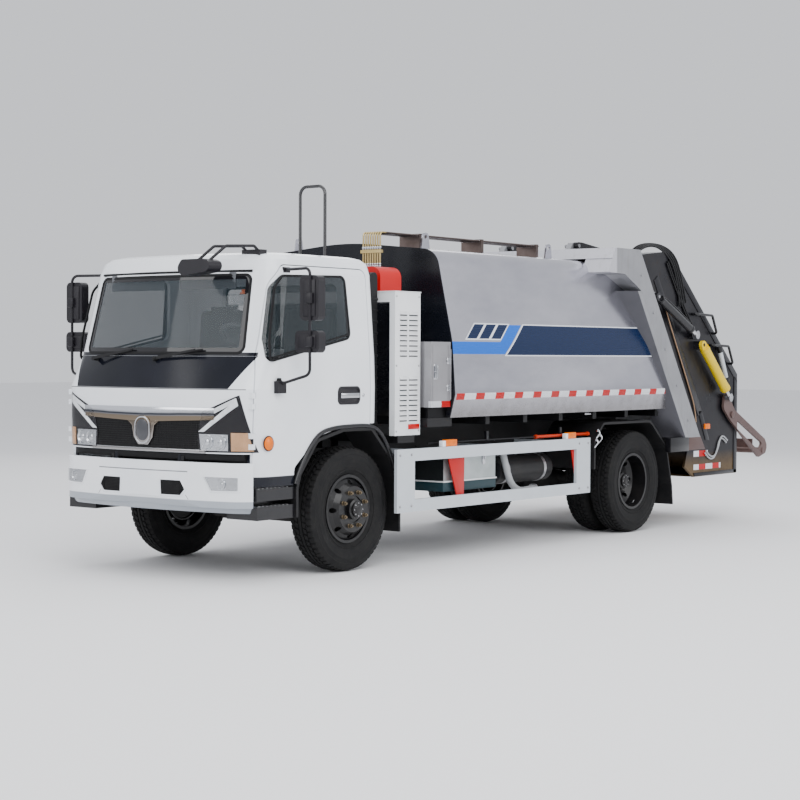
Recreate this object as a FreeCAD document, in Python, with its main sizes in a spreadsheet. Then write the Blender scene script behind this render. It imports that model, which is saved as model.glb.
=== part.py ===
import FreeCAD, Part
import math
import os

import Sketcher

# Rear-loading garbage truck: cab-over chassis, container, tailgate with packer and bin lifter.
# Millimetres. Forward is -Y, the truck's left is +X, up is +Z. The origin is on the ground,
# midway between the two sides and midway between the bumper's front and the lifter's tips.

Vector = FreeCAD.Vector
document = FreeCAD.newDocument("GarbageTruck")

# Driving dimensions. Heights are above the ground. Lengths along the truck whose note says
# "behind the front axle" are measured from that axle, rearwards.
SIZES = [
    ("wheelbase", 4200, "front axle to rear axle"),
    ("front_overhang", 1310, "front axle to the bumper's front"),
    ("rear_overhang", 2760, "rear axle to the tips of the bin lifter"),
    ("running_gap", 5, "clearance between pieces that move past each other"),
    ("seat_gap", 0.3, "clearance between pieces that seat on each other"),
    # Wheels
    ("tyre_radius", 487, "8.25R20 tyre"),
    ("tyre_width", 236, "section width"),
    ("rim_radius", 254, "20 inch bead seat"),
    ("rim_half_width", 88, "half the distance over the rim's flanges"),
    ("rim_flange", 14, "height of the rim's flange"),
    ("rim_wall", 9, "thickness of the rim's plate"),
    ("front_wheel_x", 870, "centre plane of a front tyre"),
    ("rear_outer_x", 965, "centre plane of an outer rear tyre"),
    ("twin_spacing", 280, "distance between twin tyres"),
    ("stud_circle", 275, "pitch circle of the wheel studs"),
    ("stud_radius", 11, "wheel stud"),
    ("hub_bore", 107, "radius of the disc's centre hole"),
    ("disc_face", 140, "tyre centre to the wheel disc's outer face"),
    ("hub_flange", 165, "radius of the hub's flange"),
    ("kingpin_x", 760, "steering axis"),
    ("kingpin_radius", 22, "steering pin"),
    ("spindle_radius", 38, "wheel spindle"),
    ("steering_arm", 165, "steering axis to the track rod"),
    ("hub_radius", 80, "hub barrel"),
    ("drum_radius", 190, "brake drum"),
    # Chassis
    ("rail_outer", 410, "outer face of a frame rail, from the middle"),
    ("rail_flange", 68, "flange width"),
    ("rail_plate", 9, "plate thickness"),
    ("rail_bottom", 700, "height"),
    ("rail_top", 930, "height"),
    ("rail_front", -1130, "behind the front axle"),
    ("rail_rear", 4960, "behind the front axle"),
    ("crossmember_radius", 45, "tubular crossmember"),
    ("sill_width", 70, "container sill on each rail"),
    ("sill_top", 1100, "height"),
    ("sill_front", 900, "behind the front axle"),
    ("floor_beam_depth", 70, "height of a floor beam"),
    ("floor_beam_width", 60, "width of a floor beam"),
    ("floor_beam_reach", 1030, "end of a floor beam, from the middle"),
    ("axle_beam_depth", 80, "front axle beam"),
    ("axle_beam_width", 90, "front axle beam"),
    ("axle_drop", 90, "how far the front beam's middle lies under its ends"),
    ("spring_x", 376, "centre of a leaf spring"),
    ("spring_width", 64, "leaf width"),
    ("spring_leaf", 12, "leaf thickness"),
    ("front_spring_reach", 620, "axle to spring eye"),
    ("rear_spring_reach", 660, "axle to spring eye"),
    ("spring_arch", 60, "height of the spring's arch"),
    ("rear_tube_radius", 66, "rear axle tube"),
    ("differential_radius", 185, "rear axle bowl"),
    ("shaft_radius", 42, "propeller shaft"),
    ("spring_pad", 14, "height of the rear axle's spring pads over its tube"),
    ("engine_front", -880, "behind the front axle"),
    ("engine_rear", 120, "behind the front axle"),
    ("engine_half_width", 300, "half the engine's width"),
    ("engine_bottom", 610, "height"),
    ("engine_top", 1075, "height"),
    ("gearbox_rear", 760, "behind the front axle"),
    ("gearbox_half_width", 165, "half the gearbox's width"),
    ("radiator_depth", 80, "along the truck"),
    ("radiator_front", -1060, "behind the front axle"),
    # Cab
    ("cab_front", -1280, "front centre of the cab, behind the front axle"),
    ("cab_rear", 300, "back wall, behind the front axle"),
    ("cab_half_width", 1020, "at the belt line"),
    ("cab_corner", 250, "plan radius of the front corners"),
    ("cab_bow", 4500, "plan radius of the front panel"),
    ("cab_rear_corner", 80, "plan radius of the rear corners"),
    ("cab_skin", 40, "thickness of walls and doors"),
    ("cab_skirt_bottom", 955, "lower edge of the front panel"),
    ("cab_belt", 1430, "height where the windscreen slope starts"),
    ("screen_bottom", 1670, "height"),
    ("screen_top", 2310, "height"),
    ("roof_top", 2450, "height"),
    ("roof_round", 85, "radius of the roof's edge"),
    ("cab_floor", 1150, "underside of the cab floor"),
    ("floor_plate", 40, "floor thickness"),
    ("screen_rake", 250, "how far the windscreen's top lies behind the front panel"),
    ("screen_step", 90, "how far the windscreen's bottom lies behind the front panel"),
    ("glass", 6, "pane thickness"),
    ("tilt_pivot_y", -1215, "cab tilt axis, behind the front axle"),
    ("tilt_pivot_z", 900, "height"),
    ("tilt_pin_radius", 14, "cab tilt pin"),
    ("door_bottom", 712, "height"),
    ("door_front", -1105, "behind the front axle"),
    ("door_rear", 190, "behind the front axle"),
    ("door_top", 2350, "height"),
    ("door_hinge_x", 973, "door hinge axis, from the middle"),
    ("door_gap", 7, "gap round a door"),
    ("arch_top", 1120, "height of the front arch's lip"),
    ("arch_plate", 26, "thickness of the front arch"),
    # Bumper and steps
    ("bumper_bottom", 560, "height"),
    ("bumper_top", 890, "height"),
    ("bumper_skin", 35, "thickness"),
    ("bumper_mount", 70, "bumper's front to the face of its mounts"),
    ("bumper_rear", -1120, "end of the bumper's sides, behind the front axle"),
    ("step_bottom", 470, "height"),
    ("step_top", 700, "height"),
    ("step_inner", 700, "inner side of a step, from the middle"),
    ("step_rear", -690, "behind the front axle"),
    # Side guards and what hangs from the rails
    ("guard_outer", 1105, "outer face of a side guard"),
    ("guard_depth", 28, "thickness across the truck"),
    ("guard_front", 430, "behind the front axle"),
    ("guard_rear", 3340, "behind the front axle"),
    ("guard_bottom", 430, "height"),
    ("guard_top", 935, "height"),
    ("guard_rail", 98, "height of its two rails"),
    ("guard_post", 235, "length of its end plates"),
    ("battery_front", 1150, "behind the front axle"),
    ("battery_length", 760, "along the truck"),
    ("battery_bottom", 560, "height"),
    ("battery_top", 860, "height"),
    ("battery_outer", 1030, "outer face"),
    ("battery_inner", 520, "inner face"),
    ("tank_radius", 120, "air tank"),
    ("fuel_length", 1150, "fuel tank along the truck"),
    ("fuel_round", 90, "rounding of the fuel tank"),
    # Behind the cab
    ("portal_front", 500, "behind the front axle"),
    ("portal_rear", 835, "behind the front axle"),
    ("portal_outer", 1025, "outer face"),
    ("portal_post", 55, "thickness of a side post"),
    ("portal_bottom", 1040, "height"),
    ("portal_top", 2190, "height"),
    ("portal_beam", 80, "height of the top beam"),
    ("guard_tube_radius", 14, "tube over the roof"),
    ("guard_tube_top", 3090, "height"),
    ("guard_tube_half", 135, "half the distance between its legs"),
    ("intake_x", 800, "centre of the air intake"),
    ("intake_y", 400, "behind the front axle"),
    ("intake_width", 150, "across the truck"),
    ("intake_depth", 120, "along the truck"),
    ("intake_top", 2370, "height"),
    ("valve_inner", 440, "red valve cover, from the middle"),
    ("valve_outer", 850, "red valve cover, from the middle"),
    ("valve_top", 2400, "height"),
    ("pipe_radius", 7.5, "hydraulic pipe"),
    ("pipe_pitch", 25, "distance between pipes"),
    ("pipe_first_x", 470, "first pipe, from the middle"),
    ("pipe_roof_height", 2695, "height of the pipes over the container"),
    ("pipe_rear", 3150, "end of the pipes, behind the front axle"),
    # Container
    ("box_front", 1140, "behind the front axle"),
    ("box_bottom", 1172, "underside of the container floor"),
    ("box_half_width", 1152, "widest place"),
    ("box_belt", 1360, "height of the widest place"),
    ("box_top", 2650, "height of the crown"),
    ("box_wall", 25, "wall thickness with its ribs"),
    ("ring_top_y", 4100, "upper end of the tailgate plane, behind the front axle"),
    ("ring_top_z", 2660, "height of that end"),
    ("ring_foot_y", 5280, "lower end of the tailgate plane, behind the front axle"),
    ("ring_foot_z", 900, "height of that end"),
    ("ring_half_width", 1190, "outer face of the rear ring"),
    ("ring_depth", 240, "ring's depth along the truck"),
    ("eye_radius", 20, "hole of a lifting eye"),
    ("eye_plate", 14, "thickness of a lifting eye"),
    ("cabinet_front", 862, "behind the front axle"),
    ("cabinet_rear", 1126, "behind the front axle"),
    ("cabinet_outer", 1100, "outer face of the cabinet's frame"),
    ("cabinet_inner", 860, "inner face"),
    ("cabinet_bottom", 1262, "height"),
    ("cabinet_top", 1795, "height"),
    ("cabinet_sheet", 18, "thickness of its walls and door"),
    # Ejector
    ("ejector_front", 1190, "rest place of the plate's foot, behind the front axle"),
    ("ejector_plate", 30, "plate thickness"),
    ("ejector_gap", 12, "clearance to the container's walls"),
    # Tailgate
    ("hinge_y", 4150, "tailgate hinge, behind the front axle"),
    ("hinge_z", 2755, "height of the tailgate hinge"),
    ("hinge_pin_radius", 18, "tailgate hinge pin"),
    ("gate_half_width", 1060, "outer face of the tailgate's side plates"),
    ("gate_plate", 24, "thickness of a side plate"),
    ("gate_clearance", 12, "gap between ring and tailgate"),
    ("gate_top_y", 4960, "upper rear corner, behind the front axle"),
    ("gate_top_z", 2655, "height of that corner"),
    ("gate_rear_y", 6330, "rear edge, behind the front axle"),
    ("gate_shoulder_z", 1490, "where the rear edge turns upright"),
    ("gate_bottom", 465, "height"),
    ("gate_front_foot", 5150, "lower front corner, behind the front axle"),
    ("sill_rear_z", 1120, "loading edge"),
    ("hopper_centre_y", 5600, "axis of the hopper's curve, behind the front axle"),
    ("hopper_centre_z", 1350, "height of that axis"),
    ("hopper_radius", 780, "inner radius of the hopper's floor"),
    ("ramp_sheet", 12, "thickness of the ramp between hopper and container"),
    ("hopper_plate", 20, "thickness of the hopper's floor"),
    ("blade_length", 700, "packer blade, hinge to tip"),
    ("blade_thickness", 60, "packer blade"),
    ("slide_length", 900, "slide plate, along its guides"),
    ("slide_thickness", 70, "slide plate"),
    ("slide_travel", 650, "stroke"),
    ("inner_gap", 20, "side clearance of slide and blade"),
    ("blade_pin_radius", 30, "packer hinge"),
    # Bin lifter
    ("lifter_pivot_y", 6150, "behind the front axle"),
    ("lifter_pivot_z", 1080, "height"),
    ("lifter_pin_radius", 22, "pivot pin"),
    ("lifter_arm_inner", 1075, "inner face of an arm"),
    ("lifter_arm_plate", 25, "arm thickness"),
    ("lifter_tip_z", 740, "height of the upper tip"),
    ("cross_tube_radius", 32, "tube between the arms"),
    # Cylinders
    ("cylinder_x", 1140, "plane of the outer cylinders"),
    ("lift_lug_face", 1109, "outer face of the tailgate's cylinder lugs"),
    ("lift_base_y", 4500, "tailgate cylinder's fixed pin, behind the front axle"),
    ("lift_base_z", 2260, "height"),
    ("lift_eye_y", 5290, "tailgate cylinder's rod pin, behind the front axle"),
    ("lift_eye_z", 1900, "height"),
    ("lift_bore", 40, "barrel radius"),
    ("lift_rod", 22, "rod radius"),
    ("bin_base_y", 5420, "lifter cylinder's fixed pin, behind the front axle"),
    ("bin_base_z", 1800, "height"),
    ("bin_eye_y", 6020, "lifter cylinder's rod pin, behind the front axle"),
    ("bin_eye_z", 1260, "height"),
    ("bin_bore", 50, "barrel radius"),
    ("bin_rod", 20, "rod radius"),
    ("eye_width", 36, "width of a cylinder's eye"),
    ("eye_outer", 42, "outer radius of a cylinder's eye"),
    ("cylinder_pin_radius", 16, "cylinder pin"),
]


class Size:
    """A length or angle: its present value and the sheet formula that gives it."""

    def __init__(self, value, formula):
        self.value = float(value)
        self.formula = formula

    @staticmethod
    def of(item):
        if isinstance(item, Size):
            return item
        return Size(item, "%.6f" % item if item >= 0 else "(%.6f)" % item)

    def __add__(self, other):
        other = Size.of(other)
        return Size(self.value + other.value, "(%s + %s)" % (self.formula, other.formula))

    def __radd__(self, other):
        return Size.of(other) + self

    def __sub__(self, other):
        other = Size.of(other)
        return Size(self.value - other.value, "(%s - %s)" % (self.formula, other.formula))

    def __rsub__(self, other):
        return Size.of(other) - self

    def __mul__(self, other):
        other = Size.of(other)
        return Size(self.value * other.value, "(%s * %s)" % (self.formula, other.formula))

    def __rmul__(self, other):
        return Size.of(other) * self

    def __truediv__(self, other):
        other = Size.of(other)
        return Size(self.value / other.value, "(%s / %s)" % (self.formula, other.formula))

    def __neg__(self):
        return Size(-self.value, "(-1 * %s)" % self.formula)


def root(size):
    """The square root of a size."""
    return Size(math.sqrt(size.value), "sqrt(%s)" % size.formula)


class Sheet:
    """The driving dimensions as attributes, each tied to its cell's alias."""

    def __init__(self, sizes):
        self.cells = document.addObject("Spreadsheet::Sheet", "Sizes")
        for row, (alias, value, note) in enumerate(sizes, start=1):
            self.cells.set("A%d" % row, alias)
            self.cells.set("B%d" % row, str(value))
            self.cells.set("C%d" % row, note)
            self.cells.setAlias("B%d" % row, alias)
            setattr(self, alias, Size(value, "Sizes." + alias))


size = Sheet(SIZES)
document.recompute()

front_axle_y = (size.front_overhang - size.wheelbase - size.rear_overhang) / 2
rear_axle_y = front_axle_y + size.wheelbase


def behind(distance):
    """A place along the truck, given behind the front axle."""
    return front_axle_y + distance


# Ways of making shapes

def bind(item, path, value):
    """Tie one property of an object to a formula of the sheet."""
    item.setExpression(path, Size.of(value).formula)


def set_place(item, x, y, z):
    bind(item, ".Placement.Base.x", x)
    bind(item, ".Placement.Base.y", y)
    bind(item, ".Placement.Base.z", z)


def box(name, x, y, z):
    """A block between two places along each axis."""
    item = document.addObject("Part::Box", name)
    bind(item, "Length", x[1] - x[0])
    bind(item, "Width", y[1] - y[0])
    bind(item, "Height", z[1] - z[0])
    set_place(item, x[0], y[0], z[0])
    return item


AXIS_TURNS = {
    "X": FreeCAD.Rotation(Vector(0, 1, 0), 90),
    "Y": FreeCAD.Rotation(Vector(1, 0, 0), -90),
    "Z": FreeCAD.Rotation(),
}


def bar(name, axis, radius, start, length):
    """A round bar from a start point along one axis."""
    item = document.addObject("Part::Cylinder", name)
    item.Placement = FreeCAD.Placement(Vector(), AXIS_TURNS[axis])
    bind(item, "Radius", radius)
    bind(item, "Height", length)
    set_place(item, *start)
    return item


def inclined(name, x, start, end, radius, skip=0, reach=None):
    """A round bar in a plane of constant X, from one (y, z) towards another.

    It begins skip after the start, and is reach long or ends at the end point."""
    dy = Size.of(end[0]) - start[0]
    dz = Size.of(end[1]) - start[1]
    distance = root(dy * dy + dz * dz)
    item = document.addObject("Part::Cylinder", name)
    item.Placement = FreeCAD.Placement(Vector(), FreeCAD.Rotation(Vector(1, 0, 0), 10))
    item.setExpression(".Placement.Rotation.Angle", "atan2(-1 * %s; %s)" % (dy.formula, dz.formula))
    bind(item, "Radius", radius)
    bind(item, "Height", distance - skip if reach is None else Size.of(reach))
    set_place(item, x, start[0] + dy * skip / distance, start[1] + dz * skip / distance)
    return item


PLANES = {"side": "YZ_Plane", "front": "XZ_Plane", "plan": "XY_Plane"}


def corner_geometry(points):
    """Where each corner's round begins and ends, from the outline's present values."""
    ends = []
    count = len(points)
    for index, (u, v, radius) in enumerate(points):
        here = Vector(u.value, v.value, 0)
        if radius is None:
            ends.append((here, None, here))
            continue
        before = points[index - 1]
        after = points[(index + 1) % count]
        back = (Vector(before[0].value, before[1].value, 0) - here).normalize()
        ahead = (Vector(after[0].value, after[1].value, 0) - here).normalize()
        half = back.getAngle(ahead) / 2
        setback = radius.value / math.tan(half)
        bisector = (back + ahead).normalize()
        centre = here + bisector * (radius.value / math.sin(half))
        middle = centre - bisector * radius.value
        ends.append((here + back * setback, middle, here + ahead * setback))
    return ends


def draw_outline(sketch, outline):
    """Draw a closed outline of (u, v) or (u, v, corner radius), each tied to the sheet."""
    points = [(Size.of(p[0]), Size.of(p[1]), Size.of(p[2]) if len(p) > 2 else None) for p in outline]
    ends = corner_geometry(points)
    count = len(points)
    lines = []
    for index in range(count):
        start = ends[index][2]
        finish = ends[(index + 1) % count][0]
        lines.append(sketch.addGeometry(Part.LineSegment(start, finish), False))
    for index, (u, v, radius) in enumerate(points):
        before = lines[index - 1]
        after = lines[index]
        if radius is None:
            sketch.addConstraint(Sketcher.Constraint("Coincident", before, 2, after, 1))
            place = after
        else:
            entry, middle, leave = ends[index]
            arc = sketch.addGeometry(Part.Arc(entry, middle, leave), False)
            place = sketch.addGeometry(Part.Point(Vector(u.value, v.value, 0)), True)
            turn = (middle - entry).cross(leave - middle).z
            first, last = (1, 2) if turn > 0 else (2, 1)
            sketch.addConstraint(Sketcher.Constraint("PointOnObject", place, 1, before))
            sketch.addConstraint(Sketcher.Constraint("PointOnObject", place, 1, after))
            sketch.addConstraint(Sketcher.Constraint("Tangent", before, 2, arc, first))
            sketch.addConstraint(Sketcher.Constraint("Tangent", arc, last, after, 1))
            row = sketch.addConstraint(Sketcher.Constraint("Radius", arc, radius.value))
            bind(sketch, "Constraints[%d]" % row, radius)
        for kind, value in (("DistanceX", u), ("DistanceY", v)):
            row = sketch.addConstraint(Sketcher.Constraint(kind, place, 1, value.value))
            bind(sketch, "Constraints[%d]" % row, value)


def new_sketch(body, plane, offset):
    sketch = body.newObject("Sketcher::SketchObject", body.Name + "_outline")
    role = PLANES[plane]
    support = [item for item in body.Origin.OriginFeatures if item.Role == role][0]
    sketch.AttachmentSupport = [(support, "")]
    sketch.MapMode = "FlatFace"
    bind(sketch, ".AttachmentOffset.Base.z", offset)
    return sketch


def prism(name, plane, span, outline):
    """A padded outline: side view (Y, Z) along X, front view (X, Z) along Y, plan (X, Y) along Z."""
    body = document.addObject("PartDesign::Body", name)
    low, high = Size.of(span[0]), Size.of(span[1])
    sketch = new_sketch(body, plane, -high if plane == "front" else low)
    draw_outline(sketch, outline)
    pad = body.newObject("PartDesign::Pad", name + "_pad")
    pad.Profile = sketch
    bind(pad, "Length", high - low)
    body.Tip = pad
    return body


def turned(name, place, outline):
    """A body turned about an axis along X, from an outline of (distance along X, radius)."""
    body = document.addObject("PartDesign::Body", name)
    sketch = new_sketch(body, "front", 0)
    draw_outline(sketch, outline)
    revolution = body.newObject("PartDesign::Revolution", name + "_turn")
    revolution.Profile = sketch
    revolution.ReferenceAxis = (sketch, ["H_Axis"])
    revolution.Angle = 360
    body.Tip = revolution
    set_place(body, *place)
    return body


def fuse(name, *items):
    item = document.addObject("Part::MultiFuse", name)
    item.Shapes = list(items)
    return item


def group(name, *items):
    """Separate solids of one node."""
    item = document.addObject("Part::Compound", name)
    item.Links = list(items)
    return item


def cut(name, base, *tools):
    item = document.addObject("Part::Cut", name)
    item.Base = base
    item.Tool = tools[0] if len(tools) == 1 else fuse(name + "_tools", *tools)
    return item


def common(name, *items):
    item = document.addObject("Part::MultiCommon", name)
    item.Shapes = list(items)
    return item


def mirrored(name, source):
    """The same shape on the truck's other side."""
    item = document.addObject("Part::Mirroring", name)
    item.Source = source
    item.Normal = Vector(1, 0, 0)
    return item


def both_sides(name, source):
    return group(name, source, mirrored(name + "_right", source))


def bent_tube(name, points, radius, bend):
    """A round tube along straight runs joined by tangent arcs of one bend radius."""
    places = [Vector(*[Size.of(value).value for value in point]) for point in points]
    edges = []
    start = places[0]
    for before, corner, after in zip(places, places[1:], places[2:]):
        back = (before - corner).normalize()
        ahead = (after - corner).normalize()
        half = back.getAngle(ahead) / 2
        setback = Size.of(bend).value / math.tan(half)
        bisector = (back + ahead).normalize()
        centre = corner + bisector * (Size.of(bend).value / math.sin(half))
        entry = corner + back * setback
        leave = corner + ahead * setback
        edges.append(Part.LineSegment(start, entry).toShape())
        edges.append(Part.Arc(entry, centre - bisector * Size.of(bend).value, leave).toShape())
        start = leave
    edges.append(Part.LineSegment(start, places[-1]).toShape())
    path = Part.Wire(edges)
    section = Part.Wire(Part.makeCircle(Size.of(radius).value, places[0], places[1] - places[0]))
    item = document.addObject("Part::Feature", name)
    item.Shape = path.makePipeShell([section], True, False)
    return item


NODES = {}


def node(name, item):
    """Keep an object as a sub-part: its label is the node's and the file's name."""
    item.Label = name
    NODES[name] = item
    return item


def mirrored_x(span, side):
    """A span across the truck on the left (1) or right (-1) side."""
    low, high = Size.of(span[0]), Size.of(span[1])
    return (low, high) if side > 0 else (-high, -low)


SIDES = (("left", 1), ("right", -1))


# Chassis frame

def make_frame_rails():
    """Two channel rails with tubular crossmembers and closing members at both ends."""
    rail = prism("rail", "front", (behind(size.rail_front), behind(size.rail_rear)), [
        (size.rail_outer, size.rail_bottom),
        (size.rail_outer, size.rail_top),
        (size.rail_outer - size.rail_flange, size.rail_top),
        (size.rail_outer - size.rail_flange, size.rail_top - size.rail_plate),
        (size.rail_outer - size.rail_plate, size.rail_top - size.rail_plate),
        (size.rail_outer - size.rail_plate, size.rail_bottom + size.rail_plate),
        (size.rail_outer - size.rail_flange, size.rail_bottom + size.rail_plate),
        (size.rail_outer - size.rail_flange, size.rail_bottom),
    ])
    inner = size.rail_outer - size.rail_plate
    middle = (size.rail_bottom + size.rail_top) / 2
    members = [rail, mirrored("rail_right", rail)]
    for index, place in enumerate((960, 1700, 2440, 3180, 3760, 4640)):
        members.append(bar("crossmember_%d" % index, "X", size.crossmember_radius,
                           (-inner, behind(place), middle), inner * 2))
    for name, start in (("front_member", size.rail_front),
                        ("rear_member", size.rail_rear - size.rail_flange)):
        members.append(box(name, (-inner, inner), (behind(start), behind(start) + size.rail_flange),
                           (size.rail_bottom + size.rail_plate, size.rail_top - size.rail_plate)))
    for name, side in SIDES:
        members.append(box("bumper_arm_" + name, mirrored_x((size.rail_outer - 60, size.rail_outer), side),
                           (behind(-size.front_overhang) + size.bumper_mount + size.seat_gap, behind(size.rail_front)),
                           (size.rail_bottom + size.rail_plate, size.rail_top - 70)))
        members.append(box("tilt_ear_" + name, mirrored_x((size.rail_outer - 55, size.rail_outer - 25), side),
                           (behind(size.tilt_pivot_y) - 20, behind(size.tilt_pivot_y) + 20),
                           (size.rail_top - 90, size.tilt_pivot_z + 24)))
        pin_start = size.rail_outer - 95
        members.append(bar("tilt_pin_" + name, "X", size.tilt_pin_radius,
                           (pin_start if side > 0 else -size.rail_outer + 25,
                            behind(size.tilt_pivot_y), size.tilt_pivot_z), 70))
        members.append(box("cab_rest_post_" + name, mirrored_x((size.rail_outer - 60, size.rail_outer), side),
                           (behind(180), behind(250)), (size.rail_top, size.cab_floor - 50)))
    members.append(box("cab_rest", (-size.rail_outer, size.rail_outer), (behind(180), behind(250)),
                       (size.cab_floor - 50, size.cab_floor - size.seat_gap)))
    node("frame_rails", fuse("frame_rails", *members))


def make_sub_frame():
    """Container sills on the rails with floor beams across them."""
    outer = size.rail_outer
    beams = []
    for name, side in SIDES:
        beams.append(box("sill_" + name, mirrored_x((outer - size.sill_width, outer), side),
                         (behind(size.sill_front), behind(size.rail_rear)),
                         (size.rail_top, size.sill_top)))
    beam_top = size.box_bottom
    for index in range(7):
        start = behind(size.box_front) + 40 + index * 580
        beams.append(box("floor_beam_%d" % index,
                         (-size.floor_beam_reach, size.floor_beam_reach),
                         (start, start + size.floor_beam_width), (size.sill_top, beam_top)))
    portal_foot = behind(size.portal_front)
    beams.append(box("portal_beam_foot", (-size.portal_outer, size.portal_outer),
                     (portal_foot + 40, portal_foot + 260), (size.portal_bottom - 60, size.portal_bottom)))
    for name, side in SIDES:
        beams.append(box("portal_leg_" + name, mirrored_x((outer - size.sill_width, outer), side),
                         (portal_foot + 40, portal_foot + 260),
                         (size.rail_top, size.portal_bottom - 60)))
        beams.append(box("cabinet_shelf_" + name, mirrored_x((size.cabinet_inner, size.cabinet_outer - 20), side),
                         (behind(size.cabinet_front), behind(size.box_front) + 60),
                         (size.sill_top, size.box_bottom)))
    node("sub_frame", fuse("sub_frame", *beams))


def make_engine():
    """The engine and gearbox as one plain block under the cab."""
    engine = box("engine", (-size.engine_half_width, size.engine_half_width),
                 (behind(size.engine_front), behind(size.engine_rear)),
                 (size.engine_bottom, size.engine_top))
    gearbox = box("gearbox", (-size.gearbox_half_width, size.gearbox_half_width),
                  (behind(size.engine_rear), behind(size.gearbox_rear)),
                  (size.engine_bottom + 20, size.engine_top - 120))
    mounts = box("engine_mounts", (-size.rail_outer + size.rail_plate, size.rail_outer - size.rail_plate),
                 (behind(size.engine_front) + 300, behind(size.engine_front) + 400),
                 (size.rail_bottom + size.rail_plate + 40, size.rail_bottom + size.rail_plate + 90))
    node("engine_block", fuse("engine_block", engine, gearbox, mounts))


def make_radiator():
    front = behind(size.radiator_front)
    core = box("radiator_core", (-size.engine_half_width - 25, size.engine_half_width + 25),
               (front, front + size.radiator_depth), (size.rail_bottom + 40, size.engine_top))
    feet = box("radiator_feet", (-size.rail_outer + size.rail_plate, size.rail_outer - size.rail_plate),
               (front + 15, front + size.radiator_depth - 15),
               (size.rail_bottom + size.rail_plate, size.rail_bottom + 40))
    node("radiator", fuse("radiator", core, feet))


# Axles and springs

def make_front_axle():
    """The dropped front beam with an eye at each end for the steering pin."""
    depth = size.axle_beam_depth
    top = size.tyre_radius + depth / 2
    low = top - size.axle_drop
    end = size.kingpin_x
    shoulder = size.rail_outer + 110
    half = size.axle_beam_width / 2
    beam = prism("axle_beam", "front", (front_axle_y - half, front_axle_y + half), [
        (-end, top), (-shoulder, top, 60), (-shoulder + 70, low, 60),
        (shoulder - 70, low, 60), (shoulder, top, 60), (end, top),
        (end, top - depth), (shoulder - 20, top - depth, 60), (shoulder - 90, low - depth, 60),
        (-shoulder + 90, low - depth, 60), (-shoulder + 20, top - depth, 60), (-end, top - depth),
    ])
    pieces = [beam]
    bores = []
    for name, side in SIDES:
        foot = (end * side, front_axle_y, top - depth)
        pieces.append(bar("beam_eye_" + name, "Z", half, foot, depth))
        bores.append(bar("beam_bore_" + name, "Z", size.kingpin_radius + 0.5,
                         (end * side, front_axle_y, top - depth - 10), depth + 20))
    node("front_axle_beam", cut("front_axle_beam", fuse("axle_beam_solid", *pieces), *bores))


def make_rear_axle():
    """The banjo housing, its spring pads and the propeller shaft to the gearbox."""
    reach = size.rear_outer_x - size.twin_spacing / 2 - 80
    tube = size.rear_tube_radius
    bowl = size.differential_radius
    housing = turned("axle_housing", (0, rear_axle_y, size.tyre_radius), [
        (-reach, 0), (-reach, tube), (-bowl - 60, tube), (-bowl + 20, bowl * 0.75), (-bowl * 0.45, bowl),
        (bowl * 0.45, bowl), (bowl - 20, bowl * 0.75), (bowl + 60, tube), (reach, tube), (reach, 0)])
    start = (behind(size.gearbox_rear) + 5, size.rail_bottom + 20)
    shaft = inclined("propeller_shaft", 0, start, (rear_axle_y, size.tyre_radius), size.shaft_radius)
    half = size.spring_width / 2 + 6
    hub_start = size.rear_outer_x - size.twin_spacing / 2 - size.rim_wall - 190
    collars = [bar("axle_collar_" + name, "X", tube + 22,
                   (hub_start - 20 - size.seat_gap if side > 0 else -hub_start + size.seat_gap, rear_axle_y,
                    size.tyre_radius), 20) for name, side in SIDES]
    pads = [box("spring_pad_" + name, mirrored_x((size.spring_x - half, size.spring_x + half), side),
                (rear_axle_y - 60, rear_axle_y + 60),
                (size.tyre_radius + tube * 0.5, size.tyre_radius + tube + size.spring_pad))
            for name, side in SIDES]
    node("rear_axle", fuse("rear_axle", housing, shaft, *(pads + collars)))


def spring_pack(name, x, centre_y, bottom, reach, count):
    """Leaves in a shallow arch, each shorter than the one above, with an eye at both ends."""
    half = size.spring_width / 2
    leaves = []
    for index in range(count):
        share = 1 - index / (count + 1.0)
        top = bottom + size.spring_leaf * (count - index)
        span = reach * share
        lift = size.spring_arch * share * share
        leaves.append(prism("%s_leaf_%d" % (name, index), "side", (x - half, x + half), [
            (centre_y - span, top + lift), (centre_y - span / 2, top + lift / 4), (centre_y, top),
            (centre_y + span / 2, top + lift / 4), (centre_y + span, top + lift),
            (centre_y + span, top + lift - size.spring_leaf),
            (centre_y + span / 2, top + lift / 4 - size.spring_leaf), (centre_y, top - size.spring_leaf),
            (centre_y - span / 2, top + lift / 4 - size.spring_leaf),
            (centre_y - span, top + lift - size.spring_leaf),
        ]))
    eye_height = bottom + size.spring_leaf * count + size.spring_arch
    for tail, sign in (("front", -1), ("rear", 1)):
        place = centre_y + reach * sign
        leaves.append(bar("%s_eye_%s" % (name, tail), "X", size.spring_leaf * 2, (x - half, place, eye_height),
                          size.spring_width))
        leaves.append(box("%s_hanger_%s" % (name, tail), (x - half, x + half),
                          (place - 30, place + 30), (eye_height, size.rail_bottom)))
    clamp_top = bottom + size.spring_leaf * count
    leaves.append(box(name + "_clamp", (x - half - 6, x + half + 6), (centre_y - 60, centre_y + 60),
                      (bottom, clamp_top + 14)))
    return fuse(name, *leaves)


def make_springs():
    front_seat = size.tyre_radius + size.axle_beam_depth / 2 - size.axle_drop
    rear_seat = size.tyre_radius + size.rear_tube_radius + size.spring_pad
    springs = []
    for name, side in SIDES:
        x = size.spring_x * side
        springs.append(spring_pack("front_spring_" + name, x, front_axle_y, front_seat,
                                   size.front_spring_reach, 5))
        springs.append(spring_pack("rear_spring_" + name, x, rear_axle_y, rear_seat,
                                   size.rear_spring_reach, 4))
    node("leaf_springs", group("leaf_springs", *springs))


# Wheels

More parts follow.
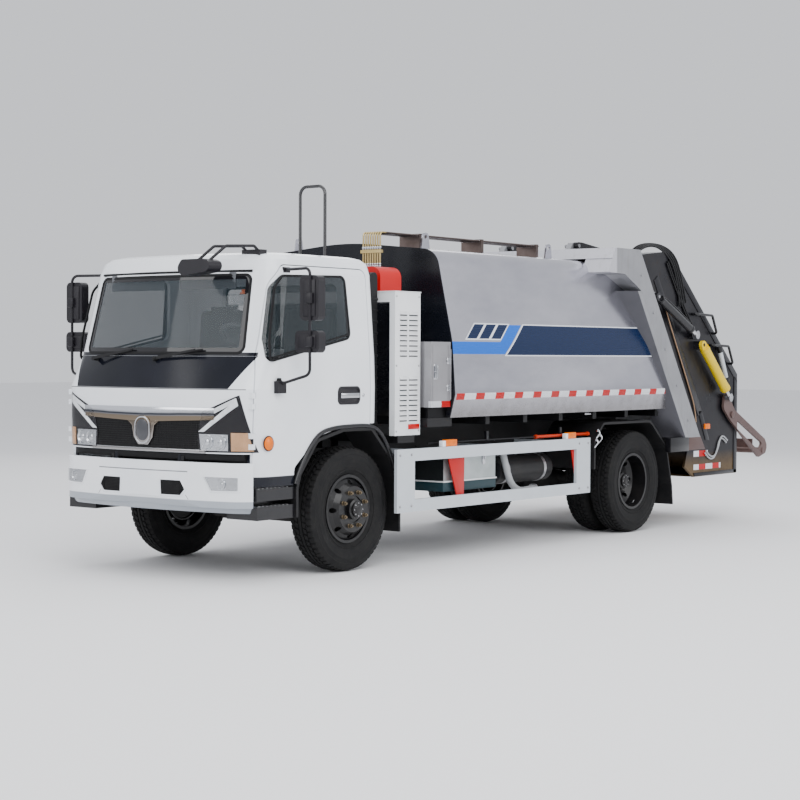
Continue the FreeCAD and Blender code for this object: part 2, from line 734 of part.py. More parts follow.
def tyre_outline(centre):
    """Half section of a tyre: tread, rounded shoulders, bulged walls and beads between the flanges."""
    half = size.tyre_width / 2
    bead = size.rim_half_width - size.rim_wall - size.seat_gap
    low = size.rim_radius
    top = size.tyre_radius
    middle = (top + low) / 2
    right = [(bead, low), (bead, low + size.rim_flange + 4), (half - 16, middle - 60), (half, middle),
             (half - 7, top - 50), (half - 26, top - 12), (half - 56, top)]
    left = [(-a, radius) for a, radius in reversed(right)]
    return [(centre + a, radius) for a, radius in right + left]


def rim_outline(centre, outward):
    """Half section of a flat-base rim with its dished disc; outward is the side of the dish."""
    edge = size.rim_half_width
    inner_edge = edge - size.rim_wall
    seat = size.rim_radius - size.seat_gap
    lip = seat + size.rim_flange
    base = seat - size.rim_wall
    face = size.disc_face
    back = face - size.rim_wall
    pitch = size.hub_flange
    half = [(-edge, lip), (-inner_edge, lip), (-inner_edge, seat), (inner_edge, seat), (inner_edge, lip),
            (edge, lip), (edge, base), (inner_edge - 8, base), (edge + 12, pitch + 42), (face, pitch + 14),
            (face, size.hub_bore), (back, size.hub_bore), (back, pitch + 8), (edge + 3, pitch + 35),
            (inner_edge - 22, base), (-edge, base)]
    return [(centre + a * outward, radius) for a, radius in half]


def hub_outline(start, face, end, bore, bore_end, drum_start, side):
    """Half section of a hub with its flange, brake drum and cap. Distances run outwards."""
    flange = size.hub_flange
    drum = size.drum_radius
    wall = size.rim_wall
    cap = size.hub_radius - 22
    half = [(start, bore), (start, size.hub_radius), (face - 34, size.hub_radius), (face - 34, drum - wall),
            (drum_start, drum - wall), (drum_start, drum), (face - 24, drum), (face - 24, flange),
            (face, flange), (face, size.hub_radius), (end - 30, size.hub_radius), (end - 22, cap),
            (end, cap - 14), (end, 0), (bore_end, 0), (bore_end, bore)]
    return [(a * side, radius) for a, radius in half]


def hand_holes(name, centre, outward, place_y):
    """Round windows through the sloping part of a wheel disc."""
    holes = []
    pitch = size.hub_flange + 44
    start = centre + (size.rim_half_width - 60) * outward
    length = Size.of(110)
    begin = start if outward > 0 else start - length
    for index in range(8):
        angle = math.radians(45 * index)
        holes.append(bar("%s_hole_%d" % (name, index), "X", 20,
                         (begin, place_y + pitch * math.cos(angle),
                          size.tyre_radius + pitch * math.sin(angle)), length))
    return holes


def make_front_wheel(name, side):
    place = (0, front_axle_y, size.tyre_radius)
    node("front_tyre_" + name, turned("front_tyre_" + name, place, tyre_outline(size.front_wheel_x * side)))
    rim = turned("front_disc_" + name, place, rim_outline(size.front_wheel_x * side, side))
    face = size.front_wheel_x + size.disc_face - size.rim_wall
    hub = turned("front_hub_" + name, place,
                 hub_outline(face - 150, face, face + 62, size.spindle_radius + 2, face - 30, face - 178, side))
    solid = fuse("front_rim_solid_" + name, rim, hub)
    holes = hand_holes("front_" + name, size.front_wheel_x * side, side, front_axle_y)
    node("front_rim_" + name, cut("front_rim_" + name, solid, *holes))


def make_rear_wheels(name, side):
    place = (0, rear_axle_y, size.tyre_radius)
    outer = size.rear_outer_x
    inner = size.rear_outer_x - size.twin_spacing
    node("rear_tyres_" + name, group("rear_tyres_" + name,
                                     turned("outer_tyre_" + name, place, tyre_outline(outer * side)),
                                     turned("inner_tyre_" + name, place, tyre_outline(inner * side))))
    middle = outer - size.twin_spacing / 2
    face = middle - size.rim_wall
    hub = turned("rear_hub_" + name, place,
                 hub_outline(face - 190, face, face + 165, size.rear_tube_radius + 4, face - 60,
                             face - 190, side))
    rims = [turned("outer_disc_" + name, place, rim_outline(outer * side, -side)),
            turned("inner_disc_" + name, place, rim_outline(inner * side, side)), hub]
    holes = hand_holes("outer_" + name, outer * side, -side, rear_axle_y)
    solid = fuse("rear_rims_solid_" + name, *rims)
    node("rear_rims_" + name, cut("rear_rims_" + name, solid, *holes))


def make_knuckle(name, side):
    """Fork round the beam's end, steering pin, wheel spindle, brake shield and track-rod arm."""
    x = size.kingpin_x * side
    z = size.tyre_radius
    half_beam = size.axle_beam_depth / 2
    ear = Size.of(30)
    gap = size.seat_gap
    boss = size.kingpin_radius + 22
    reach = size.front_wheel_x + size.disc_face - size.rim_wall - 42
    root_x = size.kingpin_x + size.axle_beam_width / 2 + size.running_gap
    spindle_start = root_x if side > 0 else -reach
    spindle = bar("spindle_" + name, "X", size.spindle_radius, (spindle_start, front_axle_y, z),
                  reach - root_x)
    web = box("fork_web_" + name, mirrored_x((root_x, root_x + 26), side),
              (front_axle_y - 50, front_axle_y + 50),
              (z - half_beam - gap - ear, z + half_beam + gap + ear))
    hub_start = size.front_wheel_x + size.disc_face - size.rim_wall - 150
    collar_start = root_x + 20
    collar_length = hub_start - size.seat_gap - collar_start
    collar = bar("spindle_collar_" + name, "X", size.spindle_radius + 24,
                 (collar_start if side > 0 else -hub_start + size.seat_gap, front_axle_y, z), collar_length)
    pieces = [spindle, web, collar]
    for level, low in (("upper", z + half_beam + gap), ("lower", z - half_beam - gap - ear)):
        pieces.append(bar("fork_ear_%s_%s" % (level, name), "Z", boss, (x, front_axle_y, low), ear))
        pieces.append(box("fork_link_%s_%s" % (level, name), mirrored_x((size.kingpin_x, root_x + 5), side),
                          (front_axle_y - 38, front_axle_y + 38), (low, low + ear)))
    pieces.append(bar("kingpin_" + name, "Z", size.kingpin_radius,
                      (x, front_axle_y, z - half_beam - gap - ear), half_beam * 2 + gap * 2 + ear * 2))
    shield_x = root_x + 26
    shield = bar("brake_shield_" + name, "X", size.drum_radius - size.rim_wall - 8,
                 (shield_x if side > 0 else -shield_x - 8, front_axle_y, z), 8)
    pieces.append(shield)
    arm_low = z - half_beam - gap - ear
    pieces.append(box("steering_arm_" + name, mirrored_x((size.kingpin_x - 30, size.kingpin_x + 20), side),
                      (front_axle_y, front_axle_y + size.steering_arm + 25), (arm_low, arm_low + 24)))
    node("knuckle_" + name, fuse("knuckle_" + name, *pieces))


def make_track_rod():
    """The rod that joins both steering arms, under their ends."""
    z = size.tyre_radius - size.axle_beam_depth / 2 - size.seat_gap * 2 - 30 - 30
    y = front_axle_y + size.steering_arm
    x = size.kingpin_x
    rod = bar("track_rod_bar", "X", 16, (-x, y, z), x * 2)
    ends = [bar("track_rod_end_" + name, "Z", 24, (x * side, y, z - 24), 54 - size.seat_gap)
            for name, side in SIDES]
    node("track_rod", fuse("track_rod", rod, *ends))


# Cab

def cab_section(z, front, half, bow, corner, rear, rear_corner):
    """A closed plan outline of the cab at one height: bowed front, round corners, flat sides."""
    reach = half - corner
    centre_y = front + bow - math.sqrt((bow - corner) ** 2 - reach ** 2)
    share = bow / (bow - corner)
    blend = (reach * share, front + bow - (front + bow - centre_y) * share)
    slope = math.atan2(blend[0] - reach, centre_y - blend[1])
    bisect = math.radians(45) + slope / 2
    corner_middle = (reach + corner * math.sin(bisect), centre_y - corner * math.cos(bisect))
    diagonal = rear_corner * math.sqrt(0.5)
    rear_middle = (half - rear_corner + diagonal, rear - rear_corner + diagonal)

    def place(x, y):
        return Vector(x, y + front_axle_y.value, z)

    edges = [
        Part.Arc(place(-blend[0], blend[1]), place(0, front), place(blend[0], blend[1])),
        Part.Arc(place(*blend), place(*corner_middle), place(half, centre_y)),
        Part.LineSegment(place(half, centre_y), place(half, rear - rear_corner)),
        Part.Arc(place(half, rear - rear_corner), place(*rear_middle), place(half - rear_corner, rear)),
        Part.LineSegment(place(half - rear_corner, rear), place(rear_corner - half, rear)),
        Part.Arc(place(rear_corner - half, rear), place(-rear_middle[0], rear_middle[1]),
                 place(-half, rear - rear_corner)),
        Part.LineSegment(place(-half, rear - rear_corner), place(-half, centre_y)),
        Part.Arc(place(-half, centre_y), place(-corner_middle[0], corner_middle[1]),
                 place(-blend[0], blend[1])),
    ]
    return Part.Wire([edge.toShape() for edge in edges])


def cab_volume(name, inset, bottom=None):
    """The cab's outer form, or the same form inset by a wall's thickness."""
    front = size.cab_front.value
    half = size.cab_half_width.value
    corner = size.cab_corner.value
    step = size.screen_step.value
    rake = size.screen_rake.value
    roof = size.roof_top.value
    roof_round = size.roof_round.value
    foot = size.door_bottom.value if bottom is None else bottom
    levels = [
        (foot, front + 25, half - 18, 4500, corner),
        (size.cab_skirt_bottom.value, front + 12, half - 8, 4500, corner),
        (size.cab_belt.value, front, half, 4500, corner),
        (size.screen_bottom.value, front + step, half - 8, 3000, corner - 30),
        (size.screen_top.value, front + rake, half - 58, 3000, corner - 50),
        (roof - roof_round * 0.62, front + rake + 36, half - 80, 3000, corner - 50),
        (roof - roof_round * 0.2, front + rake + 86, half - 122, 3000, corner - 50),
        (roof, front + rake + 160, half - 190, 3000, corner - 50),
    ]
    rears = [0, 0, 0, 0, 0, -12, -42, -100]
    wires = []
    for (z, front_y, half_width, bow, corner_radius), back in zip(levels, rears):
        lift = inset if z > size.screen_top.value else 0
        wires.append(cab_section(z - lift, front_y + inset, half_width - inset, bow - inset,
                                 corner_radius - inset, size.cab_rear.value - inset + back,
                                 size.cab_rear_corner.value - min(inset, 60)))
    item = document.addObject("Part::Feature", name)
    item.Shape = Part.makeLoft(wires, True, True)
    return item


def screen_outline(shrink):
    """Front view of the windscreen opening."""
    half_low = Size.of(840) - shrink
    half_high = Size.of(795) - shrink
    low = size.screen_bottom + 15 + shrink
    high = size.screen_top - 22 - shrink
    return [(-half_low, low, 60), (half_low, low, 60), (half_high, high, 60), (-half_high, high, 60)]


def rear_window_outline(shrink):
    half = Size.of(620) - shrink
    low = size.screen_bottom + 60 + shrink
    high = size.screen_top - 60 - shrink
    return [(-half, low, 60), (half, low, 60), (half, high, 60), (-half, high, 60)]


def door_outline(shrink):
    """Side view of a door, its lower rear corner cut out for the wheel arch."""
    front = behind(size.door_front) + shrink
    rear = behind(size.door_rear) - shrink
    lip = size.arch_top + 14 + shrink
    return [
        (front, size.door_bottom + shrink), (front, size.cab_belt), (front + 100, 1770), (front + 215, 2210, 200),
        (front + 330, size.door_top - shrink, 60), (rear, size.door_top - shrink, 70), (rear, lip),
        (behind(-130) - shrink, lip, 120), (behind(-440) - shrink, size.arch_top - 54 + shrink, 120),
        (behind(-702) - shrink, size.arch_top - 278 + shrink, 60), (behind(-702) - shrink, size.door_bottom + shrink),
    ]


def door_window_outline(shrink):
    front = behind(size.door_front) + 118 + shrink
    rear = behind(size.door_rear) - 220 - shrink
    return [
        (front, size.screen_bottom - 45 + shrink, 40), (front, 1800), (front + 92, 2190, 120),
        (front + 190, size.screen_top - 30 - shrink, 60), (rear - 30, size.screen_top - 12 - shrink, 60),
        (rear, size.screen_bottom + 140 + shrink, 60),
    ]


def grille_outline(shrink):
    """Front view of the mesh field between the headlamps."""
    low = size.cab_skirt_bottom + 25 + shrink
    return [(Size.of(-545) + shrink, low), (Size.of(545) - shrink, low), (Size.of(655) - shrink, 1262 - shrink),
            (Size.of(-655) + shrink, 1262 - shrink)]


def lamp_outline(shrink, side):
    """Front view of a headlamp housing; it runs round the corner."""
    low = size.cab_skirt_bottom + 8 + shrink
    half = [(Size.of(560) + shrink, low), (Size.of(1100), low), (Size.of(1100), 1405 - shrink),
            (Size.of(700) + shrink, 1345 - shrink), (Size.of(668) + shrink, 1262)]
    return [(x * side, z) for x, z in half]


FRONT_ZONE = (size.cab_front - 200, size.cab_front + 420)


def front_zone(shift=0):
    return (behind(FRONT_ZONE[0]), behind(FRONT_ZONE[1]) + shift)


def lamp_zone():
    """From ahead of the cab back to just before the door's front edge."""
    return (behind(size.cab_front) - 200, behind(size.door_front) - 46)


DOOR_HINGE_LEVELS = (990, 1285)
HINGE_KNUCKLE = 40
HINGE_BARREL = 6


def make_hinge_reliefs(name, side):
    """Room in a door's front edge for the cab's knuckles."""
    x, y = size.door_hinge_x, behind(size.door_front)
    reach = HINGE_BARREL + 3
    return [box("hinge_relief_%s_%d_%d" % (name, level, index), mirrored_x((x - 30, x + 60), side),
                (y - 5, y + reach), (low - 1, low + HINGE_KNUCKLE + 1))
            for level in DOOR_HINGE_LEVELS for index, low in enumerate((level, level + HINGE_KNUCKLE * 2))]


def make_door_hinge(owner, name, side, level, fixed):
    """One half of a door hinge: two outer knuckles on the cab or the middle one on the door."""
    x, y = size.door_hinge_x, behind(size.door_front)
    third = HINGE_KNUCKLE
    levels = (level, level + third * 2) if fixed else (level + third + size.seat_gap,)
    height = third if fixed else third - size.seat_gap * 2
    reach = (y - 32, y) if fixed else (y, y + 32)
    pieces = []
    for index, low in enumerate(levels):
        label = "%s_hinge_%s_%d_%d" % (owner, name, level, index)
        pieces.append(bar(label + "_barrel", "Z", HINGE_BARREL, (x * side, y, low), height))
        pieces.append(box(label + "_leaf", mirrored_x((x - 75, x + 4), side), reach, (low, low + height)))
    return fuse("%s_hinge_%s_%d" % (owner, name, level), *pieces)


def make_cab():
    outer = cab_volume("cab_outer", 0)
    inner = cab_volume("cab_inner", size.cab_skin.value, size.door_bottom.value - 60)
    wall = cut("cab_wall", outer, inner)
    shell_zone = prism("cab_zone", "side", (-size.cab_half_width - 50, size.cab_half_width + 50), [
        (behind(size.cab_front) - 100, size.cab_skirt_bottom), (behind(-1010), size.cab_skirt_bottom),
        (behind(-1010), size.cab_floor), (behind(size.cab_rear) + 50, size.cab_floor),
        (behind(size.cab_rear) + 50, size.roof_top + 50), (behind(size.cab_front) - 100, size.roof_top + 50),
    ])
    floor_zone = box("floor_zone", (115 - size.cab_half_width, size.cab_half_width - 115),
                     (behind(size.cab_front), behind(size.cab_rear)),
                     (size.cab_floor, size.cab_floor + size.floor_plate))
    floor = common("cab_floor_plate", inner, floor_zone)
    gap = size.door_gap
    outside = size.cab_half_width + 60
    inside = size.cab_half_width - 280
    tools = [prism("screen_hole", "front", front_zone(), screen_outline(0)),
             prism("rear_window_hole", "front", (behind(size.cab_rear) - 120, behind(size.cab_rear) + 60),
                   rear_window_outline(0)),
             prism("grille_hole", "front", front_zone(), grille_outline(0))]
    for name, side in SIDES:
        tools.append(prism("door_hole_" + name, "side", mirrored_x((inside, outside), side),
                           door_outline(-gap)))
        tools.append(prism("lamp_hole_" + name, "front", lamp_zone(), lamp_outline(0, side)))
    shell = cut("cab_panels", common("cab_upper", wall, shell_zone), *tools)
    pivot_y = behind(size.tilt_pivot_y)
    lugs = []
    bores = []
    lug_x = (size.rail_outer - 90, size.rail_outer - 60)
    for name, side in SIDES:
        span = mirrored_x(lug_x, side)
        low = size.tilt_pivot_z - 20
        lugs.append(prism("tilt_lug_" + name, "side", span, [
            (pivot_y - 18, low), (pivot_y + 20, low), (pivot_y + 130, size.tilt_pivot_z + 130),
            (pivot_y + 130, size.cab_floor), (pivot_y + 40, size.cab_floor), (pivot_y - 18, low + 60)]))
        bores.append(bar("tilt_bore_" + name, "X", size.tilt_pin_radius + 0.5,
                         (span[0] - 5, pivot_y, size.tilt_pivot_z), lug_x[1] - lug_x[0] + 10))
    hinges = [make_door_hinge("cab", name, side, level, True)
              for name, side in SIDES for level in DOOR_HINGE_LEVELS]
    beam = box("tilt_beam", (-760, 760), (pivot_y + 50, pivot_y + 130), (size.cab_skirt_bottom + 120, size.cab_floor))
    node("cab_shell", cut("cab_shell", fuse("cab_solid", shell, floor, beam, *(lugs + hinges)), *bores))

    pane_inner = cab_volume("pane_inner", size.glass.value)
    pane_layer = cut("pane_layer", outer, pane_inner)
    fit = size.seat_gap * 2
    screen = common("windscreen_pane", pane_layer,
                    prism("windscreen_zone", "front", front_zone(), screen_outline(fit)))
    back = common("rear_window_pane", pane_layer,
                  prism("rear_pane_zone", "front", (behind(size.cab_rear) - 120, behind(size.cab_rear) + 60),
                        rear_window_outline(fit)))
    node("cab_glass", group("cab_glass", screen, back))

    for name, side in SIDES:
        zone = prism("door_zone_" + name, "side", mirrored_x((inside, outside), side), door_outline(0))
        hole = prism("window_hole_" + name, "side", mirrored_x((inside, outside), side),
                     door_window_outline(0))
        panel = cut("door_panel_" + name, common("door_slab_" + name, wall, zone), hole,
                    *make_hinge_reliefs(name, side))
        knuckles = [make_door_hinge("door", name, side, level, False) for level in DOOR_HINGE_LEVELS]
        node("door_" + name, fuse("door_" + name, panel, *knuckles))
        pane_zone = prism("pane_zone_" + name, "side", mirrored_x((inside, outside), side),
                          door_window_outline(fit))
        node("door_glass_" + name, common("door_glass_" + name, pane_layer, pane_zone))

    grille_inner = cab_volume("grille_inner", 22)
    grille_layer = cut("grille_layer", outer, grille_inner)
    mesh = common("grille_mesh", grille_layer,
                  prism("grille_zone", "front", front_zone(), grille_outline(fit)))
    proud = cab_volume("proud_outer", -10)
    seat = cab_volume("cab_seat", -size.seat_gap.value * 2)
    proud_layer = cut("proud_layer", proud, seat)
    bar_outline = [(-690, 1225), (-250, 1180), (-110, 1000, 40), (110, 1000, 40), (250, 1180), (690, 1225),
                   (690, 1312), (-690, 1312)]
    chrome = common("chrome_layer", proud_layer, prism("chrome_zone", "front", front_zone(), bar_outline))
    node("front_grille", fuse("front_grille", mesh, chrome))

    lamps = []
    for name, side in SIDES:
        lamps.append(common("headlamp_" + name, grille_layer,
                            prism("headlamp_zone_" + name, "front", lamp_zone(), lamp_outline(fit, side))))
    node("headlamps", group("headlamps", *lamps))
    return seat


def make_dashboard():
    lining = cab_volume("cab_lining", size.cab_skin.value + 6)
    top = size.cab_floor + size.floor_plate + size.seat_gap
    zone = prism("dash_zone", "side", (-850, 850), [
        (behind(-1300), top), (behind(-930), top), (behind(-800), 1420, 60), (behind(-790), 1600, 60),
        (behind(-1000), 1630, 40), (behind(-1300), 1600),
    ])
    dash = common("dash_block", lining, zone)
    column = inclined("steering_column", 450, (behind(-880), 1420), (behind(-620), 1795), 28)
    wheel = document.addObject("Part::Torus", "steering_wheel")
    wheel.Placement = FreeCAD.Placement(Vector(), FreeCAD.Rotation(Vector(1, 0, 0), -34.7))
    bind(wheel, "Radius1", 205)
    bind(wheel, "Radius2", 15)
    set_place(wheel, 450, behind(-620), 1795)
    spoke = box("steering_spoke", (450 - 200, 450 + 200), (behind(-620) - 22, behind(-620) + 22), (1782, 1806))
    node("dashboard", fuse("dashboard", dash, column, wheel, spoke))


def make_seats():
    floor = size.cab_floor + size.floor_plate + size.seat_gap
    seats = []
    for name, side in SIDES:
        outline = [
            (behind(-350), floor), (behind(-350), 1380), (behind(-430), 1400, 30), (behind(-430), 1510, 40),
            (behind(-20), 1490, 40), (behind(60), 2080, 40), (behind(160), 2080, 40), (behind(90), 1400, 40),
            (behind(60), floor),
        ]
        seats.append(prism("seat_" + name, "side", mirrored_x((220, 720), side), outline))
    node("seats", group("seats", *seats))


def make_front_mirror(cab):
    """The look-down mirror over the windscreen's left, on two tubes from the roof."""
    head = prism("mirror_head", "front", (behind(-1300), behind(-1160)), [
        (350, 2300, 50), (440, 2262, 60), (660, 2290, 50), (750, 2345, 40), (640, 2385, 40), (420, 2385, 40),
    ])
    foot_z = size.roof_top.value
    arms = [bent_tube("mirror_arm_%d" % index, [
        (x, behind(-820), foot_z + 2), (x, behind(-880), foot_z + 45), (x - 60, behind(-1120), foot_z + 35),
        (x - 130, behind(-1230), 2370)], 11, 30) for index, x in enumerate((640, 760))]
    foot = box("mirror_foot", (610, 790), (behind(-850), behind(-770)), (foot_z - 40, foot_z + 20))
    node("front_mirror", cut("front_mirror", fuse("front_mirror_solid", head, foot, *arms), cab))


def make_wipers(cab):
    """Two arms with blades that lie along the windscreen's lower edge."""
    wipers = []
    for index, x in enumerate((-640, 60)):
        y = behind(size.cab_front + size.screen_step) + (0 if index else 30)
        post = bar("wiper_post_%d" % index, "Y", 16, (x, y - 34, 1650), 120)
        arm = prism("wiper_arm_%d" % index, "front", (y - 34, y - 24), [
            (x - 10, 1640), (x + 420, 1712), (x + 420, 1726), (x - 10, 1664)])
        wipers.append(fuse("wiper_%d" % index, post, arm))
    node("wipers", cut("wipers", group("wiper_pair", *wipers), cab))


def make_mirrors(name, side, cab):
    """A C-shaped tube on the door with a main and a wide-angle mirror."""
    x_tube = 1270
    y_tube = behind(-835)
    z_low = 1470
    path = [(930 * side, behind(-742), 2318), (x_tube * side, y_tube, 2318), (x_tube * side, y_tube, 1540),
            (1050 * side, behind(-900), z_low)]
    tube = bent_tube("mirror_tube_" + name, path, 11, 55)
    heads = []
    for label, x, z in (("main", (1165, 1345), (1935, 2265)), ("wide", (1120, 1350), (1700, 1862))):
        span = mirrored_x(x, side)
        low, high = Size.of(z[0]), Size.of(z[1])
        heads.append(prism("mirror_%s_%s" % (label, name), "front", (y_tube + 8, y_tube + 84), [
            (span[0], low, 40), (span[1], low, 40), (span[1], high, 40), (span[0], high, 40)]))
    base = box("mirror_base_" + name, mirrored_x((960, 1062), side),
               (behind(-945), behind(-855)), (1400, 1490))
    upper = box("mirror_top_" + name, mirrored_x((900, 965), side), (behind(-775), behind(-705)), (2296, 2336))
    solid = fuse("mirrors_solid_" + name, tube, base, upper, *heads)
    node("mirrors_" + name, cut("mirrors_" + name, solid, cab))


# Bumper, steps and arches

def make_bumper():
    """A bowed shell with round corners, its lower lip slanted back, on the frame's front arms."""
    front = size.front_overhang
    wires = []
    for inset in (0, size.bumper_skin.value):
        outline = cab_section(size.bumper_bottom.value, -front.value + inset,
                              size.cab_half_width.value - 10 - inset, 4500 - inset,
                              size.cab_corner.value - inset, -700, 80)
        solid = document.addObject("Part::Feature", "bumper_volume_%d" % inset)
        height = size.bumper_top.value - size.bumper_bottom.value
        solid.Shape = Part.Face(outline).extrude(Vector(0, 0, height))
        wires.append(solid)
    shell = cut("bumper_wall", *wires)
    zone = prism("bumper_zone", "side", (-size.cab_half_width, size.cab_half_width), [
        (behind(-front) - 10, size.bumper_bottom + 90), (behind(-front) + 40, size.bumper_bottom),
        (behind(size.bumper_rear), size.bumper_bottom), (behind(size.bumper_rear), size.bumper_top),
        (behind(-front) - 10, size.bumper_top),
    ])
    skin = common("bumper_skin_trimmed", shell, zone)
    mount_face = behind(-front) + size.bumper_mount
    mounts = [box("bumper_mount_" + name, mirrored_x((size.rail_outer - 60, size.rail_outer), side),
                  (behind(-front) + size.bumper_skin - 5, mount_face),
                  (size.rail_bottom + size.rail_plate, size.rail_top - 70)) for name, side in SIDES]
    node("front_bumper", fuse("front_bumper", skin, *mounts))


def make_steps():
    """A boxed step under each door, on a bracket from the rail."""
    pieces = []
    step = prism("step", "front", (behind(size.door_front), behind(size.step_rear)), [
        (size.step_inner, size.step_bottom), (size.cab_half_width - 20, size.step_bottom),
        (size.cab_half_width - 20, size.step_bottom + 100), (size.cab_half_width - 150, size.step_bottom + 100),
        (size.cab_half_width - 150, size.step_bottom + 140), (size.cab_half_width - 20, size.step_bottom + 140),
        (size.cab_half_width - 20, size.step_top), (size.step_inner, size.step_top),
    ])
    bracket = box("step_bracket", (size.rail_outer, size.step_inner),
                  (behind(size.door_front) + 90, behind(size.door_front) + 170),
                  (size.rail_bottom + 5, size.rail_bottom + 75))
    hanger = box("step_hanger", (size.step_inner - 40, size.step_inner),
                 (behind(size.door_front) + 90, behind(size.door_front) + 170),
                 (size.step_top - 60, size.rail_bottom + 40))
    pieces = fuse("step_left", step, bracket, hanger)
    node("steps", both_sides("steps", pieces))


def make_mudguards():
    """Arches over the front wheels and rounded guards over the twin wheels."""
    t = size.arch_plate
    top = size.arch_top
    front_arch = prism("front_arch", "side", (size.cab_half_width - 300, size.cab_half_width - 2), [
        (behind(-690), size.step_bottom), (behind(-690), top - 430), (behind(-655), top - 320),
        (behind(-452), top - 74, 100), (behind(-135), top, 100), (behind(225), top, 60),
        (behind(440), top - 220, 100), (behind(548), top - 420, 100), (behind(590), size.step_bottom - 20),
        (behind(590), 270), (behind(568), 270), (behind(568), size.step_bottom - 20),
        (behind(524), top - 424, 90), (behind(420), top - 232, 90),
        (behind(212), top - t, 50), (behind(-128), top - t, 90), (behind(-436), top - t - 68, 90),
        (behind(-630), top - t - 308, 40), (behind(-664), top - 436), (behind(-664), size.step_bottom),
    ])
    front_bracket = box("arch_bracket", (size.rail_outer, size.cab_half_width - 290),
                        (behind(185), behind(215)), (top - t - 22, top - t + 4))
    arch = fuse("arch_left", front_arch, front_bracket)
    guard_x = (size.rear_outer_x - size.twin_spacing - size.tyre_width / 2 - 10,
               size.rear_outer_x + size.tyre_width / 2 + 28)
    rear = size.wheelbase
    rear_guard = prism("rear_guard", "side", guard_x, [
        (behind(rear) - 800, 640), (behind(rear) - 800, 900, 80), (behind(rear) - 640, 1068, 90),
        (behind(rear) + 240, 1068, 160), (behind(rear) + 560, 800, 220), (behind(rear) + 668, 420),
        (behind(rear) + 690, 225), (behind(rear) + 672, 225), (behind(rear) + 648, 420),
        (behind(rear) + 542, 790, 200), (behind(rear) + 232, 1046, 140), (behind(rear) - 632, 1046, 70),
        (behind(rear) - 778, 892, 60), (behind(rear) - 778, 640),
    ])
    brackets = [box("guard_bracket_%d" % index, (size.rail_outer, guard_x[0] + 30),
                    (behind(rear) + place, behind(rear) + place + 40), (850, 890))
                for index, place in enumerate((-790, 455))]
    guard = fuse("guard_left", rear_guard, *brackets)
    node("mudguards", group("mudguards", both_sides("front_arches", arch), both_sides("rear_guards", guard)))


def make_side_guards():
    """A rectangular frame on each side, on brackets from the rails."""
    span = (size.guard_outer - size.guard_depth, size.guard_outer)
    y0, y1 = behind(size.guard_front), behind(size.guard_rear)
    frame = box("guard_frame", span, (y0, y1), (size.guard_bottom, size.guard_top))
    window = box("guard_window", (span[0] - 5, span[1] + 5), (y0 + size.guard_post, y1 - size.guard_post),
                 (size.guard_bottom + size.guard_rail, size.guard_top - size.guard_rail))
    brackets = [box("guard_arm_%d" % index, (size.rail_outer, span[0]), (behind(place), behind(place + 40)),
                    (size.rail_top - 60, size.rail_top - 20)) for index, place in enumerate((960, 2050, 3120))]
    solid = fuse("guard_side", cut("guard_open", frame, window), *brackets)
    node("side_guards", both_sides("side_guards", solid))


def make_battery_box():
    """The aluminium box on the left, hung from the rail."""
    y0 = behind(size.battery_front)
    body = box("battery_case", (size.battery_inner, size.battery_outer), (y0, y0 + size.battery_length),
               (size.battery_bottom, size.battery_top))
    lid = box("battery_lid", (size.battery_inner - 8, size.battery_outer + 12),
              (y0 - 12, y0 + size.battery_length + 12), (size.battery_top, size.battery_top + 14))
    hangers = [box("battery_hanger_%d" % index, (size.rail_outer, size.battery_inner),
                   (y0 + place, y0 + place + 50), (size.battery_top - 60, size.battery_top))
               for index, place in enumerate((120, 590))]
    node("battery_box", fuse("battery_box", body, lid, *hangers))


def make_tanks():
    """Air tanks behind the battery box and the fuel tank on the right."""
    radius = size.tank_radius
    start = behind(size.battery_front + size.battery_length) + 180
    air = []
    for index, x in enumerate((size.rail_outer + 60 + radius, size.rail_outer + 80 + radius * 3)):
        air.append(bar("air_tank_%d" % index, "Y", radius, (x, start, size.rail_bottom - 20), 820))
    strap = box("tank_strap", (size.rail_outer, size.rail_outer + 70 + radius * 3),
                (start + 120, start + 160), (size.rail_bottom + 60, size.rail_bottom + 110))
    y0 = behind(size.battery_front)
    fuel = prism("fuel_tank", "front", (y0, y0 + size.fuel_length), [
        (-size.battery_outer, size.battery_bottom - 40, size.fuel_round),
        (-size.battery_inner, size.battery_bottom - 40, size.fuel_round),
        (-size.battery_inner, size.battery_top, size.fuel_round),
        (-size.battery_outer, size.battery_top, size.fuel_round),
    ])
    straps = [box("fuel_strap_%d" % index, (-size.battery_inner - 10, -size.rail_outer),
                  (y0 + place, y0 + place + 60), (size.rail_bottom + 20, size.rail_bottom + 90))
              for index, place in enumerate((200, 850))]
    node("tanks", group("tanks", fuse("air_tanks", strap, *air), fuse("fuel_tank_solid", fuel, *straps)))


# Behind the cab

def make_portal():
    """A louvred portal on the sub-frame, with the tube that stands up over the roof."""
    y0, y1 = behind(size.portal_front), behind(size.portal_rear)
    posts = [box("portal_post_" + name, mirrored_x((size.portal_outer - size.portal_post, size.portal_outer), side),
                 (y0, y1), (size.portal_bottom, size.portal_top)) for name, side in SIDES]
    beam = box("portal_top", (-size.portal_outer, size.portal_outer), (y0, y1),
               (size.portal_top - size.portal_beam, size.portal_top))
    half = size.guard_tube_half
    y = behind(660)
    top = size.guard_tube_top
    tube = bent_tube("guard_tube", [(Size.of(25) - half, y, size.portal_top), (Size.of(25) - half, y, top),
                                    (Size.of(25) + half, y, top), (Size.of(25) + half, y, size.portal_top)],
                     size.guard_tube_radius, 70)
    node("louvre_portal", fuse("louvre_portal", beam, tube, *posts))


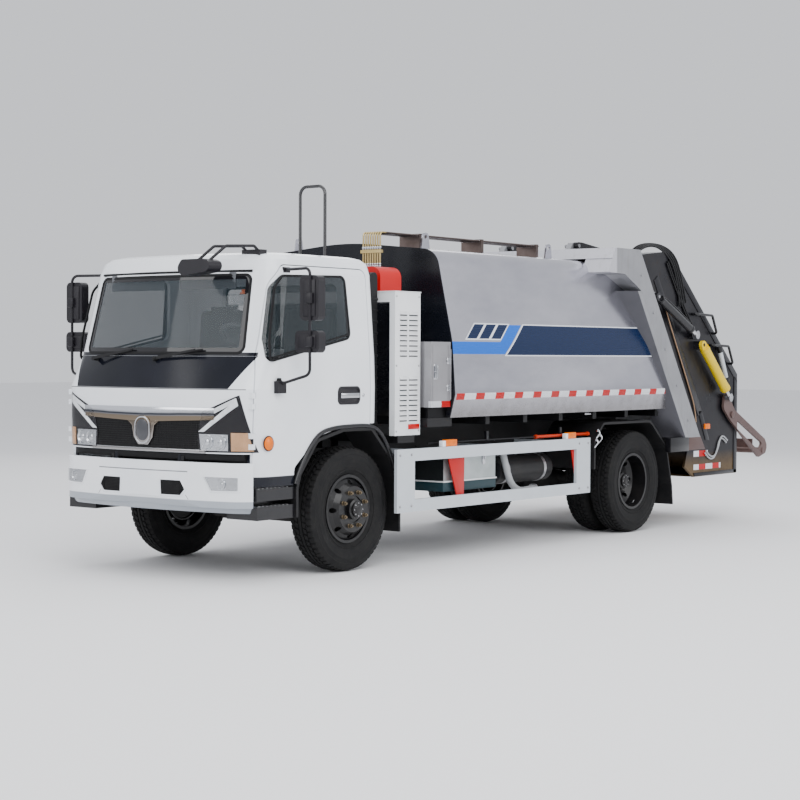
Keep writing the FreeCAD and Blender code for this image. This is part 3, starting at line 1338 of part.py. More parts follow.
def make_air_intake():
    """The ribbed snorkel behind the cab's left rear corner, with the duct down to the engine."""
    x, y = size.intake_x, behind(size.intake_y)
    half_x, half_y = size.intake_width / 2, size.intake_depth / 2
    top = size.intake_top
    column = prism("intake_column", "side", (x - half_x, x + half_x), [
        (y - half_y, 1000, 30), (y + half_y, 1000, 30), (y + half_y, top, 40), (y - half_y, top - 60, 40)])
    duct = box("intake_duct", (size.gearbox_half_width + 10, x), (y - half_y + 10, y + half_y - 10), (1010, 1090))
    foot = box("intake_foot", (size.rail_outer - 60, size.rail_outer - 10), (y - half_y + 10, y + half_y - 10),
               (size.rail_top, 1010))
    node("air_intake", fuse("air_intake", column, duct, foot))


def make_valve_cover():
    """The red cover of the control valves, on the portal's top beam."""
    y0, y1 = behind(size.portal_front) + 30, behind(size.portal_rear) - 30
    base = size.portal_top
    cover = prism("valve_cover", "front", (y0, y1), [
        (size.valve_inner, base), (size.valve_outer, base), (size.valve_outer, size.valve_top, 90),
        (size.valve_inner, size.valve_top, 30)])
    node("valve_cover", cover)


def make_roof_pipes(container):
    """Eight pipes that rise from the valves and run back along the container's roof."""
    pipes = []
    y_front = behind(size.portal_rear) - 50
    for index in range(8):
        x = size.pipe_first_x + size.pipe_pitch * index
        pipes.append(bent_tube("pipe_%d" % index, [
            (x, y_front, size.valve_top + size.seat_gap), (x, y_front, size.pipe_roof_height),
            (x, behind(size.pipe_rear), size.pipe_roof_height)], size.pipe_radius, 30))
    first = size.pipe_first_x - 20
    last = size.pipe_first_x + size.pipe_pitch * 7 + 20
    clamps = [box("pipe_clamp_%d" % index, (first, last), (behind(place), behind(place + 40)),
                  (size.box_top - 60, size.pipe_roof_height + 14)) for index, place in enumerate((1300, 2200, 3080))]
    riser_clamp = box("riser_clamp", (first, last), (y_front - 14, y_front + 14), (2525, 2550))
    solid = fuse("roof_pipes_solid", riser_clamp, *(pipes + clamps))
    node("roof_pipes", cut("roof_pipes", solid, container))


# Container

def box_section(inset):
    """The container's half-round section: level floor, bulged sides, round shoulders, crowned roof."""
    half = size.box_half_width - inset
    low = size.box_bottom + inset
    top = size.box_top - inset
    return [
        (-half + 50, low), (half - 50, low), (half, size.box_belt, 40), (half - 32, 1800, 700),
        (half - 132, 2250, 500), (half - 200, top - 90, 170), (Size.of(0), top, 3000),
        (-half + 200, top - 90, 170), (-half + 132, 2250, 500), (-half + 32, 1800, 700), (-half, size.box_belt, 40),
    ]


def plane_point(height):
    """The place behind the front axle of the tailgate plane at a height."""
    run = size.ring_foot_y - size.ring_top_y
    rise = size.ring_top_z - size.ring_foot_z
    return size.ring_top_y + (size.ring_top_z - height) * run / rise


def make_container():
    """The closed shell with its dark front wall, lifting eyes and slanted rear mouth."""
    front = behind(size.box_front)
    rear = behind(size.ring_foot_y)
    wall = size.box_wall
    outer = prism("box_outer", "front", (front, rear), box_section(Size.of(0)))
    inner = prism("box_inner", "front", (front + wall, rear + 100), box_section(wall))
    shell = cut("box_shell", outer, inner)
    low, high = size.box_bottom - 50, size.box_top + 60
    zone = prism("box_zone", "side", (-size.box_half_width - 50, size.box_half_width + 50), [
        (front - 20, low), (behind(plane_point(low)), low), (behind(plane_point(high)), high),
        (front - 20, high),
    ])
    trimmed = common("box_trimmed", shell, zone)
    eyes = []
    for name, side in SIDES:
        for label, place in (("front", 1330), ("rear", 3230)):
            eyes.append(make_lifting_eye("%s_%s" % (label, name), 700 * side, behind(place)))
    node("container_shell", fuse("container_shell", trimmed, *eyes))
    return outer


def make_lifting_eye(name, x, y):
    """An upright plate with a hole across the truck."""
    base = size.box_top - 85
    half = size.eye_plate / 2
    centre = size.box_top + 30
    plate = prism("eye_plate_" + name, "side", (Size.of(x) - half, Size.of(x) + half), [
        (y - 60, base), (y + 60, base), (y + 36, centre + 36, 30), (y - 36, centre + 36, 30)])
    hole = bar("eye_hole_" + name, "X", size.eye_radius, (Size.of(x) - half - 5, y, centre), size.eye_plate + 10)
    return cut("lifting_eye_" + name, plate, hole)


def make_rear_ring():
    """The slanted frame round the container's mouth, with ears forward at the top."""
    outer_x = size.ring_half_width
    inner_x = size.box_half_width - 250
    depth = size.ring_depth

    def edge(height, shift):
        return (behind(plane_point(height)) + shift, Size.of(height))

    foot = size.ring_foot_z - 20
    cheek = prism("ring_cheek", "side", (inner_x, outer_x), [
        edge(foot, -depth), edge(foot, 0), edge(size.ring_top_z + 30, 0),
        (behind(3620), size.ring_top_z + 30), (behind(3500), 2460), (behind(3800), 2450, 60), edge(2310, -depth),
    ])
    roof = prism("ring_roof", "side", (-outer_x, outer_x), [
        (behind(3620), size.ring_top_z + 30), edge(size.ring_top_z + 30, 0), edge(2590, 0), (behind(3560), 2590)])
    sill = prism("ring_sill", "side", (-outer_x, outer_x), [
        edge(1000, -depth * 0.55), edge(1000, 0), edge(1172, 0), edge(1172, -depth * 0.55)])
    lugs = []
    for index, x in enumerate((-420, 360)):
        lugs.append(make_hinge_lug("ring_lug_%d" % index, Size.of(x), Size.of(60), True))
    cylinder_lugs = [make_lift_lug("lift_lug_" + name, side) for name, side in SIDES]
    mouth = prism("ring_mouth", "front", (behind(3300), behind(size.ring_foot_y) + 50), box_section(-size.seat_gap))
    frame = cut("ring_frame", fuse("ring_solid", cheek, mirrored("ring_cheek_right", cheek), roof, sill),
                mouth)
    node("rear_ring", fuse("rear_ring", frame, *(lugs + cylinder_lugs)))


def make_hinge_lug(name, x, width, with_pin):
    """A tailgate hinge ear on the ring's roof, with its pin."""
    y, z = behind(size.hinge_y), size.hinge_z
    ear = prism(name, "side", (x, x + width), [
        (y - 140, size.ring_top_z), (y - 20, size.ring_top_z), (y + 34, z - 30, 20), (y + 34, z + 34, 30),
        (y - 34, z + 34, 30)])
    if not with_pin:
        return ear
    pin = bar(name + "_pin", "X", size.hinge_pin_radius, (x - 50, y, z), width + 100)
    return fuse(name + "_with_pin", ear, pin)


def make_lift_lug(name, side):
    """The bracket that carries a tailgate cylinder's fixed pin."""
    y, z = behind(size.lift_base_y), size.lift_base_z
    half = size.eye_width / 2
    inner = size.cylinder_x - half - 24
    ear = prism(name, "side", mirrored_x((inner, inner + 22), side), [
        (y - 150, z - 40), (y - 60, z - 90), (y + 40, z - 30, 30), (y + 30, z + 40, 30), (y - 150, z + 60)])
    start = inner if side > 0 else -size.cylinder_x - half - 4
    pin = bar(name + "_pin", "X", size.cylinder_pin_radius, (start, y, z), size.cylinder_x + half + 4 - inner)
    return fuse(name + "_with_pin", ear, pin)


def make_cabinet():
    """The grey cabinet at the container's front left corner, with its own door."""
    y = (behind(size.cabinet_front), behind(size.cabinet_rear))
    x = (size.cabinet_inner, size.cabinet_outer)
    z = (size.cabinet_bottom, size.cabinet_top)
    sheet = size.cabinet_sheet
    case = box("cabinet_case", x, y, z)
    room = box("cabinet_room", (x[0] + sheet, x[1] + 10), (y[0] + sheet, y[1] - sheet), (z[0] + sheet, z[1] - sheet))
    shelf = box("cabinet_foot", (x[0] + 20, x[1] - 30), (y[0] + 20, y[1]), (size.box_bottom, z[0]))
    node("cabinet_box", fuse("cabinet_box", cut("cabinet_open", case, room), shelf))
    door = box("cabinet_door_leaf", (x[1] + size.seat_gap, x[1] + sheet), y, z)
    hinge = bar("cabinet_hinge", "Z", 7, (x[1] + sheet, y[1], z[0] + 60), z[1] - z[0] - 120)
    node("cabinet_door", fuse("cabinet_door", door, hinge))


def make_ejector():
    """The ejector plate, slanted like the tailgate plane, on a foot that runs on the floor."""
    gap = size.ejector_gap
    y = behind(size.ejector_front)
    low = size.box_bottom + size.box_wall + size.seat_gap
    top = size.box_top - size.box_wall - gap
    t = size.ejector_plate
    lean = (size.ring_foot_y - size.ring_top_y) / (size.ring_top_z - size.ring_foot_z)
    foot = y + 40 + (top - low) * lean
    slab = prism("ejector_slab", "side", (-size.box_half_width, size.box_half_width), [
        (foot, low), (foot + t, low), (y + 40 + t, top), (y + 40, top)])
    section = prism("ejector_section", "front", (y - 20, foot + 100), box_section(size.box_wall + gap))
    face = common("ejector_face", slab, section)
    base = box("ejector_base", (-700, 700), (y + 20, foot + 4), (low, low + 60))
    struts = [prism("ejector_strut_%d" % index, "side", (x, x + 40), [
        (y + 20, low + 50), (foot + 5, low + 50), (y + 45, top - 60), (y + 20, top - 60)])
        for index, x in enumerate((-500, 460))]
    node("ejector_plate", fuse("ejector_plate", face, base, *struts))


# Tailgate

def gate_outline(shrink=0):
    """Side view of the tailgate's side plates."""
    off = size.gate_clearance
    return [
        (behind(plane_point(size.ring_top_z - 20) + off), size.ring_top_z - 20),
        (behind(size.gate_top_y) - 120, size.gate_top_z + 60, 60), (behind(size.gate_top_y), size.gate_top_z, 80),
        (behind(size.gate_rear_y) - shrink, size.gate_shoulder_z, 120),
        (behind(size.gate_rear_y) - shrink, size.gate_bottom), (behind(size.gate_front_foot) + 250, size.gate_bottom),
        (behind(size.gate_front_foot) + 60, size.gate_bottom + 110),
        (behind(plane_point(size.ring_foot_z - 32) + off), size.ring_foot_z - 32),
    ]


def make_tailgate():
    """Two side plates, the curved hopper floor, roof sheet, hinge arms and sill."""
    half = size.gate_half_width
    plate = size.gate_plate
    side_plate = prism("gate_side", "side", (half - plate, half), gate_outline())
    cy, cz = behind(size.hopper_centre_y), size.hopper_centre_z
    radius = size.hopper_radius
    sheet = size.hopper_plate
    run = (size.ring_foot_y - size.ring_top_y).value
    rise = (size.ring_top_z - size.ring_foot_z).value
    down = Vector(0, run, -rise).normalize()
    away = Vector(0, rise, run).normalize()
    foot = Vector(0, behind(plane_point(size.ring_foot_z)).value, size.ring_foot_z.value)
    centre = Vector(0, cy.value, cz.value)
    offset = (centre - foot).dot(away)
    along = (centre - foot).dot(down)
    start = math.radians(-14)

    def on_circle(angle, reach):
        return centre + Vector(0, reach * math.cos(angle), reach * math.sin(angle))

    def on_ramp(distance, reach):
        """Where the ramp at a distance from the tailgate plane meets a circle about the hopper's axis."""
        run_down = math.sqrt(reach ** 2 - (offset - distance) ** 2)
        return foot + away * distance + down * (along + run_down)

    inner_radius, outer_radius = radius.value, radius.value + sheet.value
    face_gap = size.gate_clearance.value + size.ramp_sheet.value
    toe = on_ramp(face_gap, inner_radius)
    heel = on_ramp(size.gate_clearance.value, outer_radius)
    lip_height = size.box_bottom.value + size.box_wall.value
    up = (lip_height - size.ring_foot_z.value) / down.z
    lip = foot + away * face_gap + down * up
    lip_edge = foot + away * size.gate_clearance.value + down * up
    toe_angle = math.atan2(toe.z - centre.z, toe.y - centre.y)
    heel_angle = math.atan2(heel.z - centre.z, heel.y - centre.y)
    edges = [Part.Arc(on_circle(start, inner_radius), on_circle((start + toe_angle) / 2, inner_radius), toe),
             Part.LineSegment(toe, lip), Part.LineSegment(lip, lip_edge), Part.LineSegment(lip_edge, heel),
             Part.Arc(heel, on_circle((start + heel_angle) / 2, outer_radius), on_circle(start, outer_radius)),
             Part.LineSegment(on_circle(start, outer_radius), on_circle(start, inner_radius))]
    face = Part.Face(Part.Wire([edge.toShape() for edge in edges]))
    width = half.value - plate.value
    floor = document.addObject("Part::Feature", "hopper_floor")
    floor.Shape = face.extrude(Vector(width * 2, 0, 0)).translated(Vector(-width, 0, 0))
    rear_y = behind(size.gate_rear_y)
    sill = box("loading_sill", (-half + plate, half - plate), (rear_y - 60, rear_y),
               (size.sill_rear_z - 60, size.sill_rear_z))
    inside = half - plate
    roof = prism("gate_roof", "side", (-inside, inside), [
        (behind(plane_point(size.ring_top_z - 20) + size.gate_clearance), size.ring_top_z - 20),
        (behind(size.gate_top_y) - 120, size.gate_top_z + 56), (behind(size.gate_top_y) - 4, size.gate_top_z - 4),
        (behind(size.gate_top_y) - 20, size.gate_top_z - 26), (behind(size.gate_top_y) - 130, size.gate_top_z + 30),
        (behind(plane_point(size.ring_top_z - 50) + size.gate_clearance), size.ring_top_z - 50)])
    apron = box("rear_apron", (-inside, inside), (rear_y - 24, rear_y), (size.gate_bottom, size.sill_rear_z - 60))
    belly = box("hopper_belly", (-inside, inside), (behind(size.gate_front_foot) + 260, rear_y),
                (size.gate_bottom, size.gate_bottom + 20))
    arms = []
    for index, x in enumerate((-355, 425)):
        arms.append(make_gate_arm("gate_arm_%d" % index, Size.of(x), Size.of(36)))
    guides = []
    half_guide = size.slide_thickness / 2 + size.seat_gap
    for index, (low, high) in enumerate(((-half_guide - 24, -half_guide), (half_guide, half_guide + 24))):
        for name, side in SIDES:
            guides.append(prism("slide_guide_%d_%s" % (index, name), "side",
                                mirrored_x((half - plate - 13, half - plate + 2), side), [
                                    slide_place(90, low), slide_place(90, high),
                                    slide_place(1500, high), slide_place(1500, low)]))
    pieces = [side_plate, mirrored("gate_side_right", side_plate), floor, sill, roof, apron, belly]
    pieces += arms + guides
    for name, side in SIDES:
        pieces.append(make_rod_lug("lift_eye_lug_" + name, side, size.lift_eye_y, size.lift_eye_z))
        pieces.append(make_bin_lug("bin_lug_" + name, side))
        pieces.append(make_lifter_boss("lifter_boss_" + name, side))
    node("tailgate_shell", fuse("tailgate_shell", *pieces))


def make_gate_arm(name, x, width):
    """A tailgate hinge arm beside the ring's ear, with a bore for the pin."""
    y, z = behind(size.hinge_y), size.hinge_z
    arm = prism(name + "_plate", "side", (x, x + width), [
        (y - 34, z - 20, 20), (y - 34, z + 36, 30), (y + 60, z + 36, 40), (behind(size.gate_top_y) - 150, size.gate_top_z + 70),
        (behind(size.gate_top_y) - 150, size.gate_top_z + 30), (y + 110, size.ring_top_z - 24),
        (y + 60, size.ring_top_z - 24), (y + 40, z - 30)])
    bore = bar(name + "_bore", "X", size.hinge_pin_radius + 1, (x - 5, y, z), width + 10)
    return cut(name, arm, bore)


def make_rod_lug(name, side, place_y, z):
    """A bracket beside a rod's eye; the eye swings clear of it."""
    y = behind(place_y)
    inner = size.gate_half_width
    outer = size.lift_lug_face
    return prism(name, "side", mirrored_x((inner, outer), side), [
        (y - 40, z - 30, 20), (y - 20, z + 40, 20), (y + 50, z + 30, 20), (y + 60, z - 50, 20)])


def make_bin_lug(name, side):
    """The bracket and pin of a lifter cylinder's fixed end."""
    y, z = behind(size.bin_base_y), size.bin_base_z
    inner = size.gate_half_width
    half = size.eye_width / 2
    reach = size.cylinder_x + half + 4
    ear = prism(name + "_ear", "side", mirrored_x((inner, size.cylinder_x - half - 2), side), [
        (y - 46, z - 40, 20), (y - 30, z + 40, 20), (y + 44, z + 30, 20), (y + 40, z - 50, 20)])
    pin = bar(name + "_pin", "X", size.cylinder_pin_radius, (inner if side > 0 else -reach, y, z), reach - inner)
    return fuse(name, ear, pin)


def make_lifter_boss(name, side):
    """The boss and pin on which a lifter arm turns."""
    y, z = behind(size.lifter_pivot_y), size.lifter_pivot_z
    inner = size.gate_half_width
    boss = bar(name + "_boss", "X", 48, (inner if side > 0 else -size.lifter_arm_inner + 2, y, z),
               size.lifter_arm_inner - 2 - inner)
    reach = size.lifter_arm_inner + size.lifter_arm_plate + 10
    pin = bar(name + "_pin", "X", size.lifter_pin_radius, (inner if side > 0 else -reach, y, z), reach - inner)
    return fuse(name, boss, pin)


def make_handrails():
    """Bent grab rails on the tailgate's side plates."""
    rails = []
    x = size.gate_half_width
    for index, (place_y, z) in enumerate(((5330, 2110), (5690, 1800))):
        y = behind(place_y)
        rails.append(bent_tube("grab_rail_%d" % index, [
            (x, y, z), (x + 60, y, z), (x + 60, y + 330, z - 10), (x + 60, y + 430, z - 190), (x, y + 430, z - 190)],
            13, 24))
    sides = []
    for index, rail in enumerate(rails):
        sides.append(rail)
        sides.append(mirrored("grab_rail_right_%d" % index, rail))
    node("grab_rails", group("grab_rails", *sides))


def slide_place(along, off):
    """A place beside the packer's hinge: along the guides upwards, and off them rearwards."""
    run = size.ring_foot_y - size.ring_top_y
    rise = size.ring_top_z - size.ring_foot_z
    length = root(run * run + rise * rise)
    u_y, u_z = run / length, -rise / length
    return (behind(size.hopper_centre_y) - u_y * along - u_z * off,
            size.hopper_centre_z - u_z * along + u_y * off)


def make_slide():
    """The slide plate that runs down its guides inside the tailgate, at its lower stop."""
    at = slide_place
    foot = (behind(size.hopper_centre_y), size.hopper_centre_z)
    wall = size.gate_half_width - size.gate_plate
    half = wall - size.inner_gap
    t = size.slide_thickness / 2
    clear = size.blade_pin_radius + 32
    plate = prism("slide_body", "side", (-half, half), [
        at(clear, -t), at(clear, t), at(size.slide_length, t), at(size.slide_length, -t)])
    ears = []
    for index, x in enumerate((-half, -half * 0.34, half * 0.28, half - 60)):
        ears.append(prism("slide_ear_%d" % index, "side", (x, x + 60), [
            at(clear + 60, -t), at(Size.of(0), -44), at(Size.of(0), 44), at(clear + 60, t)]))
        ears.append(bar("slide_eye_%d" % index, "X", size.blade_pin_radius + 18, (x, foot[0], foot[1]), 60))
    pin = bar("blade_pin", "X", size.blade_pin_radius, (-half, foot[0], foot[1]), half * 2)
    shoe_x = wall - size.seat_gap
    shoes = [prism("slide_shoe_%d" % index, "side", (-shoe_x, shoe_x), [
        at(place, -t), at(place, t), at(place + 120, t), at(place + 120, -t)])
        for index, place in enumerate((clear + 70, size.slide_length - 120))]
    node("slide_plate", fuse("slide_plate", plate, pin, *(ears + shoes)))


def make_blade():
    """The packer blade on its pin, folded forward, with a curved face."""
    half = size.gate_half_width - size.gate_plate - size.inner_gap
    y, z = behind(size.hopper_centre_y), size.hopper_centre_z
    angle = math.radians(-100)
    d_y, d_z = math.cos(angle), math.sin(angle)
    n_y, n_z = -d_z, d_y
    length = size.blade_length
    t = size.blade_thickness

    def at(along, off):
        return (y + along * d_y + off * n_y, z + along * d_z + off * n_z)

    start = size.blade_pin_radius + 30
    body = prism("blade_body", "side", (-half, half), [
        at(start, -t / 2), at(start, t / 2), at(length * 0.6, t * 0.9), at(length, t * 0.35),
        at(length, 0), at(length * 0.6, -t / 2)])
    knuckles = []
    for index, (x0, x1) in enumerate(((-half + 66, -half * 0.34 - 6), (-half * 0.34 + 66, half * 0.28 - 6),
                                      (half * 0.28 + 66, half - 66))):
        outer = bar("blade_knuckle_%d" % index, "X", size.blade_pin_radius + 22, (x0, y, z), x1 - x0)
        web = prism("blade_web_%d" % index, "side", (x0, x1), [
            at(Size.of(0), -t / 2), at(Size.of(0), t / 2), at(start + 10, t / 2), at(start + 10, -t / 2)])
        knuckles.append(fuse("blade_joint_%d" % index, outer, web))
    bore = bar("blade_bore", "X", size.blade_pin_radius + 1, (-half, y, z), half * 2)
    node("packer_blade", cut("packer_blade", fuse("blade_solid", body, *knuckles), bore))


# Bin lifter

def make_lifter():
    """Arms outside the tailgate, joined by tubes at their tips."""
    y, z = behind(size.lifter_pivot_y), size.lifter_pivot_z
    tip_y = behind(size.wheelbase + size.rear_overhang)
    tip_z = size.lifter_tip_z
    eye_y, eye_z = behind(size.bin_eye_y), size.bin_eye_z
    inner = size.lifter_arm_inner
    outer = inner + size.lifter_arm_plate
    arm = prism("lifter_arm", "side", (inner, outer), [
        (eye_y - 34, eye_z + 10, 30), (eye_y + 30, eye_z + 46, 30), (y + 70, z + 44), (tip_y - 40, tip_z + 60, 30),
        (tip_y, tip_z), (tip_y, tip_z - 40), (tip_y - 30, tip_z - 90, 30), (tip_y - 190, tip_z - 130, 40), (y - 30, z - 60, 40),
        (eye_y - 60, eye_z - 110, 60)])
    window = prism("lifter_window", "side", (inner - 5, outer + 5), [
        (y + 120, z - 60, 20), (tip_y - 110, tip_z + 20, 20), (tip_y - 190, tip_z - 60, 20), (y + 120, z - 150, 20)])
    bore = bar("lifter_bore", "X", size.lifter_pin_radius + 1, (inner - 5, y, z), size.lifter_arm_plate + 10)
    plate = cut("lifter_arm_plate", arm, window, bore)
    tube_z = tip_z - 60
    tube_y = tip_y - 100
    reach = inner + 4
    tubes = [bar("lifter_tube", "X", size.cross_tube_radius, (-reach, tube_y, tube_z), reach * 2)]
    comb = box("lifter_comb", (-size.gate_half_width + 80, size.gate_half_width - 80),
               (tube_y - 10, tube_y + 10), (tube_z, tube_z + 120))
    node("lifter_frame", fuse("lifter_frame", plate, mirrored("lifter_arm_right", plate), comb, *tubes))


# Cylinders

def cylinder_pair(label, base, eye, bore, rod, barrel_share, rod_share, lug_face):
    """Barrels and rods of one pair of cylinders, at rest."""
    barrels, rods = [], []
    for name, side in SIDES:
        x = size.cylinder_x * side
        half = size.eye_width / 2
        dy = eye[0] - base[0]
        dz = eye[1] - base[1]
        distance = root(dy * dy + dz * dz)
        barrel_end = distance * barrel_share
        tube = inclined("%s_barrel_%s" % (label, name), x, base, eye, bore, 0, barrel_end)
        tail = bar("%s_tail_%s" % (label, name), "X", size.eye_outer, (x - half, base[0], base[1]), size.eye_width)
        bore_hole = bar("%s_tail_bore_%s" % (label, name), "X", size.cylinder_pin_radius + 1,
                        (x - half - 60, base[0], base[1]), size.eye_width + 120)
        rod_room = inclined("%s_room_%s" % (label, name), x, base, eye, rod + 1, 64, distance)
        clear = bar("%s_clear_%s" % (label, name), "X", size.eye_outer + 14, (x - half - 60, base[0], base[1]), 60)
        clear_outer = bar("%s_clear_outer_%s" % (label, name), "X", size.eye_outer + 14,
                          (x + half, base[0], base[1]), 60)
        barrels.append(cut("%s_barrel_solid_%s" % (label, name),
                           fuse("%s_barrel_body_%s" % (label, name), tube, tail), bore_hole, rod_room, clear, clear_outer))
        shaft = inclined("%s_rod_%s" % (label, name), x, base, eye, rod, distance * (1 - rod_share),
                         distance * rod_share)
        reach = size.cylinder_x + half - lug_face - size.running_gap
        head_start = lug_face + size.running_gap if side > 0 else -size.cylinder_x - half
        head = bar("%s_head_%s" % (label, name), "X", size.eye_outer, (head_start, eye[0], eye[1]), reach)
        rods.append(fuse("%s_rod_solid_%s" % (label, name), shaft, head))
    node(label + "_barrels", group(label + "_barrels", *barrels))
    node(label + "_rods", group(label + "_rods", *rods))


def make_cylinders():
    cylinder_pair("lift", (behind(size.lift_base_y), size.lift_base_z),
                  (behind(size.lift_eye_y), size.lift_eye_z), size.lift_bore, size.lift_rod, 0.86, 0.91,
                  size.lift_lug_face)
    cylinder_pair("bin", (behind(size.bin_base_y), size.bin_base_z),
                  (behind(size.bin_eye_y), size.bin_eye_z), size.bin_bore, size.bin_rod, 0.84, 0.7,
                  size.lifter_arm_inner + size.lifter_arm_plate)


# Build, check and write

def build():
    make_frame_rails()
    make_sub_frame()
    make_engine()
    make_radiator()
    make_front_axle()
    make_rear_axle()
    make_springs()
    for name, side in SIDES:
        make_front_wheel(name, side)
        make_rear_wheels(name, side)
        make_knuckle(name, side)
    make_track_rod()
    cab = make_cab()
    make_dashboard()
    make_seats()
    make_front_mirror(cab)
    make_wipers(cab)
    for name, side in SIDES:
        make_mirrors(name, side, cab)
    make_bumper()
    make_steps()
    make_mudguards()
    make_side_guards()
    make_battery_box()
    make_tanks()
    make_portal()
    make_air_intake()
    make_valve_cover()
    container = make_container()
    make_rear_ring()
    make_roof_pipes(container)
    make_cabinet()
    make_ejector()
    make_tailgate()
    make_handrails()
    make_slide()
    make_blade()
    make_lifter()
    make_cylinders()


def check_document():
    """Stop if any object failed or any sub-part is empty or broken."""
    faults = []
    for item in document.Objects:
        if "Invalid" in item.State or "Error" in item.State:
            faults.append("%s: %s" % (item.Label, item.State))
    for name, item in NODES.items():
        if item.Shape.isNull() or not item.Shape.Solids:
            faults.append(name + ": no solid")
        elif not item.Shape.isValid():
            faults.append(name + ": not valid")
    if faults:
        raise RuntimeError("; ".join(faults))


def write_parts():
    os.makedirs("parts", exist_ok=True)
    for name, item in NODES.items():
        item.Shape.exportStep("parts/%s.step" % name)


build()
document.recompute()
check_document()
write_parts()
print("sub-parts:", len(NODES), "solids:", sum(len(item.Shape.Solids) for item in NODES.values()))
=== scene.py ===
"""Looks of a compacting garbage truck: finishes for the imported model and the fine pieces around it."""

import math

import bpy
import bmesh
from mathutils import Matrix, Vector


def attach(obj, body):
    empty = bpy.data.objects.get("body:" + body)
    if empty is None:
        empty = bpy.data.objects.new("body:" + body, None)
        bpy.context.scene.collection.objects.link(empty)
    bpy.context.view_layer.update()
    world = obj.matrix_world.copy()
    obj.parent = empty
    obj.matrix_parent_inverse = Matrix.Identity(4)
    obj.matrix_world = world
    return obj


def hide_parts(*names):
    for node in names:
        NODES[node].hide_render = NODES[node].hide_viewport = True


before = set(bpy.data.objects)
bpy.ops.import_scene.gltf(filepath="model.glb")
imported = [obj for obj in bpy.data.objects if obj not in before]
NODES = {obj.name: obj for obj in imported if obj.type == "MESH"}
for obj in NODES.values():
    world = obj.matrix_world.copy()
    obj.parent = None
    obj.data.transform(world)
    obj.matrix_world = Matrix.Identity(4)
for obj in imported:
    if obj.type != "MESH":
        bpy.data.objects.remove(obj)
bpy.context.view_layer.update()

bl_info = {
    "name": "Garbage truck looks",
    "version": (1, 0, 0),
    "blender": (4, 5, 0),
    "location": "3D View > Sidebar > Truck",
    "description": "Adds the finishes and the fine pieces of a compacting garbage truck",
    "category": "Object",
}

FRONT_AXLE_Y = -2.825
REAR_AXLE_Y = 1.375
AXLE_Z = 0.487
TYRE_RADIUS = 0.487
SIDES = (("left", 1), ("right", -1))
WHEELS = (
    ("front_left", "front_wheel_left", FRONT_AXLE_Y, 0.870),
    ("front_right", "front_wheel_right", FRONT_AXLE_Y, -0.870),
    ("rear_left_outer", "rear_wheels_left", REAR_AXLE_Y, 0.965),
    ("rear_left_inner", "rear_wheels_left", REAR_AXLE_Y, 0.685),
    ("rear_right_outer", "rear_wheels_right", REAR_AXLE_Y, -0.965),
    ("rear_right_inner", "rear_wheels_right", REAR_AXLE_Y, -0.685),
)


def behind(distance):
    """The place along the truck at this distance behind the front axle."""
    return FRONT_AXLE_Y + distance


# The cab's front face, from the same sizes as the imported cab

CAB_LEVELS = (
    (0.712, -1.255, 1.002, 4.5, 0.25),
    (0.955, -1.268, 1.012, 4.5, 0.25),
    (1.430, -1.280, 1.020, 4.5, 0.25),
    (1.670, -1.190, 1.012, 3.0, 0.22),
    (2.310, -1.030, 0.962, 3.0, 0.20),
    (2.397, -0.994, 0.940, 3.0, 0.20),
)


# Modelling by hand: primitives, edit mode and modifiers

def deselect():
    if bpy.context.object is not None and bpy.context.object.mode != "OBJECT":
        bpy.ops.object.mode_set(mode="OBJECT")
    bpy.ops.object.select_all(action="DESELECT")


def activate(item):
    deselect()
    item.select_set(True)
    bpy.context.view_layer.objects.active = item
    return item


def named(name):
    item = bpy.context.object
    item.name = name
    item.data.name = name
    return item


def settle(item):
    """Puts an object's place into its mesh."""
    activate(item)
    bpy.ops.object.transform_apply(location=True, rotation=True, scale=True)
    return item


def modify(item, kind, **settings):
    """Adds one modifier with its settings and applies it."""
    activate(item)
    modifier = item.modifiers.new(kind.title(), kind)
    for key, value in settings.items():
        setattr(modifier, key, value)
    bpy.ops.object.modifier_apply(modifier=modifier.name)
    return item


def round_edges(item, width, segments=2, angle=35):
    return modify(item, "BEVEL", width=width, segments=segments, limit_method="ANGLE",
                  angle_limit=math.radians(angle), use_clamp_overlap=True)


def smooth(item, angle=35):
    activate(item)
    bpy.ops.object.shade_smooth_by_angle(angle=math.radians(angle))
    return item


def outward(item):
    """Merges doubled points and turns every face outwards."""
    activate(item)
    bpy.ops.object.mode_set(mode="EDIT")
    bpy.ops.mesh.select_all(action="SELECT")
    bpy.ops.mesh.remove_doubles(threshold=0.00002)
    bpy.ops.mesh.normals_make_consistent(inside=False)
    bpy.ops.object.mode_set(mode="OBJECT")
    return item


def block(name, low, high, edge=0.003, segments=2):
    """A block between two corners with rounded edges."""
    deselect()
    low, high = Vector(low), Vector(high)
    bpy.ops.mesh.primitive_cube_add(size=1, location=(low + high) / 2)
    item = named(name)
    item.scale = high - low
    settle(item)
    if edge:
        round_edges(item, edge, segments)
    return item


def rod(name, start, end, radius, sides=20, edge=0.0, tip=None):
    """A round bar between two points; tip is the radius at its end where it tapers."""
    deselect()
    start, end = Vector(start), Vector(end)
    along = end - start
    bpy.ops.mesh.primitive_cone_add(vertices=sides, radius1=radius, radius2=radius if tip is None else tip,
                                    depth=along.length, location=(start + end) / 2)
    item = named(name)
    item.rotation_mode = "QUATERNION"
    item.rotation_quaternion = along.to_track_quat("Z", "Y")
    settle(item)
    if edge:
        round_edges(item, edge, 2)
    return item


AXES = {"X": Vector((1, 0, 0)), "Y": Vector((0, 1, 0)), "Z": Vector((0, 0, 1))}


def on_axis(axis, centre, along, out):
    """A point at a distance along an axis and at a radius from it."""
    radial = {"X": Vector((0, 0, 1)), "Y": Vector((0, 0, 1)), "Z": Vector((1, 0, 0))}[axis]
    return Vector(centre) + AXES[axis] * along + radial * out


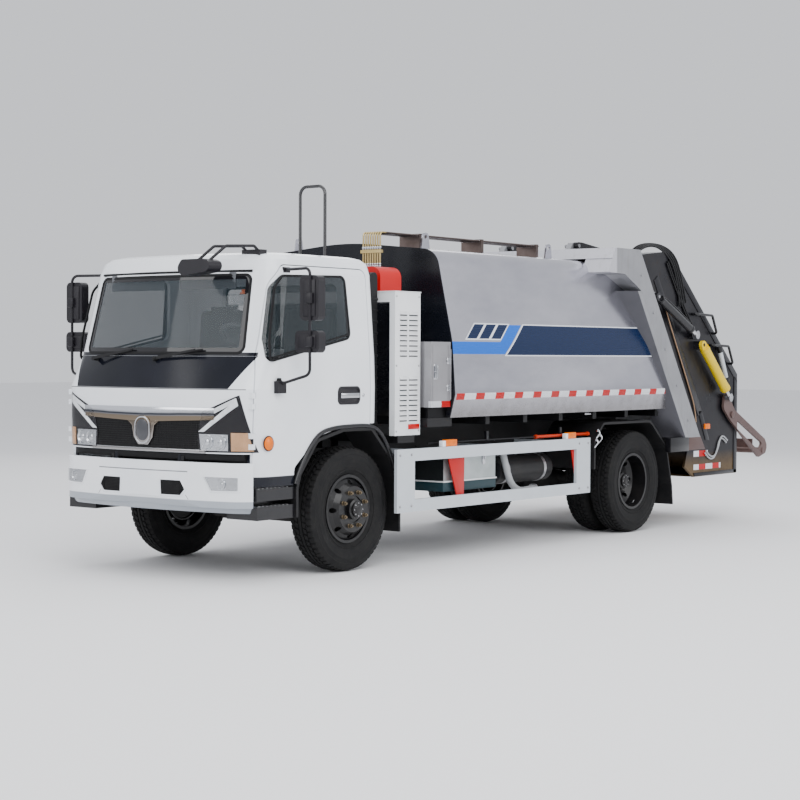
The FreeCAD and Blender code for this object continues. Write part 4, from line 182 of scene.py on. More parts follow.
def turned(name, axis, centre, profile, steps=48, closed=True):
    """A turned piece: a closed outline of (along, radius) points spun about an axis."""
    deselect()
    bpy.ops.mesh.primitive_circle_add(vertices=len(profile), fill_type="NOTHING")
    item = named(name)
    for vertex, (along, out) in zip(item.data.vertices, profile):
        vertex.co = on_axis(axis, centre, along, out) - item.location
    bpy.ops.object.mode_set(mode="EDIT")
    if not closed:
        mesh = bmesh.from_edit_mesh(item.data)
        mesh.edges.ensure_lookup_table()
        last = [edge for edge in mesh.edges if {v.index for v in edge.verts} == {0, len(profile) - 1}]
        bmesh.ops.delete(mesh, geom=last, context="EDGES_FACES")
        bmesh.update_edit_mesh(item.data)
    bpy.ops.mesh.select_all(action="SELECT")
    bpy.ops.mesh.spin(steps=steps, angle=math.tau, center=centre, axis=AXES[axis])
    bpy.ops.object.mode_set(mode="OBJECT")
    return outward(item)


def sheet_plate(name, axis, level, outline, thickness, edge=0.0, segments=2):
    """A flat plate: an outline on a plane square to an axis, given a thickness."""
    deselect()
    bpy.ops.mesh.primitive_circle_add(vertices=len(outline), fill_type="NGON")
    item = named(name)
    for vertex, (u, v) in zip(item.data.vertices, outline):
        vertex.co = {"X": (level, u, v), "Y": (u, level, v), "Z": (u, v, level)}[axis]
    bpy.ops.object.mode_set(mode="EDIT")
    if thickness:
        bpy.ops.mesh.select_all(action="SELECT")
        bpy.ops.mesh.extrude_region_move(TRANSFORM_OT_translate={"value": AXES[axis] * thickness})
        bpy.ops.mesh.select_all(action="SELECT")
        bpy.ops.mesh.normals_make_consistent(inside=False)
    bpy.ops.object.mode_set(mode="OBJECT")
    if edge:
        round_edges(item, edge, segments)
    return item


def plan_front(front, half, bow, corner, x):
    """Where a bowed front with round corners lies behind the front axle, at a distance from the middle."""
    reach = half - corner
    centre = front + bow - math.sqrt((bow - corner) ** 2 - reach ** 2)
    start = reach * bow / (bow - corner)
    offset = abs(x)
    if offset <= start:
        return front + bow - math.sqrt(bow ** 2 - offset ** 2)
    inside = min(offset - reach, corner * 0.985)
    return centre - math.sqrt(corner ** 2 - inside ** 2)


def cab_front(x, z, proud=0.0):
    """Where the cab's front face lies along the truck, with a distance proud of it."""
    for lower, upper in zip(CAB_LEVELS, CAB_LEVELS[1:]):
        if z <= upper[0] or upper is CAB_LEVELS[-1]:
            share = (z - lower[0]) / (upper[0] - lower[0])
            front, half, bow, corner = [a + (b - a) * share for a, b in zip(lower[1:], upper[1:])]
            break
    return behind(plan_front(front - proud, half + proud, bow + proud, corner + proud, x))


def bumper_front(x, z, proud=0.0):
    """Where the bumper's face lies along the truck; its lower lip slants back."""
    slant = max(0.0, 0.632 - z) * 0.556
    return behind(plan_front(-1.310 - proud, 1.010 + proud, 4.5 + proud, 0.25 + proud, x)) + slant


def follow(item, face, proud, thickness, spacing=0.05, edge=0.0):
    """Bends a flat piece (drawn at Y 0) to a bowed face and gives it a thickness."""
    us = [vertex.co.x for vertex in item.data.vertices]
    cut_across(item, "X", min(us), max(us), spacing)
    thicken(item, (0, thickness, 0))
    for vertex in item.data.vertices:
        vertex.co.y += face(vertex.co.x, vertex.co.z, proud)
    outward(item)
    return round_edges(item, edge, 2) if edge else item


def front_plate(name, face, outline, proud, thickness, edge=0.0, spacing=0.05):
    """A plate on a bowed front face, its outer side proud of it."""
    return follow(sheet_plate(name, "Y", 0, outline, 0), face, proud, thickness, spacing, edge)


def cut_across(item, axis, low, high, spacing):
    """Cuts a flat piece by even lines square to an axis, so that it can bend."""
    activate(item)
    count = max(2, round((high - low) / spacing))
    bpy.ops.object.mode_set(mode="EDIT")
    for step in range(1, count):
        bpy.ops.mesh.select_all(action="SELECT")
        bpy.ops.mesh.bisect(plane_co=AXES[axis] * (low + (high - low) * step / count), plane_no=AXES[axis])
    bpy.ops.object.mode_set(mode="OBJECT")
    return item


def thicken(item, move):
    activate(item)
    bpy.ops.object.mode_set(mode="EDIT")
    bpy.ops.mesh.select_all(action="SELECT")
    bpy.ops.mesh.extrude_region_move(TRANSFORM_OT_translate={"value": move})
    bpy.ops.object.mode_set(mode="OBJECT")
    return item


def copies(item, moves):
    """The piece and its copies, each with its own mesh, joined into one."""
    made = [item]
    for move in moves:
        twin = item.copy()
        twin.data = item.data.copy()
        twin.data.transform(move)
        bpy.context.collection.objects.link(twin)
        made.append(twin)
    return joined(item.name, made)


def joined(name, pieces):
    deselect()
    for piece in pieces:
        piece.select_set(True)
    bpy.context.view_layer.objects.active = pieces[0]
    bpy.ops.object.join()
    return named(name)


def mirrored(item, name):
    """A copy of a piece on the other side of the truck's middle."""
    twin = item.copy()
    twin.data = item.data.copy()
    twin.data.transform(Matrix.Scale(-1, 4, (1, 0, 0)))
    twin.name = name
    twin.data.name = name
    bpy.context.collection.objects.link(twin)
    return outward(twin)


def in_row(item, step, count):
    """A row of copies of the piece, each moved on by the same step."""
    return copies(item, [Matrix.Translation(Vector(step) * index) for index in range(1, count)])


def slab(name, xs, ys, zs, edge=0.003, segments=2):
    """A block between two places on each axis; those along the truck count from the front axle."""
    low, high = zip(xs, (behind(y) for y in ys), zs)
    return block(name, low, high, edge, segments)


def side_view(points):
    """Points of a side view, given by their distance behind the front axle and their height."""
    return [(behind(y), z) for y, z in points]


def along_truck(points):
    """Points in space whose second number counts from the front axle."""
    return [(x, behind(y), z) for x, y, z in points]


def both_sides(item, name):
    """The piece and its mirror copy as one piece."""
    return joined(name, [item, mirrored(item, name + "_twin")])


def pipe(name, points, radius, sides=10, smooth_steps=6):
    """A bent tube through the given points, swept from a spline and turned into a mesh."""
    deselect()
    bpy.ops.curve.primitive_nurbs_path_add()
    item = bpy.context.object
    line = item.data
    line.splines.clear()
    spline = line.splines.new("NURBS")
    spline.points.add(len(points) - 1)
    for point, place in zip(spline.points, points):
        point.co = (*place, 1)
    spline.order_u = 3
    spline.use_endpoint_u = True
    line.resolution_u = smooth_steps
    line.dimensions = "3D"
    line.bevel_depth = radius
    line.bevel_resolution = max(1, sides // 4)
    line.use_fill_caps = True
    item.location = (0, 0, 0)
    activate(item)
    bpy.ops.object.convert(target="MESH")
    return outward(named(name))


def bolts(name, places, axis, radius=0.011, height=0.008, sides=6):
    """Bolt heads with washers, each standing on a face and pointing along an axis."""
    way = Vector(axis)
    made = []
    for index, place in enumerate(places):
        base = Vector(place)
        washer = rod("%s_washer_%d" % (name, index), base - way * 0.001, base + way * 0.002, radius * 1.35,
                     14)
        head = rod("%s_head_%d" % (name, index), base + way * 0.001, base + way * height, radius, sides,
                   0.0012)
        made += [washer, head]
    return joined(name, made)


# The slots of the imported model, each with the finishes that belong to it

SLOTS = {
    "black_plastic": ("grey_hose", "hose", "mesh", "mirror_plastic", "plastic", "rubber", "trim"),
    "cabinet_grey": ("cabinet",),
    "chassis_paint": ("black", "chassis", "gate_black", "teal"),
    "cylinder_yellow": ("yellow",),
    "guard_grey": ("guard",),
    "lamp_glass": ("amber", "clear", "lamp_red", "light", "turn"),
    "lifter_paint": ("arm",),
    "pipe_steel": ("badge", "bar_chrome", "chrome", "copper", "mirror", "nut", "plain_steel", "polished",
                   "reflector"),
    "rim_paint": ("rim",),
    "seat_cloth": ("cloth",),
    "stainless": ("flank", "gate_trim", "ring"),
    "tyre_rubber": ("tyre",),
    "valve_red": ("orange", "red"),
    "white_paint": ("bumper", "light_strip", "white"),
    "worn_steel": ("worn",),
}
SLOT_OF = {key: slot for slot, keys in SLOTS.items() for key in keys}


def finish(item, body, key, slot=None, angle=35):
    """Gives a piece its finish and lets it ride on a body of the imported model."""
    slot = slot or SLOT_OF[key]
    item.data.materials.clear()
    item.data.materials.append(material(key))
    smooth(item, angle)
    deselect()
    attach(item, body)
    return item


def pair(item, body, key, slot=None, angle=35):
    """Finishes a piece together with its mirror copy on the truck's other side."""
    return finish(both_sides(item, item.name), body, key, slot, angle)


# Shader maths

class Wire:
    """A shader value that adds its own maths nodes when it is used in an expression."""

    def __init__(self, paint, socket):
        self.paint = paint
        self.socket = socket

    def maths(self, operation, *values):
        return self.paint.add("ShaderNodeMath", {"operation": operation}, *values)

    def __add__(self, other):
        return self.maths("ADD", self, other)

    __radd__ = __add__

    def __sub__(self, other):
        return self.maths("SUBTRACT", self, other)

    def __rsub__(self, other):
        return self.maths("SUBTRACT", other, self)

    def __mul__(self, other):
        return self.maths("MULTIPLY", self, other)

    __rmul__ = __mul__

    def __truediv__(self, other):
        return self.maths("DIVIDE", self, other)

    def __pow__(self, other):
        return self.maths("POWER", self, other)

    def __gt__(self, other):
        return self.maths("GREATER_THAN", self, other)

    def __lt__(self, other):
        return self.maths("LESS_THAN", self, other)

    def __abs__(self):
        return self.maths("ABSOLUTE", self)

    def low(self, other):
        return self.maths("MINIMUM", self, other)

    def high(self, other):
        return self.maths("MAXIMUM", self, other)

    def fraction(self):
        return self.maths("FRACT", self)

    def ramp(self, start, end):
        """0 before start, 1 after end and a straight rise between them."""
        return self.paint.add("ShaderNodeMapRange", {"clamp": True}, self, start, end, 0.0, 1.0)


class Paint:
    """One material under construction."""

    def __init__(self, name, **values):
        self.material = bpy.data.materials.new(name)
        self.material.use_nodes = True
        self.nodes = self.material.node_tree.nodes
        self.links = self.material.node_tree.links
        self.shader = self.nodes["Principled BSDF"]
        self.place = self.add("ShaderNodeTexCoord", {}, output="Object")
        for key, value in values.items():
            self.shader.inputs[key.replace("_", " ")].default_value = value

    def add(self, kind, settings, *values, output=0, **sockets):
        """Any node: its settings first, then the values or links of its sockets in order or by name."""
        node = self.nodes.new(kind)
        for key, value in settings.items():
            if key == "stops":
                ramp = node.color_ramp
                while len(ramp.elements) < len(value):
                    ramp.elements.new(0.5)
                for element, (position, colour) in zip(ramp.elements, value):
                    element.position = position
                    element.color = colour
            else:
                setattr(node, key, value)
        named_sockets = [(key.replace("_", " "), value) for key, value in sockets.items()]
        for key, value in list(enumerate(values)) + named_sockets:
            self.plug(node.inputs[key], value)
        return Wire(self, node.outputs[output])

    def plug(self, socket, value):
        if isinstance(value, Wire):
            self.links.new(value.socket, socket)
        elif value is not None:
            socket.default_value = value

    def axes(self):
        parts = self.nodes.new("ShaderNodeSeparateXYZ")
        self.links.new(self.place.socket, parts.inputs[0])
        return [Wire(self, parts.outputs[index]) for index in range(3)]

    def noise(self, scale, detail=3.0, roughness=0.5, stretch=None):
        place = self.place
        if stretch is not None:
            place = self.add("ShaderNodeMapping", {}, place, Scale=stretch)
        return self.add("ShaderNodeTexNoise", {}, Vector=place, Scale=scale, Detail=detail,
                        Roughness=roughness, output="Fac")

    def blend(self, share, first, second):
        """A colour between two others."""
        node = self.nodes.new("ShaderNodeMix")
        node.data_type = "RGBA"
        self.plug(node.inputs["Factor"], share)
        self.plug(node.inputs[6], first)
        self.plug(node.inputs[7], second)
        return Wire(self, node.outputs[2])

    def mottle(self, cloud, first, second, low=0.3, high=0.7):
        """Two tones that run into each other in clouds."""
        return self.blend(cloud.ramp(low, high), first, second)

    def orange_peel(self, strength):
        """The fine waves of sprayed paint."""
        return self.bump(self.noise(420.0, 2.0, 0.5), strength, 0.001)

    def bump(self, height, strength, distance):
        return self.add("ShaderNodeBump", {}, Height=height, Strength=strength, Distance=distance,
                        output="Normal")

    def set(self, **wires):
        for key, value in wires.items():
            self.plug(self.shader.inputs[key.replace("_", " ")], value)
        return self


def rgb(red, green, blue):
    return (red, green, blue, 1.0)


DUST = rgb(0.12, 0.108, 0.095)
GLOSS_BLACK = rgb(0.006, 0.006, 0.008)
DEEP_BLACK = rgb(0.006, 0.006, 0.007)
TAPE_RED = rgb(0.52, 0.0, 0.002)
TAPE_PITCH = 0.29


def body_paint(name, colour, roughness=0.28, coat=0.6, dust=0.35, dust_top=1.1, metallic=0.0, shift=0.025):
    """Sprayed paint: faint unevenness of tone, orange peel under a clear coat and road dust low down."""
    paint = Paint(name, Coat_Weight=coat, Coat_Roughness=0.06, Metallic=metallic, Specular_IOR_Level=0.3)
    z = paint.axes()[2]
    broad = paint.noise(2.2, 4.0, 0.55)
    fine = paint.noise(60.0, 3.0, 0.6)
    darker = rgb(*[max(0.0, value * (1 - shift * 3)) for value in colour[:3]])
    tone = paint.blend(broad.ramp(0.35, 0.65), darker, colour)
    grime = (1 - z.ramp(0.35, dust_top)) * paint.noise(7.0, 5.0, 0.6).ramp(0.38, 0.72) * dust
    paint.set(Base_Color=paint.blend(grime, tone, DUST),
              Roughness=(broad * 0.06 + fine * 0.03 + (roughness - 0.045) + grime * 0.4).low(0.95),
              Normal=paint.orange_peel(0.045))
    return paint


def worn_metal(name, colour, roughness=0.42, metallic=0.85, stretch=(1, 1, 1), scale=30.0, stain=None,
               strength=0.12):
    """Bare or thinly painted metal with brushed grain, stains and scuffs."""
    paint = Paint(name, Metallic=metallic)
    grain = paint.noise(scale * 6, 4.0, 0.6, stretch)
    cloud = paint.noise(scale / 14, 5.0, 0.6)
    spots = paint.noise(scale, 6.0, 0.7).ramp(0.58, 0.72)
    stained = stain or rgb(*[value * 0.62 for value in colour[:3]])
    tone = paint.blend(cloud.ramp(0.3, 0.7) * 0.6, colour, stained)
    paint.set(Base_Color=paint.blend(spots * 0.35, tone, rgb(*[value * 0.5 for value in colour[:3]])),
              Roughness=(grain * 0.14 + cloud * 0.16 + (roughness - 0.15)).low(0.95),
              Normal=paint.bump(grain, strength, 0.001))
    return paint


def moulded(name, colour, roughness=0.55, grain=520.0, strength=0.15, dust=0.08, coat=0.0):
    """Moulded plastic or rubber: fine leathery grain and dust that lies low."""
    paint = Paint(name, Coat_Weight=coat, Coat_Roughness=0.1, Specular_IOR_Level=0.3)
    z = paint.axes()[2]
    cloud = paint.noise(5.0, 4.0, 0.55)
    grime = (1 - z.ramp(0.3, 1.6)) * paint.noise(11.0, 5.0, 0.6).ramp(0.4, 0.75) * dust
    paler = rgb(*[min(1.0, value * 1.5 + 0.001) for value in colour[:3]])
    tone = paint.blend(cloud.ramp(0.35, 0.7) * 0.5, colour, paler)
    cells = paint.add("ShaderNodeTexVoronoi", {"feature": "F1"}, Vector=paint.place, Scale=grain,
                      output="Distance")
    paint.set(Base_Color=paint.blend(grime, tone, DUST),
              Roughness=(cloud * 0.12 + (roughness - 0.06) + grime * 0.3).low(0.98),
              Normal=paint.bump(cells, strength, 0.0008))
    return paint


def band(value, low, high, soft=0.0015):
    """1 between two values and 0 outside them, with a hair's width of softness."""
    return value.ramp(low - soft, low + soft) * (1 - value.ramp(high - soft, high + soft))


def tape_colour(paint, along, share):
    """Red and white reflecting tape, with the small cells of its foil."""
    step = (along / TAPE_PITCH).fraction()
    cells = paint.add("ShaderNodeTexVoronoi", {"feature": "DISTANCE_TO_EDGE"}, Vector=paint.place,
                      Scale=260.0, output="Distance").ramp(0.02, 0.12)
    white = paint.blend(cells, rgb(0.50, 0.52, 0.55), rgb(0.76, 0.78, 0.82))
    red = paint.blend(cells, rgb(0.30, 0.0, 0.001), TAPE_RED)
    return paint.blend(band(step, 0.0, share, 0.004), white, red)


# The finishes of this truck

def cab_paint():
    paint = Paint("cab_paint", Coat_Roughness=0.05, Specular_IOR_Level=0.25)
    x, y, z = paint.axes()
    broad = paint.noise(1.8, 4.0, 0.55)
    white = paint.mottle(broad, rgb(0.80, 0.83, 0.87), rgb(0.86, 0.885, 0.92), 0.35, 0.65)
    grime = (1 - z.ramp(0.6, 1.25)) * paint.noise(6.0, 5.0, 0.6).ramp(0.42, 0.75) * 0.08
    white = paint.blend(grime, white, DUST)
    side = abs(x)
    slope = 0.80 + (z - 1.43).high(0.0) * 0.55
    middle = side < 0.93
    front = y < behind(-0.9)
    panel = band(z, 1.432, 1.672) * (side < slope) * front
    frame_edge = band(z, 1.672, 1.70) * middle * front
    dark = panel.high(frame_edge)
    tint = paint.mottle(paint.noise(3.0), rgb(0.004, 0.005, 0.009), rgb(0.008, 0.009, 0.015))
    sill = (1 - z.ramp(0.785, 0.789)) * (y > behind(-1.12))
    # Painted shade: the white lugs low in the front's middle are darkened, so the gap behind the bumper reads
    # as shade.
    under = (z < 0.9535) * middle * (y < behind(-1.0))
    dark = dark.high(sill).high(under)
    colour = paint.blend(dark, white, tint)
    seam = band(z, 1.425, 1.431, 0.0008) * middle * (y < behind(-0.95))
    paint.set(Base_Color=paint.blend(seam, colour, rgb(0.02, 0.02, 0.02)),
              Roughness=(broad * 0.05 + paint.noise(55.0) * 0.03 + 0.18 - dark * 0.06 + grime).high(0.06),
              Coat_Weight=(1 - dark) * 0.35,
              Normal=paint.orange_peel(0.035))
    return paint


def container_steel():
    """Mirror-bright sheet with the blue bands, the dark front end and the reflecting tape along the side."""
    paint = Paint("container_steel", Specular_IOR_Level=0.25)
    x, y, z = paint.axes()
    back = y - FRONT_AXLE_Y
    side = abs(x) > 1.02
    brush = paint.noise(90.0, 4.0, 0.65, (1.0, 0.04, 1.0))
    cloud = paint.noise(1.1, 5.0, 0.6, (1.0, 0.6, 1.6))
    sheet = paint.mottle(cloud, rgb(0.45, 0.45, 0.50), rgb(0.62, 0.615, 0.67))
    # Painted shade: the bright sheet darkens smoothly to grey towards its foot.
    sheet = paint.blend((1 - z.ramp(1.20, 1.42)) * 0.75, sheet, rgb(0.22, 0.21, 0.21))
    front_end = (back < 1.150) + 0.0
    navy = rgb(0.0015, 0.012, 0.050)
    sky = rgb(0.004, 0.115, 0.55)
    slope = back - (z - 1.68) * 1.2
    top, sky_foot, sky_end, stripe_end = 1.948, 1.696, 1.888, 4.60
    rim_top = top + 0.010
    wide = band(z, 1.690, top) * band(slope, 1.923, stripe_end)
    low_band = band(z, sky_foot, 1.800) * band(slope, 0.90, sky_end)
    rise = band(z, sky_foot, top) * band(slope, 1.703, sky_end)
    first, second, third = band(slope, 1.187, 1.329), band(slope, 1.364, 1.506), band(slope, 1.541, 1.683)
    bars = band(z, 1.826, top) * first.high(second).high(third)
    wide_rim = band(z, 1.680, rim_top) * band(slope, 1.900, stripe_end)
    bars_rim = band(z, 1.816, rim_top) * band(slope, 1.170, 1.70)
    outline = wide_rim.high(bars_rim) * (1 - wide)
    colour = paint.blend(outline * side, sheet, rgb(0.70, 0.72, 0.76))
    colour = paint.blend(low_band.high(rise) * side, colour, sky)
    colour = paint.blend(wide.high(bars) * side, colour, navy)
    tape = band(z, 1.318, 1.372) * band(back, 1.17, 4.66) * side
    colour = paint.blend(tape, colour, tape_colour(paint, back, 0.44))
    black = paint.mottle(paint.noise(2.0), rgb(0.003, 0.004, 0.007), rgb(0.007, 0.008, 0.013))
    colour = paint.blend(front_end, colour, black)
    coloured = (low_band.high(rise).high(wide).high(bars).high(outline).high(tape)) * side
    painted = coloured.high(front_end)
    dirt = (1 - z.ramp(1.17, 1.45)) * paint.noise(8.0, 5.0, 0.6).ramp(0.4, 0.7) * 0.35
    paint.set(Base_Color=paint.blend(dirt, colour, DUST),
              Metallic=(1 - painted) * 0.95,
              Roughness=(brush * 0.10 + cloud * 0.10 + 0.12 + painted * 0.05 + dirt * 0.4).low(0.9),
              Normal=paint.bump(brush, 0.03, 0.001))
    return paint


def tyre_rubber():
    paint = Paint("tyre_rubber", Specular_IOR_Level=0.2)
    cloud = paint.noise(9.0, 5.0, 0.6)
    dust = paint.noise(26.0, 4.0, 0.65).ramp(0.45, 0.75) * 0.35
    tone = paint.mottle(cloud, rgb(0.005, 0.005, 0.006), rgb(0.011, 0.011, 0.011))
    grain = paint.noise(380.0, 3.0, 0.6)
    paint.set(Base_Color=paint.blend(dust, tone, rgb(0.032, 0.030, 0.028)),
              Roughness=(cloud * 0.12 + 0.62 + dust * 0.3).low(0.97), Normal=paint.bump(grain, 0.25, 0.0008))
    return paint


def gate_steel():
    """Dark stained hopper steel that still shines, browner and duller low down."""
    paint = Paint("gate_steel", Specular_IOR_Level=0.3)
    x, y, z = paint.axes()
    back = y - FRONT_AXLE_Y
    brush = paint.noise(70.0, 4.0, 0.65, (1.0, 1.0, 0.06))
    cloud = paint.noise(2.4, 5.0, 0.65)
    low = 1 - z.ramp(0.56, 0.72)
    dark = paint.mottle(cloud, rgb(0.006, 0.006, 0.009), rgb(0.018, 0.017, 0.020), 0.35, 0.7)
    brown = paint.mottle(cloud, rgb(0.085, 0.052, 0.022), rgb(0.16, 0.105, 0.05))
    colour = paint.blend(low, dark, brown)
    side = abs(x) > 1.0
    upper_tape = band(z, 0.668, 0.728) * band(back, 5.40, 5.70)
    lower_tape = band(z, 0.535, 0.590) * band(back, 5.40, 5.98)
    tape = upper_tape.high(lower_tape) * side
    colour = paint.blend(tape, colour, tape_colour(paint, back, 0.5))
    spots = paint.noise(24.0, 6.0, 0.7).ramp(0.56, 0.72) * (1 - tape)
    paint.set(Base_Color=paint.blend(spots * 0.3, colour, rgb(0.06, 0.04, 0.025)),
              Metallic=(1 - tape) * (0.25 + low * 0.55),
              Roughness=(brush * 0.12 + cloud * 0.16 + 0.16 + spots * 0.25).low(0.9),
              Normal=paint.bump(brush, 0.05, 0.001))
    return paint


def ring_paint():
    paint = Paint("ring_paint", Coat_Weight=0.25, Coat_Roughness=0.15)
    x, y, z = paint.axes()
    back = y - FRONT_AXLE_Y
    cloud = paint.noise(2.6, 4.0, 0.6)
    grey = paint.mottle(cloud, rgb(0.24, 0.243, 0.26), rgb(0.31, 0.313, 0.33))
    ear = 1 - back.ramp(3.64, 3.66)
    grey = paint.blend(ear, grey, rgb(0.50, 0.50, 0.54))
    foot = (1 - z.ramp(0.872, 0.876))
    colour = paint.blend(foot, grey, GLOSS_BLACK)
    streaks = paint.noise(20.0, 5.0, 0.6, (1.0, 1.0, 0.12)).ramp(0.52, 0.75) * 0.3
    paint.set(Base_Color=paint.blend(streaks, colour, rgb(0.20, 0.185, 0.165)), Metallic=0.35,
              Roughness=(cloud * 0.12 + streaks * 0.3 + 0.28).low(0.9),
              Normal=paint.bump(paint.noise(300.0, 3.0), 0.05, 0.001))
    return paint


def window_glass():
    """Tinted glass with a black printed border."""
    paint = Paint("window_glass", Roughness=0.02, IOR=1.45, Specular_IOR_Level=0.6)
    x, y, z = paint.axes()
    border = (z > 2.245).high(z < 1.735).high(abs(x) > 0.745 + (2.3 - z) * 0.07) * (y < behind(-0.9))
    smear = paint.noise(3.0, 4.0, 0.6)
    paint.set(Base_Color=paint.blend(border, rgb(0.035, 0.05, 0.06), rgb(0.008, 0.008, 0.01)),
              Alpha=(border * 0.7 + smear * 0.05 + 0.28).low(1.0),
              Roughness=smear * 0.03 + 0.015)
    return paint


def side_glass():
    paint = Paint("side_glass", Roughness=0.02, IOR=1.45, Specular_IOR_Level=0.6)
    smear = paint.noise(3.0, 4.0, 0.6)
    x, y, z = paint.axes()
    edge = (1 - z.ramp(1.668, 1.672)).high((y > behind(-0.075)) + 0.0)
    paint.set(Base_Color=paint.blend(edge, rgb(0.03, 0.04, 0.045), rgb(0.008, 0.008, 0.01)),
              Alpha=(edge * 0.5 + smear * 0.05 + 0.45).low(1.0), Roughness=smear * 0.03 + 0.015)
    return paint


def lens(name, colour, roughness=0.08, alpha=1.0, glow=0.0):
    """Ribbed lamp plastic."""
    paint = Paint(name, IOR=1.49, Specular_IOR_Level=0.2, Coat_Weight=0.2, Coat_Roughness=0.03, Alpha=alpha,
                  Emission_Strength=glow)
    z = paint.axes()[2]
    ribs = (z * 160.0).fraction()
    shade = paint.noise(14.0).ramp(0.3, 0.7)
    tone = paint.blend(shade, colour, rgb(*[value * 0.72 for value in colour[:3]]))
    paint.set(Base_Color=tone, Emission_Color=tone, Roughness=shade * 0.05 + roughness,
              Normal=paint.bump(abs(ribs - 0.5), 0.25, 0.001))
    return paint


def seat_cloth():
    paint = Paint("seat_cloth", Sheen_Weight=0.3, Roughness=0.9)
    weave = paint.add("ShaderNodeTexWave", {"wave_type": "BANDS", "bands_direction": "DIAGONAL"},
                      Vector=paint.place, Scale=140.0, Distortion=1.5, output="Fac")
    cloud = paint.noise(6.0)
    tone = paint.blend(weave, rgb(0.035, 0.036, 0.042), rgb(0.085, 0.087, 0.098))
    paint.set(Base_Color=paint.blend(cloud.ramp(0.4, 0.7) * 0.4, tone, rgb(0.05, 0.05, 0.055)),
              Roughness=cloud * 0.1 + 0.82, Normal=paint.bump(weave, 0.4, 0.001))
    return paint


def pipe_paint():
    """Golden uprights behind the cab and brownish pipes along the roof."""
    paint = Paint("roof_pipes", Metallic=0.9)
    x, y, z = paint.axes()
    cloud = paint.noise(9.0, 4.0, 0.6)
    gold = paint.mottle(cloud, rgb(0.40, 0.30, 0.12), rgb(0.55, 0.44, 0.22))
    brown = paint.mottle(cloud, rgb(0.085, 0.062, 0.055), rgb(0.14, 0.11, 0.10))
    roof = (y > behind(0.86)) + 0.0
    paint.set(Base_Color=paint.blend(roof, gold, brown), Roughness=cloud * 0.15 + 0.28,
              Normal=paint.bump(paint.noise(160.0), 0.05, 0.001))
    return paint


def box_sheet():
    """Stamped bright sheet, dark on the box's front end."""
    paint = Paint("box_sheet", Metallic=0.75)
    x, y, z = paint.axes()
    cloud = paint.noise(4.0, 4.0, 0.6)
    bright = paint.mottle(cloud, rgb(0.36, 0.40, 0.40), rgb(0.52, 0.56, 0.56))
    front = (y < behind(1.155)) * (z < 0.95)
    studs = paint.add("ShaderNodeTexVoronoi", {"feature": "F1"}, Vector=paint.place, Scale=34.0,
                      output="Distance")
    relief = 1 - studs.ramp(0.10, 0.30)
    paint.set(Base_Color=paint.blend(front, bright, rgb(0.02, 0.024, 0.026)), Roughness=cloud * 0.15 + 0.26,
              Normal=paint.bump(relief, 0.35, 0.002))
    return paint


def cabinet_sheet():
    """Brushed sheet over black feet, with the tape along the cabinet's lower edge."""
    paint = Paint("cabinet_sheet", Metallic=0.6, Specular_IOR_Level=0.3)
    x, y, z = paint.axes()
    back = y - FRONT_AXLE_Y
    brush = paint.noise(120.0, 4.0, 0.65, (1.0, 1.0, 0.05))
    cloud = paint.noise(2.0, 4.0, 0.6)
    sheet = paint.mottle(cloud, rgb(0.27, 0.265, 0.28), rgb(0.37, 0.365, 0.38))
    tape = band(z, 1.262, 1.312) * (abs(x) > 1.09)
    sheet = paint.blend(tape * (back < 1.0), sheet, rgb(0.72, 0.74, 0.78))
    sheet = paint.blend(tape * (back > 1.0), sheet, TAPE_RED)
    foot = 1 - z.ramp(1.258, 1.262)
    paint.set(Base_Color=paint.blend(foot, sheet, DEEP_BLACK),
              Roughness=brush * 0.12 + 0.26, Normal=paint.bump(brush, 0.06, 0.001))
    return paint


def bumper_paint():
    """White, with the grey lip below, and thin shut lines."""
    paint = Paint("bumper_paint", Coat_Weight=0.3, Coat_Roughness=0.06, Specular_IOR_Level=0.35)
    x, y, z = paint.axes()
    side = abs(x)
    broad = paint.noise(2.0, 4.0, 0.55)
    white = paint.mottle(broad, rgb(0.80, 0.83, 0.87), rgb(0.87, 0.89, 0.92), 0.35, 0.65)
    lip = 1 - z.ramp(0.606, 0.612)
    colour = paint.blend(lip, white, rgb(0.34, 0.37, 0.41))
    slot = band(z, 0.814, 0.822, 0.001) * (side < 0.47)
    crease = band(side - (0.642 - z) * 0.75, 0.452, 0.458, 0.001) * (z < 0.645) * (z > 0.612)
    paint.set(Base_Color=paint.blend(slot.high(crease) * 0.8, colour, rgb(0.03, 0.035, 0.045)),
              Roughness=broad * 0.06 + 0.2, Normal=paint.orange_peel(0.035))
    return paint


def bar_chrome():
    """Bright plating with painted reflections: pale on top, a dark streak across the middle and a warm tone
    below.
    """
    paint = Paint("bar_chrome", Metallic=1.0)
    x, y, z = paint.axes()
    waver = paint.noise(3.0, 3.0, 0.5, (1.0, 1.0, 3.0)) * 0.012
    level = z - abs(x) * 0.02 + waver
    # Painted reflections: the plating's tone changes with height, pale above, dark across the middle and warm
    # below.
    top = paint.blend(level.ramp(1.225, 1.262), rgb(0.16, 0.15, 0.15), rgb(0.74, 0.76, 0.80))
    streak = band(level, 1.232, 1.246, 0.006)
    low = paint.blend(level.ramp(1.0, 1.2), rgb(0.34, 0.33, 0.33), rgb(0.17, 0.135, 0.10))
    colour = paint.blend((level < 1.225) + 0.0, top, low)
    paint.set(Base_Color=paint.blend(streak, colour, rgb(0.035, 0.04, 0.055)), Roughness=waver * 3.0 + 0.10,
              Normal=paint.bump(paint.noise(40.0), 0.02, 0.001))
    return paint


